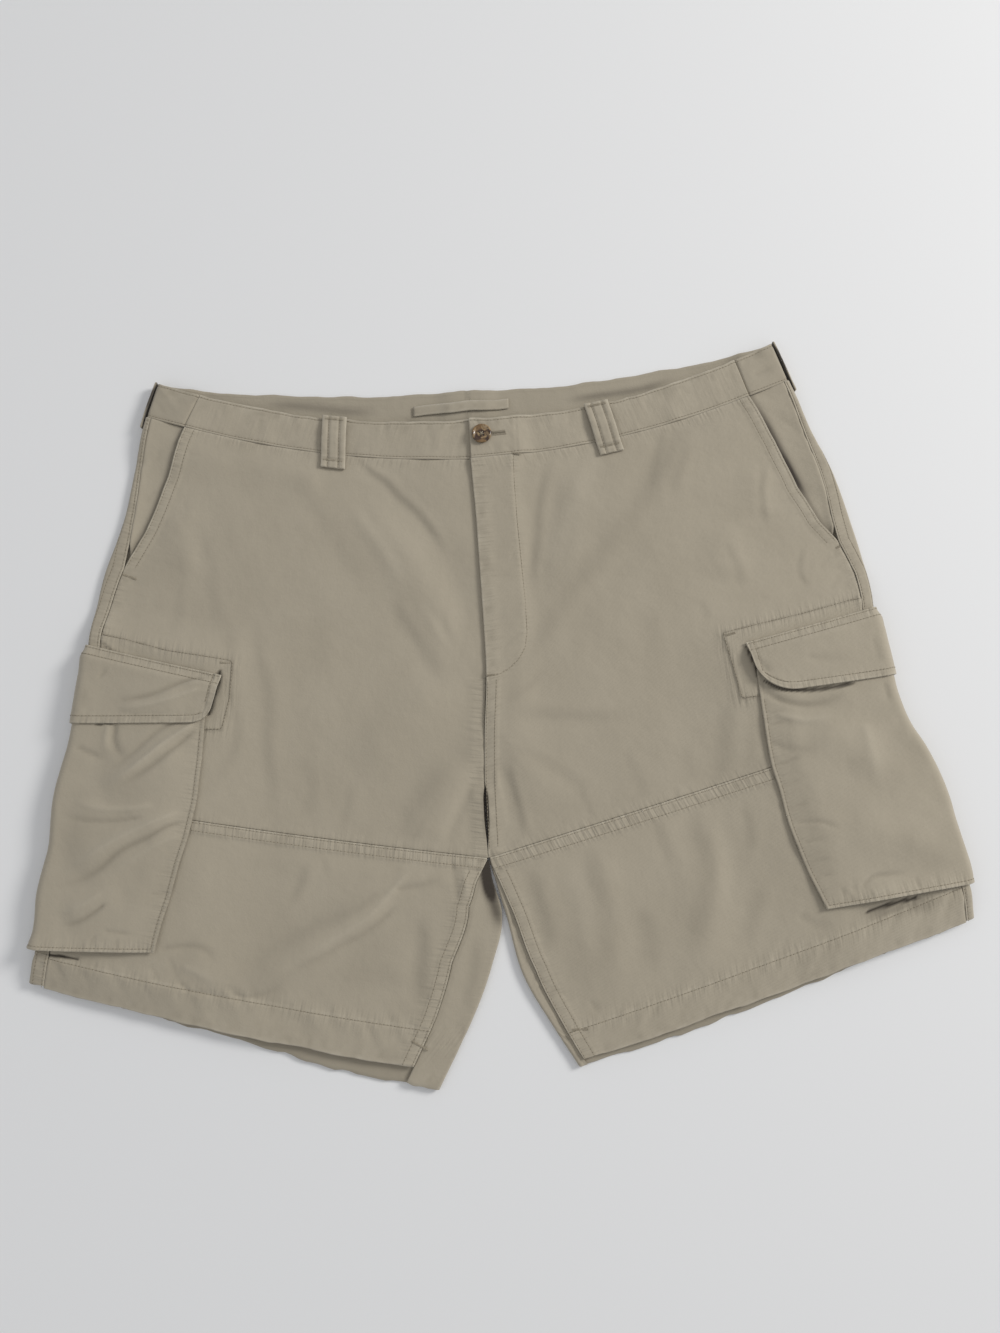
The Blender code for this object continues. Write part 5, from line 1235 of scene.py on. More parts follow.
def backAlongs(leg, drop):
    radius = leg.sideRadius(drop)
    quarter = radius * np.pi / 2
    seam = leg.sideSeam(drop) - cut["seamShown"] / 2
    columns = [seam - (seam - quarter) * s for s in (0, 0.05, *np.linspace(0, 1, 10)[1:-1])]
    columns += [radius * t for t in np.linspace(np.pi / 2, -np.pi / 2, 11)]
    last = quarter + backLook["sideReach"]
    columns += [-(quarter + r) for r in np.linspace(0, backLook["sideReach"], 39)[1:]]
    centre = leg.row(drop)[4] - radius + quarter
    halfHeight = leg.innerHeight(drop) / 2
    across = halfHeight * leg.opened(drop)
    turn = np.pi * (across + halfHeight) / 2
    onTop = leg.inseam(drop) - across - cut["seamShown"] / 2
    for hip, toFold, turned, toInseam in (
        *((0.56 * s, s, 0.0, 0.0) for s in np.linspace(0, 1, 23)[1:]),
        *((0.56 + 0.28 * s, 1.0, s, 0.0) for s in np.linspace(0, 1, 9)[1:]),
        *((0.84 + 0.16 * s, 1.0, 1.0, s) for s in (*np.linspace(0, 1, 19)[1:-1], 0.985, 1.0)),
    ):
        onHip = last + (centre - cut["seamShown"] / 2 - last) * hip
        onLeg = last + (centre - across - last) * toFold + turn * turned + onTop * toInseam
        columns.append(-np.where(drop > cut["frontRise"] + 0.001, onLeg, onHip))
    return np.stack(np.broadcast_arrays(*columns), axis=-1)


def backGrid(leg, rows, alongs):
    along = alongs(leg, rows)
    share = np.where(along > 0, 0.0, np.abs(along) / leg.row(rows)[4][:, None])
    drop = leg.backDrop(rows[:, None], share)
    own = [alongs(leg, drop[:, k])[:, k] for k in range(drop.shape[1])]
    return drop, np.stack(own, axis=-1)


def backLift(leg, drop, along, nominal):
    points = leg.point(drop, along)
    x, y = points[..., 0], points[..., 1]
    lift = bodyRelief(leg, drop, along, x, y, "back")
    seam = leg.sideSeam(drop) - cut["seamShown"] / 2
    onTop = ramp(along, -0.004, 0.001)
    lift = lift + onTop * seamRelief("felled", seam - along, drop, 61) * 0.8
    length = leg.row(drop)[4]
    halfHeight = leg.innerHeight(drop) / 2
    radius = leg.sideRadius(drop)
    far = length - radius + radius * np.pi / 2 + (np.pi - 2) * halfHeight / 2 + leg.inseam(drop)
    toInseam = np.maximum(far - np.abs(along), 0)
    lift = lift + seamRelief("plain", toInseam, drop, 62) * (along < 0) * leg.opened(drop)
    shownInside = (along < 0) * leg.opened(drop)
    shownInside = shownInside * (1 - ramp(toInseam, leg.inseam(drop) - 0.003, leg.inseam(drop) + 0.004))
    lift = lift + drawn("back", x, y)[0] * shownInside
    fromHem = cut["hemDrop"] - nominal
    shown = np.where(along > 0, 1.0, 0.35)
    lift = lift + shown * 0.0004 * lumps((along + 0.7 * fromHem) / 0.0075, fromHem / 0.02, 63) * np.exp(
        -(((fromHem - 0.024) / 0.014) ** 2))
    lift = lift - 0.00022 * np.exp(-(((fromHem - 0.0282) / 0.0009) ** 2))
    return keepClear(leg, drop, along, np.where((along < -0.004) & (toInseam > 0.02), np.minimum(lift, 0.0), lift))


def makeBack(leg):
    rows = spread(cut["seamShown"] / 2, cut["hemDrop"], backLook["rowStep"],
                  ((cut["frontRise"], 0.012, 0.0020), (cut["hemDrop"] - 0.0285, 0.004, 0.0013)))
    drop, along = backGrid(leg, rows, backAlongs)
    drop = drop + 0.0015 * edgeWave(along, 64) * ramp(rows[:, None], cut["hemDrop"] - 0.016, cut["hemDrop"])
    lift = backLift(leg, drop, along, rows[:, None])
    outer = leg.point(drop, along, lift)
    inner = leg.point(drop, along, lift - hemWallAt(rows[:, None]))
    seam = leg.sideSeam(drop)
    wearAndShading = np.where(along > 0, edgeWear(seam - along, drop, 71, 0.4), 0.0)
    wearAndShading = wearAndShading + edgeWear(cut["hemDrop"] - rows[:, None] + 0 * along, along, 72, 0.4)
    length = leg.row(drop)[4]
    onUpperSide = (along > -0.003) | (np.abs(along) > length + 0.002)
    # the drawn rows add painted shadow below the crotch and painted shade in creases
    wearAndShading = wearAndShading + np.where(onUpperSide, drawn("back", outer[..., 0], outer[..., 1])[1], 0)
    middle = np.abs(outer[..., 0] - leg.innerX(drop))
    # the inside face is painted near black round the slit and darker near the hem, as the shade there
    backInsideShade = -0.98 * (1 - ramp(middle, 0.007, 0.016)) * ramp(drop, 0.270, 0.300) * (1 - ramp(drop, 0.362, 0.372))
    backInsideShade = backInsideShade - 0.14 * ramp(rows[:, None], cut["hemDrop"] - 0.030, cut["hemDrop"] - 0.015)
    around = nearSeam(cut["hemDrop"] - 0.028 - rows[:, None] + 0 * along, 0.012) * 0.8
    downward = nearSeam(np.maximum(seam - along, 0), 0.010) + 0.7 * nearSeam(length - np.abs(along), 0.010)
    name = leg.piece("back")
    clothSheet(name, "back_" + leg.name, [], outer, inner,
               cutPlace(along, drop), wearAndShading, twill, (around, downward), backInsideShade)


for one in legs.values():
    makeBack(one)
print("backs made")


# Waistband
bandLook = {"step": 0.0024, "proud": 0.0004}
buttonhole = {"drop": -0.0215, "start": 0.0215, "end": 0.0345, "pullFrom": 0.026, "facedTo": 0.0440}


def bandEnds(leg, drop):
    start = leg.slant(drop) + cut["seamShown"] / 2
    edge = leg.alongAt(drop, leg.innerX(drop)) - cut["seamGap"]
    if leg.name == "right":
        edge = edge + cut["bandUnderlap"]
    return start, edge


def bandLift(leg, drop, along):
    points = frontPoint(leg, drop, along)
    x, y = points[..., 0], points[..., 1]
    lift = bandLook["proud"] + flyLift(leg, drop, x, cut["bandUnderlap"], cut["bandWall"] + 2 * cut["seamGap"])
    lift = lift + 0.35 * bodyRelief(leg, drop, along, x, y, "band") + 0.65 * drawn("band", x, y)[0]
    fromTop, fromLow = drop + cut["bandHeight"], -drop
    lift = lift + seamRelief("band", fromTop, along, 81) + seamRelief("band", fromLow, along, 82)
    crumple = lumps(along / 0.011, drop / 0.030, 83) * 0.00050 + lumps(along / 0.026, drop / 0.05, 84) * 0.0007
    lift = lift + crumple * (1 - 0.85 * ramp(-np.abs(x - 0.018), -0.030, -0.020))
    if leg.name == "left":
        # the square where the band's end is faced, and the buttonhole's pull
        lift = lift - 0.0003 * np.exp(-(((x - buttonhole["facedTo"]) / 0.0011) ** 2))
        middleDrop = buttonhole["drop"]
        far = np.hypot(x - buttonhole["pullFrom"], drop - middleDrop)
        angle = np.arctan2(drop - middleDrop, x - buttonhole["pullFrom"])
        lift = lift + 0.00030 * np.cos(5 * angle + 0.6) * np.exp(-(((far - 0.014) / 0.006) ** 2))
        slot = np.exp(-(((drop - middleDrop) / 0.0008) ** 2))
        slot = slot * ramp(x, buttonhole["start"], 0.0230) * (1 - ramp(x, 0.0335, 0.0350))
        lift = lift - 0.0003 * slot
    return lift


def bandTopWave(drop, along):
    return 0.0011 * edgeWave(along, 87, 0.019) * ramp(-drop, 0.016, cut["bandHeight"])


def bandOuter(leg, drop, along):
    drop = drop + bandTopWave(drop, along)
    return frontPoint(leg, drop, along, bandLift(leg, drop, along))


def makeBand(leg):
    drop = spread(-cut["bandHeight"], -cut["seamShown"] / 2, 0.0017,
                  ((-cut["bandHeight"], 0.004, 0.0010), (-0.0005, 0.004, 0.0010),
                   (buttonhole["drop"], 0.0025, 0.0006)))[:, None]
    start, end = bandEnds(leg, drop)
    along = acrossPanel(start, end, bandLook["step"], 0.006, 0.048, 0.0012)
    drop = drop + bandTopWave(drop, along)
    lift = bandLift(leg, drop, along)
    outer = frontPoint(leg, drop, along, lift)
    inner = frontPoint(leg, drop, along, lift - cut["bandWall"])
    wearAndShading = edgeWear(drop + cut["bandHeight"], along, 91, 0.6)
    # the drawn creases add painted shade in the band's troughs
    wearAndShading = wearAndShading + edgeWear(-drop, along, 92, 0.2) + drawn("band", outer[..., 0], outer[..., 1])[1]
    patchy = 0.5 + 0.5 * lumps(along / 0.022, drop / 0.03, 88)
    around = 0.42 * nearSeam(drop + 0.0185, 0.004, 0.014) * patchy
    if leg.name == "left":
        x = outer[..., 0]
        slot = np.exp(-(((drop - buttonhole["drop"]) / 0.0007) ** 2))
        slot = slot * (x > buttonhole["start"]) * (x < buttonhole["end"])
        # the buttonhole's slot is painted dark, as the shade in its cut
        wearAndShading = wearAndShading * (1 - slot) - 0.5 * slot
    name = leg.piece("waistband")
    clothSheet(name, "waistband_" + leg.name,
               ["waistbandBack", leg.piece("front")],
               outer, inner, cutPlace(along, drop), wearAndShading, twill, (around, 0 * around))


def bandBackAlongs(leg, drop):
    start = leg.slant(drop) - cut["seamShown"] / 2
    radius = leg.sideRadius(drop)
    quarter = radius * np.pi / 2
    centre = leg.row(drop)[4] - radius + quarter
    columns = [start - (start - quarter) * s for s in np.linspace(0, 1, 15)[:-1]]
    columns += [radius * t for t in np.linspace(np.pi / 2, -np.pi / 2, 11)]
    columns += [-(quarter + (centre - quarter) * s) for s in np.linspace(0, 1, 90)[1:]]
    return np.stack(np.broadcast_arrays(*columns), axis=-1)


def bandBackLift(leg, drop, along, nominal):
    points = leg.point(drop, along)
    lift = seamRelief("band", nominal + cut["bandHeight"], along, 101)
    lift = lift + seamRelief("band", -nominal, along, 102)
    onTop = np.where(along > 0, 1.0, 0.5)
    crumple = 0.00042 * lumps(along / 0.011, drop / 0.030, 103) + 0.0007 * lumps(along / 0.03, drop / 0.06, 104)
    lift = lift + onTop * crumple
    lift = lift + drawn("bandBack", points[..., 0], points[..., 1])[0] * (along > 0)
    return np.where(along < -0.004, np.minimum(lift, 0.0), lift)


def bandWave(nominal, along):
    return 0.0011 * edgeWave(along, 107, 0.021) * ramp(-nominal, 0.016, cut["bandHeight"])


def makeBandBack():
    rows = spread(-cut["bandHeight"], -cut["seamShown"] / 2, 0.0020,
                  ((-cut["bandHeight"], 0.004, 0.0010), (-0.0005, 0.004, 0.0010)))
    strips, wide = [], 0.0
    for leg in legs.values():
        drop, along = backGrid(leg, rows, bandBackAlongs)
        wide += widest(np.ptp(along, axis=1))
        drop = drop + bandWave(rows[:, None], along)
        lift = bandBackLift(leg, drop, along, rows[:, None])
        wearAndShading = edgeWear(rows[:, None] + cut["bandHeight"] + 0 * along, along, 106, 0.6)
        shown = leg.point(drop, along)
        # the drawn rows add painted shade and highlight
        wearAndShading = wearAndShading + drawn("bandBack", shown[..., 0], shown[..., 1])[1] * (along > 0)
        uv = np.stack([leg.sign * (0.32 + along), 0 * along - rows[:, None]], -1)
        # the inside face gets painted shade where it shows above the front band
        inside = drawn("bandInside", shown[..., 0], shown[..., 1])[1] * (along < 0)
        strips.append([leg.point(drop, along, lift), leg.point(drop, along, lift - cut["bandWall"]), uv,
                       wearAndShading[..., None], inside[..., None]])
    joined = []
    for a, b in zip(*strips):
        middle = (a[:, -1:] + b[:, -1:]) / 2
        joined.append(np.concatenate([a[:, :-1], middle, b[:, -2::-1]], axis=1))
    outer, inner, uv, wearAndShading, inside = joined
    clothSheet("waistbandBack", "waistband_back", ["backRight", "backLeft"],
               outer, inner, uv, wearAndShading[..., 0], twillInside, None, inside[..., 0])


for one in legs.values():
    makeBand(one)
makeBandBack()
print("waistband made")


# Pocket facings in the slant openings
facingLook = {"length": {"right": 0.132, "left": 0.156}, "underFront": 0.014, "columns": 24}


def facingLift(leg, drop, along, start, shown, closed):
    points = leg.point(drop, along)
    sunk = np.maximum(ramp((along - start) / shown, 0.0, 0.75), closed)
    lift = -(cut["panelWall"] + cut["layerGap"]) * sunk
    wrinkle = 0.00055 * lumps(drop / 0.018, along / 0.05, 111) + 0.0003 * lumps(drop / 0.007, along / 0.03, 112)
    wrinkle = wrinkle + drawn("facing", points[..., 0], points[..., 1])[0]
    return lift + wrinkle * (1 - sunk) + 0.0005 * np.exp(-(((along - start) / 0.0035) ** 2)) - 0.0002


def makeFacing(leg):
    length, columns = facingLook["length"][leg.name], facingLook["columns"]
    drop = spread(cut["seamShown"] / 2, length, 0.0024)[:, None]
    start = leg.sideSeam(drop) + cut["seamShown"] / 2
    slant = leg.slant(drop)
    along = start + (slant + facingLook["underFront"] - start) * np.linspace(0, 1, columns)[None, :]
    shown = np.maximum(slant - start, 0.0005)
    closed = 1 - ramp(shown, 0.002, 0.009)
    lift = facingLift(leg, drop, along, start, shown, closed)
    share = np.linspace(0, 1, columns)[None, :]
    along = along + (0.003 + cut["seamGap"]) * closed * (1 - share)
    outer = leg.point(drop, along, lift)
    inner = leg.point(drop, along, lift - cut["panelWall"])
    # darker towards the slant, as painted shade under the front's edge, plus painted shade and highlight of the drawn
    # creases
    wearAndShading = -0.42 * ramp(along, slant - 0.007, slant - 0.001) + drawn("facing", outer[..., 0], outer[..., 1])[1]
    name = leg.piece("hipFacing")
    clothSheet(name, "hip_facing_" + leg.name,
               [leg.piece("back")], outer, inner,
               cutPlace(along, drop), wearAndShading, twill)


for one in legs.values():
    makeFacing(one)


# Cargo pockets, gussets and flaps
gussetLook = {"from": 0.0045, "to": 0.0175, "width": 0.013, "columns": 6, "outerShare": 0.72, "innerShare": 0.28}
pocketLook = {"rows": 118, "stitchRow": 0.0034, "mouthBelowFlapTop": 0.022, "lifted": 0.0022}
pocketLifts = {"right": ((-0.392, -0.345, 1.0),), "left": ((0.310, 0.385, 1.0),)}   # where the bottom edge stands up


def pocketWaves(leg, x):
    total = 0 * x
    for low, high, strength in pocketLifts[leg.name]:
        total = total + strength * ramp(x, low - 0.010, low + 0.012) * (1 - ramp(x, high - 0.012, high + 0.010))
    return total


def pocketAlongs(leg, drop, front, rear, over=52, under=34):
    radius = leg.sideRadius(drop)
    quarter = radius * np.pi / 2
    nearEdge = np.array([0.0, 0.006, 0.013, 0.022, 0.034, 0.048])
    shares = np.concatenate([nearEdge, np.linspace(0.064, 1.0, over)[:-1]])
    columns = [front - (front - quarter) * s for s in shares]
    columns += [radius * t for t in np.linspace(np.pi / 2, -np.pi / 2, 11)]
    columns += [-(quarter + (rear - quarter) * s) for s in np.linspace(0, 1, under)[1:]]
    return np.stack([np.broadcast_to(c, drop.shape) for c in columns], axis=-1)


def byReach(along, atFront, atFold, reach):
    return atFold + (atFront - atFold) * np.clip(along / reach, 0.0, 1.0)


def pocketMouth(leg):
    return max(leg.cargo["flapTopFront"], leg.cargo["flapTopFold"]) + pocketLook["mouthBelowFlapTop"]


def pocketLow(leg, along):   # drop of its lower edge
    one = leg.cargo
    return byReach(along, one["bottomFront"], one["bottomFold"], leg.pocketFront(one["bottomFront"]))


def pocketLiftAt(leg, drop, along):
    points = leg.point(drop, along)
    x, y = points[..., 0], points[..., 1]
    front = leg.pocketFront(drop)
    fromFront, fromLow = front - along, pocketLow(leg, along) - drop
    inside = ramp(fromFront, 0.004, 0.020) * ramp(fromLow, 0.004, 0.024) * ramp(along, 0.0, 0.015)
    big = np.maximum(foldHeight(x, y, mainFolds["pocket"]), 0) * inside
    lift = big + drawn("pocket", x, y)[0] * ramp(along, -0.004, 0.010)
    lift = lift + 0.0007 * (1 + lumps(x / 0.036, y / 0.030, 121)) + 0.00022 * lumps(x / 0.014, y / 0.014, 122)
    lift = lift + pocketLook["lifted"] * pocketWaves(leg, x) * nearSeam(fromLow, 0.012)
    lift = lift + seamRelief("pintuck", fromFront, drop, 123) + seamRelief("pintuck", fromLow, along, 124)
    return np.where(along > 0, lift, np.minimum(lift * ramp(along, -0.006, 0.0), 0.0))


def pocketStands(leg, drop, along):   # its front edge lies close on the leg
    nearBottom = 1 - ramp(pocketLow(leg, along) - drop, 0.008, 0.050)
    held = 0.97 * (1 - ramp(leg.pocketFront(drop) - along, 0.0, 0.028)) * (1 - 0.6 * nearBottom)
    return pocketLift * (1 - held)


def legTop(leg, drop, along):   # how high the leg stands beneath a pocket or a flap
    lift = np.where(drop < cut["frontRise"], frontLift(leg, drop, along), lowerLift(leg, drop, along))
    return np.where(along > 0, np.maximum(lift, 0.0), 0.0)


def pocketInner(leg, drop, along):
    lift = pocketStands(leg, drop, along) + pocketLiftAt(leg, drop, along)
    return np.maximum(lift, legTop(leg, drop, along) + 0.0003)


def pocketOuter(leg, drop, along):
    return leg.point(drop, along, pocketInner(leg, drop, along) + cut["panelWall"])


def makePocket(leg):
    one = leg.cargo
    nearLow = 1 - np.array([0.046, 0.034, 0.024, 0.015, 0.008, 0.0018, 0.0])
    rows = np.concatenate([np.linspace(0, 0.94, pocketLook["rows"]), nearLow])
    top = pocketMouth(leg)
    nominal = top + (one["bottomFront"] - top) * rows
    front = leg.pocketFront(nominal)
    along = pocketAlongs(leg, nominal, front, cut["pocketReachUnder"])
    low = byReach(along, one["bottomFront"], one["bottomFold"], front[-1])
    drop = top + (low - top) * rows[:, None]
    lift = pocketInner(leg, drop, along)
    outer = leg.point(drop, along, lift + cut["panelWall"])
    inner = leg.point(drop, along, lift)
    fromFront = front[:, None] - along
    wearAndShading = edgeWear(fromFront, drop, 131, 0.12) + edgeWear(low - drop, along, 132, 0.3)
    wearAndShading = wearAndShading - 0.10 * np.exp(-(((fromFront - pocketLook["stitchRow"]) / 0.0010) ** 2))
    # a thin dark line at the front edge is painted shadow, and the drawn creases add painted shade and highlight
    wearAndShading = wearAndShading - 0.30 * np.exp(-((fromFront / 0.0007) ** 2))
    wearAndShading = wearAndShading + drawn("pocket", outer[..., 0], outer[..., 1])[1]
    around, downward = nearSeam(low - drop, 0.010), 0.9 * nearSeam(fromFront, 0.011)
    clothSheet(leg.piece("cargoPocket"), "cargo_pocket_" + leg.name,
               [leg.piece("cargoGusset"), leg.piece("lowerFront")], outer, inner,
               cutPlace(along, drop), np.where(along > 0, wearAndShading, 0), twill,
               (around, downward))


def makeGusset(leg):
    one = leg.cargo
    top = pocketMouth(leg) + 0.004
    edges = []
    for inside in np.linspace(gussetLook["from"], gussetLook["to"], gussetLook["columns"]):
        lowFront, lowFold = one["bottomFront"] - inside, one["bottomFold"] - inside
        down = np.linspace(top, lowFront, 60)
        front = leg.pocketFront(down) - inside
        reach = cut["pocketReachUnder"] - inside
        around = pocketAlongs(leg, np.array([lowFold]), np.array([front[-1]]), reach, 30, 16)[0]
        low = byReach(around, lowFront, lowFold, front[-1] + inside)
        up = np.linspace(lowFold, top, 60)
        rear = np.full(60, -reach)
        edges.append((np.concatenate([down[:-1], low, up[1:]]), np.concatenate([front[:-1], around, rear[1:]])))
    drop, along = (np.stack(pair, axis=-1) for pair in zip(*edges))
    low = legTop(leg, drop, along)
    room = pocketInner(leg, drop, along) - low   # pressed flat between the leg and the pocket
    outer = leg.point(drop, along, low + gussetLook["outerShare"] * room)
    inner = leg.point(drop, along, low + gussetLook["innerShare"] * room)
    run = np.concatenate([[0], np.cumsum(np.hypot(np.diff(drop[:, 2]), np.diff(along[:, 2])))])
    around = run[:, None] + 0 * along
    across = np.linspace(0, gussetLook["width"], gussetLook["columns"])[None, :] + 0 * along
    # the whole gusset is painted darker, as the shade it lies in under the pocket
    clothSheet(leg.piece("cargoGusset"), "cargo_gusset_" + leg.name,
               [leg.piece("lowerFront"), leg.piece("front")], outer, inner,
               np.stack([around, across], -1), -0.55 + 0 * along, twill)


def flapLiftAt(leg, drop, along, top, low, fromEnd):
    points = leg.point(drop, along)
    x, y = points[..., 0], points[..., 1]
    lift = cut["layerGap"] + (flapLift - cut["layerGap"]) * ramp(drop - top, 0.001, 0.014)
    inside = ramp(drop - top, 0.004, 0.014) * ramp(low - drop, 0.002, 0.012) * ramp(along, 0.0, 0.015)
    inside = inside * ramp(fromEnd, 0.002, 0.014)
    lift = lift + np.maximum(foldHeight(x, y, mainFolds["flap"]), 0) * inside
    lift = lift + drawn("flap", x, y)[0] * inside + 0.0004 * (1 + lumps(x / 0.03, y / 0.02, 141)) * inside
    more = seamRelief("flapEdge", np.minimum(low - drop, fromEnd), along + drop, 142)
    more = more + seamRelief("felled", drop - top, along, 143) * 0.7
    lift = lift + np.where(along > 0, more, 0.0)
    front = leg.pocketFront(drop)
    overPocket = ramp(drop - pocketMouth(leg), -0.006, -0.001) * (1 - ramp(along, front, front + 0.004))
    pocketTop = (pocketInner(leg, drop, along) + cut["panelWall"]) * overPocket
    return np.maximum(lift, np.maximum(pocketTop, legTop(leg, drop, along)) + 0.0002)


def flapEdges(leg, along):   # drops of its top and of its lower edge, without the rounded corner
    one = leg.cargo
    return (byReach(along, one["flapTopFront"], one["flapTopFold"], one["flapFront"]),
            byReach(along, one["flapLowFront"], one["flapLowFold"], one["flapFront"]))


def flapCornerCut(leg, fromEnd):   # how much the rounded corner takes off
    corner = leg.cargo["flapCorner"]
    return corner * (1 - np.sqrt(1 - (1 - np.clip(fromEnd / corner, 0, 1)) ** 2))


def flapGrid(leg):
    one = leg.cargo
    rows = np.concatenate([[0, 0.008], np.linspace(0.024, 0.30, 14), np.linspace(0.33, 0.78, 18),
                           np.linspace(0.80, 0.98, 11), [0.992, 1.0]])
    middle = np.full(len(rows), (one["flapTopFold"] + one["flapLowFold"]) / 2)
    front = one["flapFront"] + (one["flapFrontLow"] - one["flapFront"]) * rows
    along = pocketAlongs(leg, middle, front, cut["pocketReachUnder"] + 0.002, 54, 36)
    corner = one["flapCorner"]
    first, last = along[:, :1], along[:, -1:]
    ends = np.linspace(0, 1, 15)[1:]
    nearFront = first - corner * ends[None, :] ** 1.5
    nearRear = last + corner * ends[None, ::-1] ** 1.5
    along = np.concatenate([first, nearFront, along[:, 1:-1], nearRear, last], axis=1)
    along = -np.sort(-along, axis=1)
    top, low = flapEdges(leg, along)
    fromEnd = np.minimum(first - along, along - last)
    short = flapCornerCut(leg, fromEnd)
    drop = top + (low - short - top) * rows[:, None]
    return drop, along, top, low - short, fromEnd


def makeFlap(leg):
    drop, along, top, low, fromEnd = flapGrid(leg)
    lift = flapLiftAt(leg, drop, along, top, low, fromEnd)
    outer = leg.point(drop, along, lift + cut["flapWall"])
    inner = leg.point(drop, along, lift)
    wearAndShading = edgeWear(low - drop, along, 151, 0.5) + edgeWear(fromEnd, drop, 152, 0.5)
    wearAndShading = wearAndShading + edgeWear(drop - top, along, 153, 0.4)
    # the drawn creases add painted shade and highlight
    wearAndShading = wearAndShading + drawn("flap", outer[..., 0], outer[..., 1])[1]
    around = 0.8 * nearSeam(low - drop, 0.008) + 0.9 * nearSeam(drop - top, 0.009)
    clothSheet(leg.piece("cargoFlap"), "cargo_flap_" + leg.name,
               [leg.piece("cargoPocket"), leg.piece("front")], outer, inner,
               cutPlace(along, drop), np.where(along > 0, wearAndShading, 0), twill,
               (around, 0.8 * nearSeam(fromEnd, 0.009)))


for one in legs.values():
    makePocket(one)
    makeGusset(one)
    makeFlap(one)
print("pockets made")


# Belt loops and the hanging loop
loopLook = {"width": 0.022, "ridge": 0.00085, "columns": 25, "stitchRow": 0.0048, "top": -0.0385, "frontLow": 0.0150,
            "low": 0.011, "sideStands": 0.0015, "sideRun": 0.019, "backMiddle": 0.002}
frontLoopRows = ((-0.0385, 0.0010, 0.0024), (-0.0345, 0.0011, 0.0022), (-0.0270, 0.0026, 0.0016),
                 (-0.0150, 0.0031, 0.0016), (-0.0040, 0.0024, 0.0016), (0.0040, 0.0012, 0.0018),
                 (0.0110, 0.0005, 0.0026), (0.0150, 0.0005, 0.0026))
frontLoopPlace = {"right": (-0.119, -0.002), "left": (0.118, 0.008)}


def loopColumns():
    return np.array([-0.5, -0.482, *np.linspace(-0.455, 0.455, loopLook["columns"]), 0.482, 0.5])


def loopRidges(across, drop):
    # two rows of stitches a quarter in from each edge leave three soft ridges
    rib = -np.exp(-(((np.abs(across) - loopLook["stitchRow"]) / 0.0013) ** 2))
    rib = rib - 0.5 * ramp(np.abs(across), 0.009, 0.011)
    return loopLook["ridge"] * rib + 0.0003 * lumps(drop / 0.006, across / 0.01, 161)


def frontLoopMiddle(leg, drop):
    topX, lean = frontLoopPlace[leg.name]
    return leg.alongAt(drop, topX + lean * (drop + cut["bandHeight"]) / cut["bandHeight"])


def frontLoopOuter(leg, drop, across):
    dropKeys, gaps, walls = np.array(frontLoopRows).T
    along = frontLoopMiddle(leg, drop) + across
    lift = smoothCurve(drop, dropKeys, gaps) + smoothCurve(drop, dropKeys, walls)
    return leg.point(drop, along, lift + loopRidges(across, drop))


def makeFrontLoop(leg):
    drop = spread(loopLook["top"], loopLook["frontLow"], 0.0014)[:, None]
    dropKeys, gaps, _ = np.array(frontLoopRows).T
    across = loopLook["width"] * loopColumns()[None, :]
    along = frontLoopMiddle(leg, drop) + across
    outer = frontLoopOuter(leg, drop, across)
    inner = leg.point(drop, along, smoothCurve(drop, dropKeys, gaps))
    wearAndShading = edgeWear(loopLook["width"] / 2 - np.abs(across) + 0 * drop, drop, 171, 0.5)
    wearAndShading = wearAndShading + edgeWear(loopLook["frontLow"] - drop + 0 * across, across, 172, 0.4)
    wearAndShading = wearAndShading - 0.22 * np.exp(-(((np.abs(across) - loopLook["stitchRow"]) / 0.0010) ** 2))
    wearAndShading = wearAndShading - 0.30 * np.exp(-(((drop - 0.0055) / 0.0012) ** 2))
    clothSheet(leg.piece("beltLoopFront"), "belt_loop_front_" + leg.name, [leg.piece("waistband")], outer, inner,
               cutPlace(across, drop), wearAndShading, twill)


def makeSideLoop(leg):
    drop = spread(loopLook["top"], loopLook["low"], 0.0016)[:, None]
    radius = leg.sideRadius(drop)
    turn = radius * np.linspace(np.pi / 6, -np.pi / 2, 12)[None, :]
    flat = -(radius * np.pi / 2 + np.linspace(0, loopLook["sideRun"], 12)[None, 1:])
    along = np.concatenate([turn, flat], axis=1)
    sewn, stands = ramp(np.abs(drop + 0.014), 0.015, 0.024), loopLook["sideStands"]
    ridges = np.minimum(loopRidges(along + 0.008, drop), 0)
    outer = leg.point(drop, along, sideLoopStack + ridges * np.where(along > 0, 1, 0.3))
    inner = leg.point(drop, along, stands + (2 * cut["layerGap"] - stands) * sewn)
    # 120 degrees round the fold, then flat
    # the part of the loop round the fold is painted near black outside and inside, as the shade it stands in
    clothSheet(leg.piece("beltLoopSide"), "belt_loop_side_" + leg.name,
               ["waistbandBack"], outer, inner, cutPlace(along, drop),
               -0.93 * ramp(along, -0.0002, 0.0013) * ramp(drop, -0.036, -0.027) * (1 - ramp(drop, -0.014, -0.004)),
               twill, None, -0.9 * ramp(along, -0.004, 0.0))


def nearCentreBack(x, drop, lift):
    x, drop, lift = np.broadcast_arrays(x, drop, lift)
    points = np.zeros(x.shape + (3,))
    for leg in legs.values():
        mine = (x - leg.innerX(drop)) * leg.sign >= 0
        share = np.abs(leg.alongAt(drop, x)) / leg.row(drop)[4]
        lowered = leg.backDrop(drop, share)
        along = np.minimum(-leg.alongAt(lowered, x), 0.0)
        points = np.where(mine[..., None], leg.point(lowered, along, lift), points)
    return points


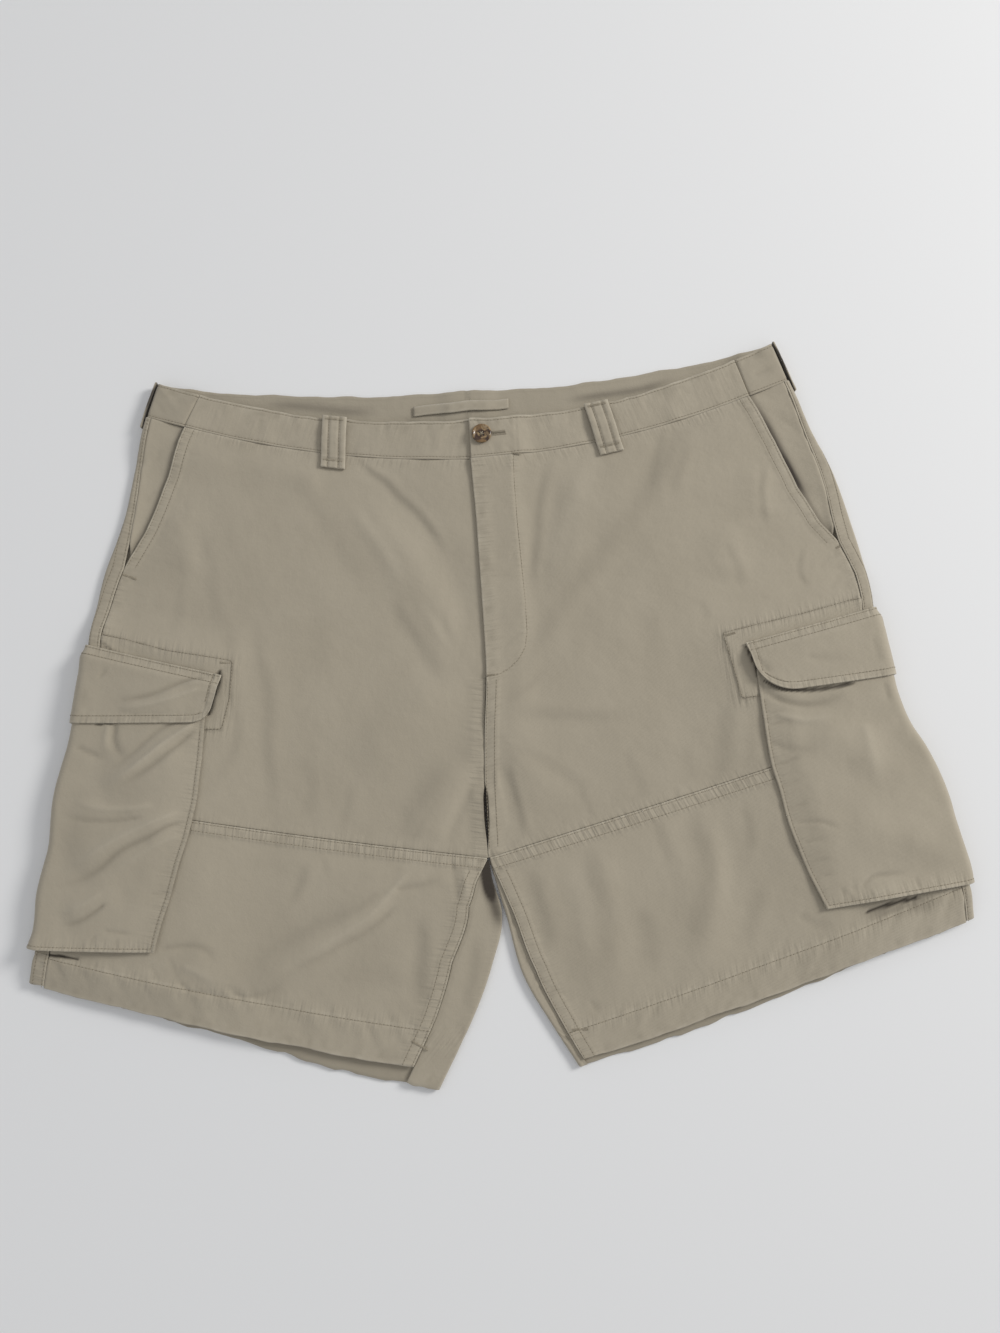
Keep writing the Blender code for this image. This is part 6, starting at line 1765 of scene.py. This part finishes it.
def makeBackLoop():
    x = loopLook["backMiddle"] + loopLook["width"] * loopColumns()[None, :]
    drop = spread(loopLook["top"], loopLook["low"], 0.0016)[:, None]
    ridges = np.minimum(loopRidges(x - loopLook["backMiddle"], drop), 0)
    outer = nearCentreBack(x, drop, backLoopStack + ridges)
    inner = nearCentreBack(x, drop, cut["layerGap"] + 0 * ridges)
    clothSheet("beltLoopBack", "belt_loop_back", ["waistbandBack"], outer, inner,
               cutPlace(x, drop), 0.0, twill)


hanger = {"start": -0.048, "end": 0.039, "width": 0.0095, "drop": -0.0195, "bend": 0.0035, "wave": 0.0015,
          "bow": 0.0012}


def hangerPoint(x, across, more):
    share = (x - hanger["start"]) / (hanger["end"] - hanger["start"])
    middle = hanger["drop"] - hanger["bend"] * ramp(share, 0.35, 0.65) - hanger["wave"] * np.sin(2 * np.pi * share)
    rise = cut["layerGap"] + hanger["bow"] * np.sin(np.pi * share)
    return nearCentreBack(x, middle + across, -(cut["bandWall"] + rise + more))


def makeHanger():
    x = np.linspace(hanger["start"], hanger["end"], 64)[None, :]
    across = hanger["width"] * np.linspace(-0.5, 0.5, 10)[:, None]
    stitched = np.exp(-(((np.abs(across) - 0.0032) / 0.0008) ** 2))
    soft = 0.0002 * lumps(x / 0.008, across / 0.01, 181) - 0.0002 * stitched
    outer = hangerPoint(x, across, cut["tapeWall"] + 0.0004 + soft)
    inner = hangerPoint(x, across, 0.0 + 0 * soft)
    clothSheet("hangerLoop", "hanger_loop", ["waistbandBack"], outer, inner,
               np.stack([x + 0 * across, across + 0 * x], -1),
               edgeWear(hanger["width"] / 2 - np.abs(across) + 0 * x, x, 182, 0.5), twillInside)


for one in legs.values():
    makeFrontLoop(one)
    makeSideLoop(one)
makeBackLoop()
makeHanger()
print("loops made")


# The button
buttonLook = {"diameter": 0.0178, "holeRadius": 0.00095, "holeOut": 0.0019, "turned": 0.25}
buttonRings = ((0.00, 0.0000), (0.60, 0.0000), (0.86, 0.0004), (0.97, 0.0011), (1.00, 0.0018), (0.985, 0.0024),
               (0.94, 0.0029), (0.88, 0.0031), (0.81, 0.0030), (0.74, 0.0026), (0.66, 0.0022), (0.56, 0.0020),
               (0.00, 0.0020))


def holeAngle(k):
    return math.pi / 4 + k * math.pi / 2 + buttonLook["turned"]


def makeButton():
    low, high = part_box("waist_button")
    centre = (low + high) / 2
    mesh = bmesh.new()
    radius = buttonLook["diameter"] / 2
    ring = [mesh.verts.new((radius * share, 0.0, height)) for share, height in buttonRings]
    edges = [mesh.edges.new(pair) for pair in zip(ring, ring[1:])]
    bmesh.ops.spin(mesh, geom=ring + edges, cent=(0, 0, 0), axis=(0, 0, 1), angle=2 * math.pi, steps=64,
                   use_merge=True)
    bmesh.ops.remove_doubles(mesh, verts=mesh.verts, dist=1e-6)
    bmesh.ops.recalc_face_normals(mesh, faces=mesh.faces)
    data = bpy.data.meshes.new("waistButton")
    mesh.to_mesh(data)
    mesh.free()
    data.transform(Matrix.Translation((centre.x, centre.y, low.z)))
    button = bpy.data.objects.new("waistButton", data)
    bpy.context.scene.collection.objects.link(button)
    cutters = []
    for k in range(4):
        angle = holeAngle(k)
        out = buttonLook["holeOut"]
        place = (centre.x + out * math.cos(angle), centre.y + out * math.sin(angle), low.z + 0.002)
        bpy.ops.mesh.primitive_cylinder_add(vertices=20, radius=buttonLook["holeRadius"], depth=0.01, location=place)
        cutter = bpy.context.object
        cutters.append(cutter)
        hole = button.modifiers.new(f"hole{k}", "BOOLEAN")
        hole.operation, hole.object, hole.solver = "DIFFERENCE", cutter, "EXACT"
    bpy.context.view_layer.update()
    evaluated = button.evaluated_get(bpy.context.evaluated_depsgraph_get())
    plain = bpy.data.meshes.new_from_object(evaluated)
    button.modifiers.clear()
    button.data = plain
    for cutter in cutters:
        bpy.data.objects.remove(cutter)
    plain.shade_smooth()
    plain.set_sharp_from_angle(angle=0.6)
    plain.materials.clear()
    plain.materials.append(horn)
    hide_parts("waist_button")
    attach(button, "root")
    return centre, low.z


buttonCentre, buttonBase = makeButton()
print("button made")


# Sewing: guide lines on the cloth, which Geometry Nodes turn into threads
# one size here is for the dark beads of painted needle-hole shade between the stitches
sewing = {"stitch": 0.0023, "pitch": 0.0030, "width": 0.00058, "sunk": 0.00095, "tackPitch": 0.00075,
          "tackLength": 0.0026, "lowest": 0.00035, "seed": 7}
guides = {"topstitch": [], "bartack": [], "buttonThread": []}


def outwardOf(leg, surface, drop, along):
    small = 0.0004
    down = surface(leg, drop + small, along) - surface(leg, drop - small, along)
    round_ = surface(leg, drop, along + small) - surface(leg, drop, along - small)
    normal = -leg.sign * np.cross(down, round_)
    return normal / np.linalg.norm(normal, axis=-1, keepdims=True)


def sewRow(kind, leg, surface, drops, alongs, raise_=0.00012):
    drops, alongs = np.broadcast_arrays(np.asarray(drops, float), np.asarray(alongs, float))
    points = surface(leg, drops, alongs)
    normals = outwardOf(leg, surface, drops, alongs)
    lengths = np.concatenate([[0], np.cumsum(np.linalg.norm(np.diff(points, axis=0), axis=1))])
    if lengths[-1] < 0.001:
        return
    count = max(2, int(lengths[-1] / 0.002))
    at = np.linspace(0, lengths[-1], count + 1)
    drops, alongs = np.interp(at, lengths, drops), np.interp(at, lengths, alongs)
    points, normals = surface(leg, drops, alongs), outwardOf(leg, surface, drops, alongs)
    points = points + normals * raise_
    points[:, 2] = np.maximum(points[:, 2], sewing["lowest"])
    guides[kind].append((points, normals))


def sewPlan(kind, leg, surface, line):
    xs, ys = np.array(line).T
    lengths = np.concatenate([[0], np.cumsum(np.hypot(np.diff(xs), np.diff(ys)))])
    at = np.linspace(0, lengths[-1], max(3, int(lengths[-1] / 0.004)))
    drops, alongs = leg.placeOnTop(np.interp(at, lengths, xs), np.interp(at, lengths, ys))
    sewRow(kind, leg, surface, drops, alongs)


def sewingTree(name):
    tree = bpy.data.node_groups.new(name, "GeometryNodeTree")
    face = tree.interface
    face.new_socket("Geometry", in_out="INPUT", socket_type="NodeSocketGeometry")
    for label, low, high in (("Pitch", 0.0002, 0.1), ("Stitch Length", 0.0002, 0.1), ("Thread Width", 0.00005, 0.01)):
        socket = face.new_socket(label, in_out="INPUT", socket_type="NodeSocketFloat")
        socket.min_value, socket.max_value = low, high
    face.new_socket("Turn", in_out="INPUT", socket_type="NodeSocketFloat")
    face.new_socket("Every Other", in_out="INPUT", socket_type="NodeSocketInt")
    face.new_socket("Seed", in_out="INPUT", socket_type="NodeSocketInt")
    face.new_socket("Thread", in_out="INPUT", socket_type="NodeSocketMaterial")
    face.new_socket("Geometry", in_out="OUTPUT", socket_type="NodeSocketGeometry")
    nodes, link = tree.nodes, tree.links.new
    given, result = nodes.new("NodeGroupInput"), nodes.new("NodeGroupOutput")
    curve = nodes.new("GeometryNodeMeshToCurve")
    link(given.outputs["Geometry"], curve.inputs["Mesh"])
    spaced = nodes.new("GeometryNodeResampleCurve")
    spaced.mode = "LENGTH"
    link(curve.outputs["Curve"], spaced.inputs["Curve"])
    link(given.outputs["Pitch"], spaced.inputs["Length"])
    index = nodes.new("GeometryNodeInputIndex")
    moved, odd = nodes.new("ShaderNodeMath"), nodes.new("ShaderNodeMath")
    moved.operation, odd.operation = "ADD", "MODULO"
    link(index.outputs[0], moved.inputs[0])
    link(given.outputs["Every Other"], moved.inputs[1])
    link(moved.outputs[0], odd.inputs[0])
    odd.inputs[1].default_value = 2.0
    tangent = nodes.new("GeometryNodeInputTangent")
    up = nodes.new("GeometryNodeInputNamedAttribute")
    up.data_type = "FLOAT_VECTOR"
    up.inputs["Name"].default_value = "up"
    alongThread = nodes.new("FunctionNodeAlignRotationToVector")
    alongThread.axis = "X"
    link(tangent.outputs["Tangent"], alongThread.inputs["Vector"])
    flatOnCloth = nodes.new("FunctionNodeAlignRotationToVector")
    flatOnCloth.axis, flatOnCloth.pivot_axis = "Z", "X"
    link(alongThread.outputs["Rotation"], flatOnCloth.inputs["Rotation"])
    link(up.outputs["Attribute"], flatOnCloth.inputs["Vector"])
    jitter = nodes.new("FunctionNodeRandomValue")
    jitter.data_type = "FLOAT"
    jitter.inputs[2].default_value, jitter.inputs[3].default_value = -0.10, 0.10
    link(given.outputs["Seed"], jitter.inputs["Seed"])
    turned = nodes.new("ShaderNodeMath")
    turned.operation = "ADD"
    link(jitter.outputs[1], turned.inputs[0])
    link(given.outputs["Turn"], turned.inputs[1])
    angles = nodes.new("ShaderNodeCombineXYZ")
    link(turned.outputs[0], angles.inputs["Z"])
    asRotation = nodes.new("FunctionNodeEulerToRotation")
    link(angles.outputs[0], asRotation.inputs[0])
    rotated = nodes.new("FunctionNodeRotateRotation")
    rotated.rotation_space = "LOCAL"
    link(flatOnCloth.outputs["Rotation"], rotated.inputs["Rotation"])
    link(asRotation.outputs[0], rotated.inputs["Rotate By"])
    bead = nodes.new("GeometryNodeMeshIcoSphere")
    bead.inputs["Radius"].default_value, bead.inputs["Subdivisions"].default_value = 0.5, 1
    size = nodes.new("ShaderNodeCombineXYZ")
    link(given.outputs["Stitch Length"], size.inputs["X"])
    link(given.outputs["Thread Width"], size.inputs["Y"])
    link(given.outputs["Thread Width"], size.inputs["Z"])
    placed = nodes.new("GeometryNodeInstanceOnPoints")
    link(spaced.outputs["Curve"], placed.inputs["Points"])
    link(odd.outputs[0], placed.inputs["Selection"])
    link(bead.outputs["Mesh"], placed.inputs["Instance"])
    link(rotated.outputs["Rotation"], placed.inputs["Rotation"])
    link(size.outputs[0], placed.inputs["Scale"])
    real = nodes.new("GeometryNodeRealizeInstances")
    link(placed.outputs["Instances"], real.inputs["Geometry"])
    smooth = nodes.new("GeometryNodeSetShadeSmooth")
    link(real.outputs["Geometry"], smooth.inputs["Geometry"])
    painted = nodes.new("GeometryNodeSetMaterial")
    link(smooth.outputs[0], painted.inputs["Geometry"])
    link(given.outputs["Thread"], painted.inputs["Material"])
    link(painted.outputs["Geometry"], result.inputs["Geometry"])
    return tree


def makeSewing(name, kind, tree, values):
    points, normals, edges, first = [], [], [], 0
    for line, ups in guides[kind]:
        points.append(line)
        normals.append(ups)
        edges += [(first + k, first + k + 1) for k in range(len(line) - 1)]
        first += len(line)
    points = np.concatenate(points) + np.array([shiftToFrame[0], shiftToFrame[1], 0.0])
    normals = np.concatenate(normals)
    mesh = bpy.data.meshes.new(name + "Guide")
    mesh.from_pydata([tuple(p) for p in points], edges, [])
    ups = mesh.attributes.new("up", "FLOAT_VECTOR", "POINT")
    ups.data.foreach_set("vector", normals.astype(np.float32).ravel())
    guide = bpy.data.objects.new(name + "Guide", mesh)
    bpy.context.scene.collection.objects.link(guide)
    modifier = guide.modifiers.new("sewing", "NODES")
    modifier.node_group = tree
    for item in tree.interface.items_tree:
        if item.item_type == "SOCKET" and item.in_out == "INPUT" and item.name in values:
            modifier[item.identifier] = values[item.name]
    bpy.context.view_layer.update()
    evaluated = guide.evaluated_get(bpy.context.evaluated_depsgraph_get())
    plain = bpy.data.meshes.new_from_object(evaluated)
    bpy.data.objects.remove(guide)
    plain.name = name
    if not plain.materials:
        plain.materials.append(thread)
    made = bpy.data.objects.new(name, plain)
    bpy.context.scene.collection.objects.link(made)
    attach(made, "root")
    print(name, len(plain.polygons), "faces")


def wrapped(leg, nominal, along):
    share = np.where(along > 0, 0.0, np.abs(along) / leg.row(nominal)[4])
    return leg.backDrop(nominal, share)


def backOuter(leg, nominal, along):
    drop = wrapped(leg, nominal, along)
    return leg.point(drop, along, backLift(leg, drop, along, nominal))


def bandBackOuter(leg, nominal, along):
    drop = wrapped(leg, nominal, along) + bandWave(nominal, along)
    return leg.point(drop, along, bandBackLift(leg, drop, along, nominal))


def flapOuter(leg, drop, along):
    top, low = flapEdges(leg, along)
    fromEnd = np.maximum(leg.cargo["flapFront"] - along, 0)
    short = flapCornerCut(leg, fromEnd)
    return leg.point(drop, along, flapLiftAt(leg, drop, along, top, low - short, fromEnd) + cut["flapWall"])


def frontLoopSurface(leg, drop, along):
    return frontLoopOuter(leg, drop, along - frontLoopMiddle(leg, drop))


def bartack(leg, surface, *line):   # its line in the photo's pixels
    sewPlan("bartack", leg, surface, [onCloth(*p) for p in line])


def sewLeg(leg):
    rise, hem, one, rowsOf = cut["frontRise"], cut["hemDrop"], leg.cargo, np.linspace
    drops = rowsOf(0.002, slantEnds[leg.name], 60)
    for row in seamKinds["slant"]["rows"]:
        sewRow("topstitch", leg, frontOuter, drops, leg.slant(drops) + row)
    for row in seamKinds["felled"]["rows"]:
        start, end = lowerEnds(leg, rise + row)
        sewRow("topstitch", leg, lowerOuter, rise + row, rowsOf(float(start) + 0.001, float(end) - 0.001, 120))
        drops = rowsOf(rise + 0.014, hem - 0.001, 80)
        sewRow("topstitch", leg, lowerOuter, drops, lowerEnds(leg, drops)[1] - row)
        drops = rowsOf(0.002, one["flapTopFold"] - 0.002, 70)   # side seam, on the back's side
        sewRow("topstitch", leg, backOuter, drops, leg.sideSeam(drops) - row)
        drops = rowsOf(one["bottomFold"] + 0.002, hem - 0.001, 12)
        sewRow("topstitch", leg, backOuter, drops, leg.sideSeam(drops) - row)
    hemRow = seamKinds["hem"]["rows"][0]
    start, end = lowerEnds(leg, hem - hemRow)
    sewRow("topstitch", leg, lowerOuter, hem - hemRow, rowsOf(float(start) + 0.001, float(end) - 0.001, 150))
    backLength = float(leg.row(hem)[4])
    sewRow("topstitch", leg, backOuter, hem - 0.0282, -rowsOf(0.003, backLength - 0.004, 150))
    # the patch behind the flap
    corners = np.array(patchCorners[leg.name])
    middle = corners.mean(0) + np.array([0.0, 0.012])
    sewPlan("topstitch", leg, frontOuter, corners + (middle - corners) * 0.012)
    # bands
    for low in (-cut["bandHeight"] + 0.0024, -0.0024):
        start, end = bandEnds(leg, low)
        if leg.name == "right":
            end = leg.alongAt(low, leg.innerX(low))
        sewRow("topstitch", leg, bandOuter, low, rowsOf(float(start) + 0.001, float(end) - 0.002, 160))
        centre = float(leg.row(low)[4])
        sewRow("topstitch", leg, bandBackOuter, low, rowsOf(float(leg.slant(low)) - 0.001, -centre + 0.001, 200))
    # cargo pocket's pin-tucks
    top, low = pocketMouth(leg) + 0.030, one["bottomFront"] - 0.0036
    drops = rowsOf(top, low, 90)
    sewRow("topstitch", leg, pocketOuter, drops, leg.pocketFront(drops) - pocketLook["stitchRow"])
    front = float(leg.pocketFront(one["bottomFront"]))
    alongs = rowsOf(front - 0.0036, 0.0015, 90)
    sewRow("topstitch", leg, pocketOuter, pocketLow(leg, alongs) - pocketLook["stitchRow"], alongs)
    # flap's top, bottom and front end
    alongs = rowsOf(one["flapFront"] - 0.002, -0.080, 120)
    tops, lows = flapEdges(leg, alongs)
    for row in (0.0018, 0.0085):
        sewRow("topstitch", leg, flapOuter, tops + row, alongs)
    fromEnd, row = np.maximum(one["flapFrontLow"] - alongs, 0), seamKinds["flapEdge"]["rows"][0]
    keep = fromEnd > row
    sewRow("topstitch", leg, flapOuter, (lows - flapCornerCut(leg, fromEnd) - row)[keep], alongs[keep])
    ends = rowsOf(0.012, 0.75, 20)
    endDrops = one["flapTopFront"] + (one["flapLowFront"] - one["flapTopFront"]) * ends * 0.8
    sewRow("topstitch", leg, flapOuter, endDrops, one["flapFront"] - row
           + (one["flapFrontLow"] - one["flapFront"]) * ends)
    # belt loops, each with two rows and a bartack at both ends
    drops = rowsOf(-0.0365, 0.0140, 30)
    middle = frontLoopMiddle(leg, drops)
    for row in (-loopLook["stitchRow"], loopLook["stitchRow"]):
        sewRow("topstitch", leg, frontLoopSurface, drops, middle + row)
    for low in (-0.0350, 0.0075):
        at = float(frontLoopMiddle(leg, low))
        sewRow("bartack", leg, frontLoopSurface, low, rowsOf(at - 0.0085, at + 0.0085, 14))


def sewEverything():
    rowsOf, left, right = np.linspace, legs["left"], legs["right"]
    for leg in legs.values():
        sewLeg(leg)
    sewPlan("topstitch", left, frontOuter, jLine)
    drops = rowsOf(cut["flyLength"] + 0.004, 0.345, 60)
    for row in (0.0014, 0.0088):
        sewRow("topstitch", left, frontOuter, drops, left.alongAt(drops, left.innerX(drops) + row))
    drops = rowsOf(0.010, 0.330, 90)
    for row in (0.0018, 0.0098):   # centre back
        centre = left.row(drops)[4] - left.sideRadius(drops) * (1 - np.pi / 2)
        sewRow("topstitch", left, backOuter, drops, -(centre - row))
    # bartacks, placed as the photo shows them
    bartack(right, frontOuter, (122, 574), (136, 579))
    bartack(left, frontOuter, (836, 548), (846, 543))
    bartack(left, frontOuter, (487, 676), (497, 675))
    bartack(left, bandOuter, (512, 455), (521, 456))
    bartack(right, frontOuter, (222, 664), (232, 664))
    bartack(left, frontOuter, (724, 637), (734, 634))
    bartack(right, lowerOuter, (412, 1041), (428, 1050))
    bartack(left, lowerOuter, (572, 1030), (588, 1029))
    # buttonhole: short threads round its slot
    for side in (-1, 1):
        alongs = left.alongAt(buttonhole["drop"], rowsOf(0.0226, buttonhole["end"], 12))
        sewRow("bartack", left, bandOuter, buttonhole["drop"] + side * 0.0012, alongs)
    # button: two crossing threads through its four holes
    reach, top = buttonLook["holeOut"], buttonBase + 0.0022
    for k in range(2):
        angle = holeAngle(k)
        ends = [(buttonCentre.x - shiftToFrame[0] + s * reach * math.cos(angle),
                 buttonCentre.y - shiftToFrame[1] + s * reach * math.sin(angle), top + 0.0004 * (1 - s * s))
                for s in rowsOf(-1, 1, 9)]
        guides["buttonThread"].append((np.array(ends), np.tile([0.0, 0.0, 1.0], (9, 1))))
    print("guide lines:", sum(len(g) for g in guides.values()))


sewEverything()
threadTree = sewingTree("sewingThreads")
half = sewing["pitch"] / 2
makeSewing("stitching", "topstitch", threadTree,
           {"Pitch": half, "Stitch Length": sewing["stitch"], "Thread Width": sewing["width"],
            "Turn": 0.0, "Every Other": 0, "Seed": sewing["seed"], "Thread": thread})
# dark beads in the gaps between stitches, as painted shade of the needle holes
makeSewing("holeShadeBeads", "topstitch", threadTree,
           {"Pitch": half, "Stitch Length": sewing["sunk"], "Thread Width": sewing["sunk"] * 0.8,
            "Turn": 0.0, "Every Other": 1, "Seed": sewing["seed"], "Thread": holeShadeThread})
makeSewing("bartacks", "bartack", threadTree,
           {"Pitch": sewing["tackPitch"] / 2, "Stitch Length": sewing["tackLength"], "Thread Width": sewing["width"],
            "Turn": math.pi / 2, "Every Other": 0, "Seed": sewing["seed"] + 1, "Thread": thread})
makeSewing("buttonThread", "buttonThread", threadTree,
           {"Pitch": 0.0002, "Stitch Length": 0.0010, "Thread Width": 0.0008,
            "Turn": 0.0, "Every Other": 0, "Seed": sewing["seed"] + 2, "Thread": thread})
print("sewing made")


# Floor, light and camera
stageLook = {"floor": (0.80, 0.803, 0.808), "floorReach": 6.0, "floorHeight": -0.0002,
             "key": 92.0, "fill": 3.0, "sky": 0.50}


def makeFloor():
    mesh = bpy.data.meshes.new("paleFloor")
    size, height = stageLook["floorReach"], stageLook["floorHeight"]
    corners = [(x * size, y * size, height) for x, y in ((-1, -1), (1, -1), (1, 1), (-1, 1))]
    mesh.from_pydata(corners, [], [(0, 1, 2, 3)])
    floor = bpy.data.objects.new("paleFloor", mesh)
    bpy.context.scene.collection.objects.link(floor)
    made, shader, *_ = nodesOf("paleFloor")
    setValues(shader, Base_Color=(*stageLook["floor"], 1), Roughness=0.75)
    mesh.materials.append(made)


def areaLight(name, place, target, size, power, colour):
    data = bpy.data.lights.new(name, "AREA")
    data.shape, data.size, data.energy, data.color = "DISK", size, power, colour
    light = bpy.data.objects.new(name, data)
    bpy.context.scene.collection.objects.link(light)
    light.location = place
    light.rotation_euler = (Vector(target) - Vector(place)).to_track_quat("-Z", "Y").to_euler()


def makeStudio():
    makeFloor()
    areaLight("key", (3.0, 1.2, 1.9), (0.05, 0, 0), 1.2, stageLook["key"], (1.0, 0.985, 0.955))
    areaLight("fill", (-1.4, -0.6, 1.7), (0, 0, 0), 1.6, stageLook["fill"], (0.96, 0.98, 1.0))
    world = bpy.data.worlds.new("studio")
    world.use_nodes = True
    background = world.node_tree.nodes["Background"]
    background.inputs["Color"].default_value = (0.97, 0.98, 1.0, 1)
    background.inputs["Strength"].default_value = stageLook["sky"]
    scene = bpy.context.scene
    scene.world = world
    scene.view_settings.view_transform, scene.view_settings.look = "Standard", "None"


def makeCamera():
    tilt, turn = math.radians(photoView["tilt"]), math.radians(photoView["turn"])
    away = Vector((0, -photoView["distance"] * math.sin(tilt), photoView["distance"] * math.cos(tilt)))
    data = bpy.data.cameras.new("photoView")
    data.lens, data.sensor_width, data.sensor_fit = photoView["lens"], 36.0, "AUTO"
    camera = bpy.data.objects.new("photoView", data)
    bpy.context.scene.collection.objects.link(camera)
    camera.location = Vector(photoView["target"]) + Matrix.Rotation(turn, 3, "Z") @ away
    camera.rotation_euler = (tilt, 0, turn)
    bpy.context.scene.camera = camera


makeStudio()
makeCamera()
print("stage made")
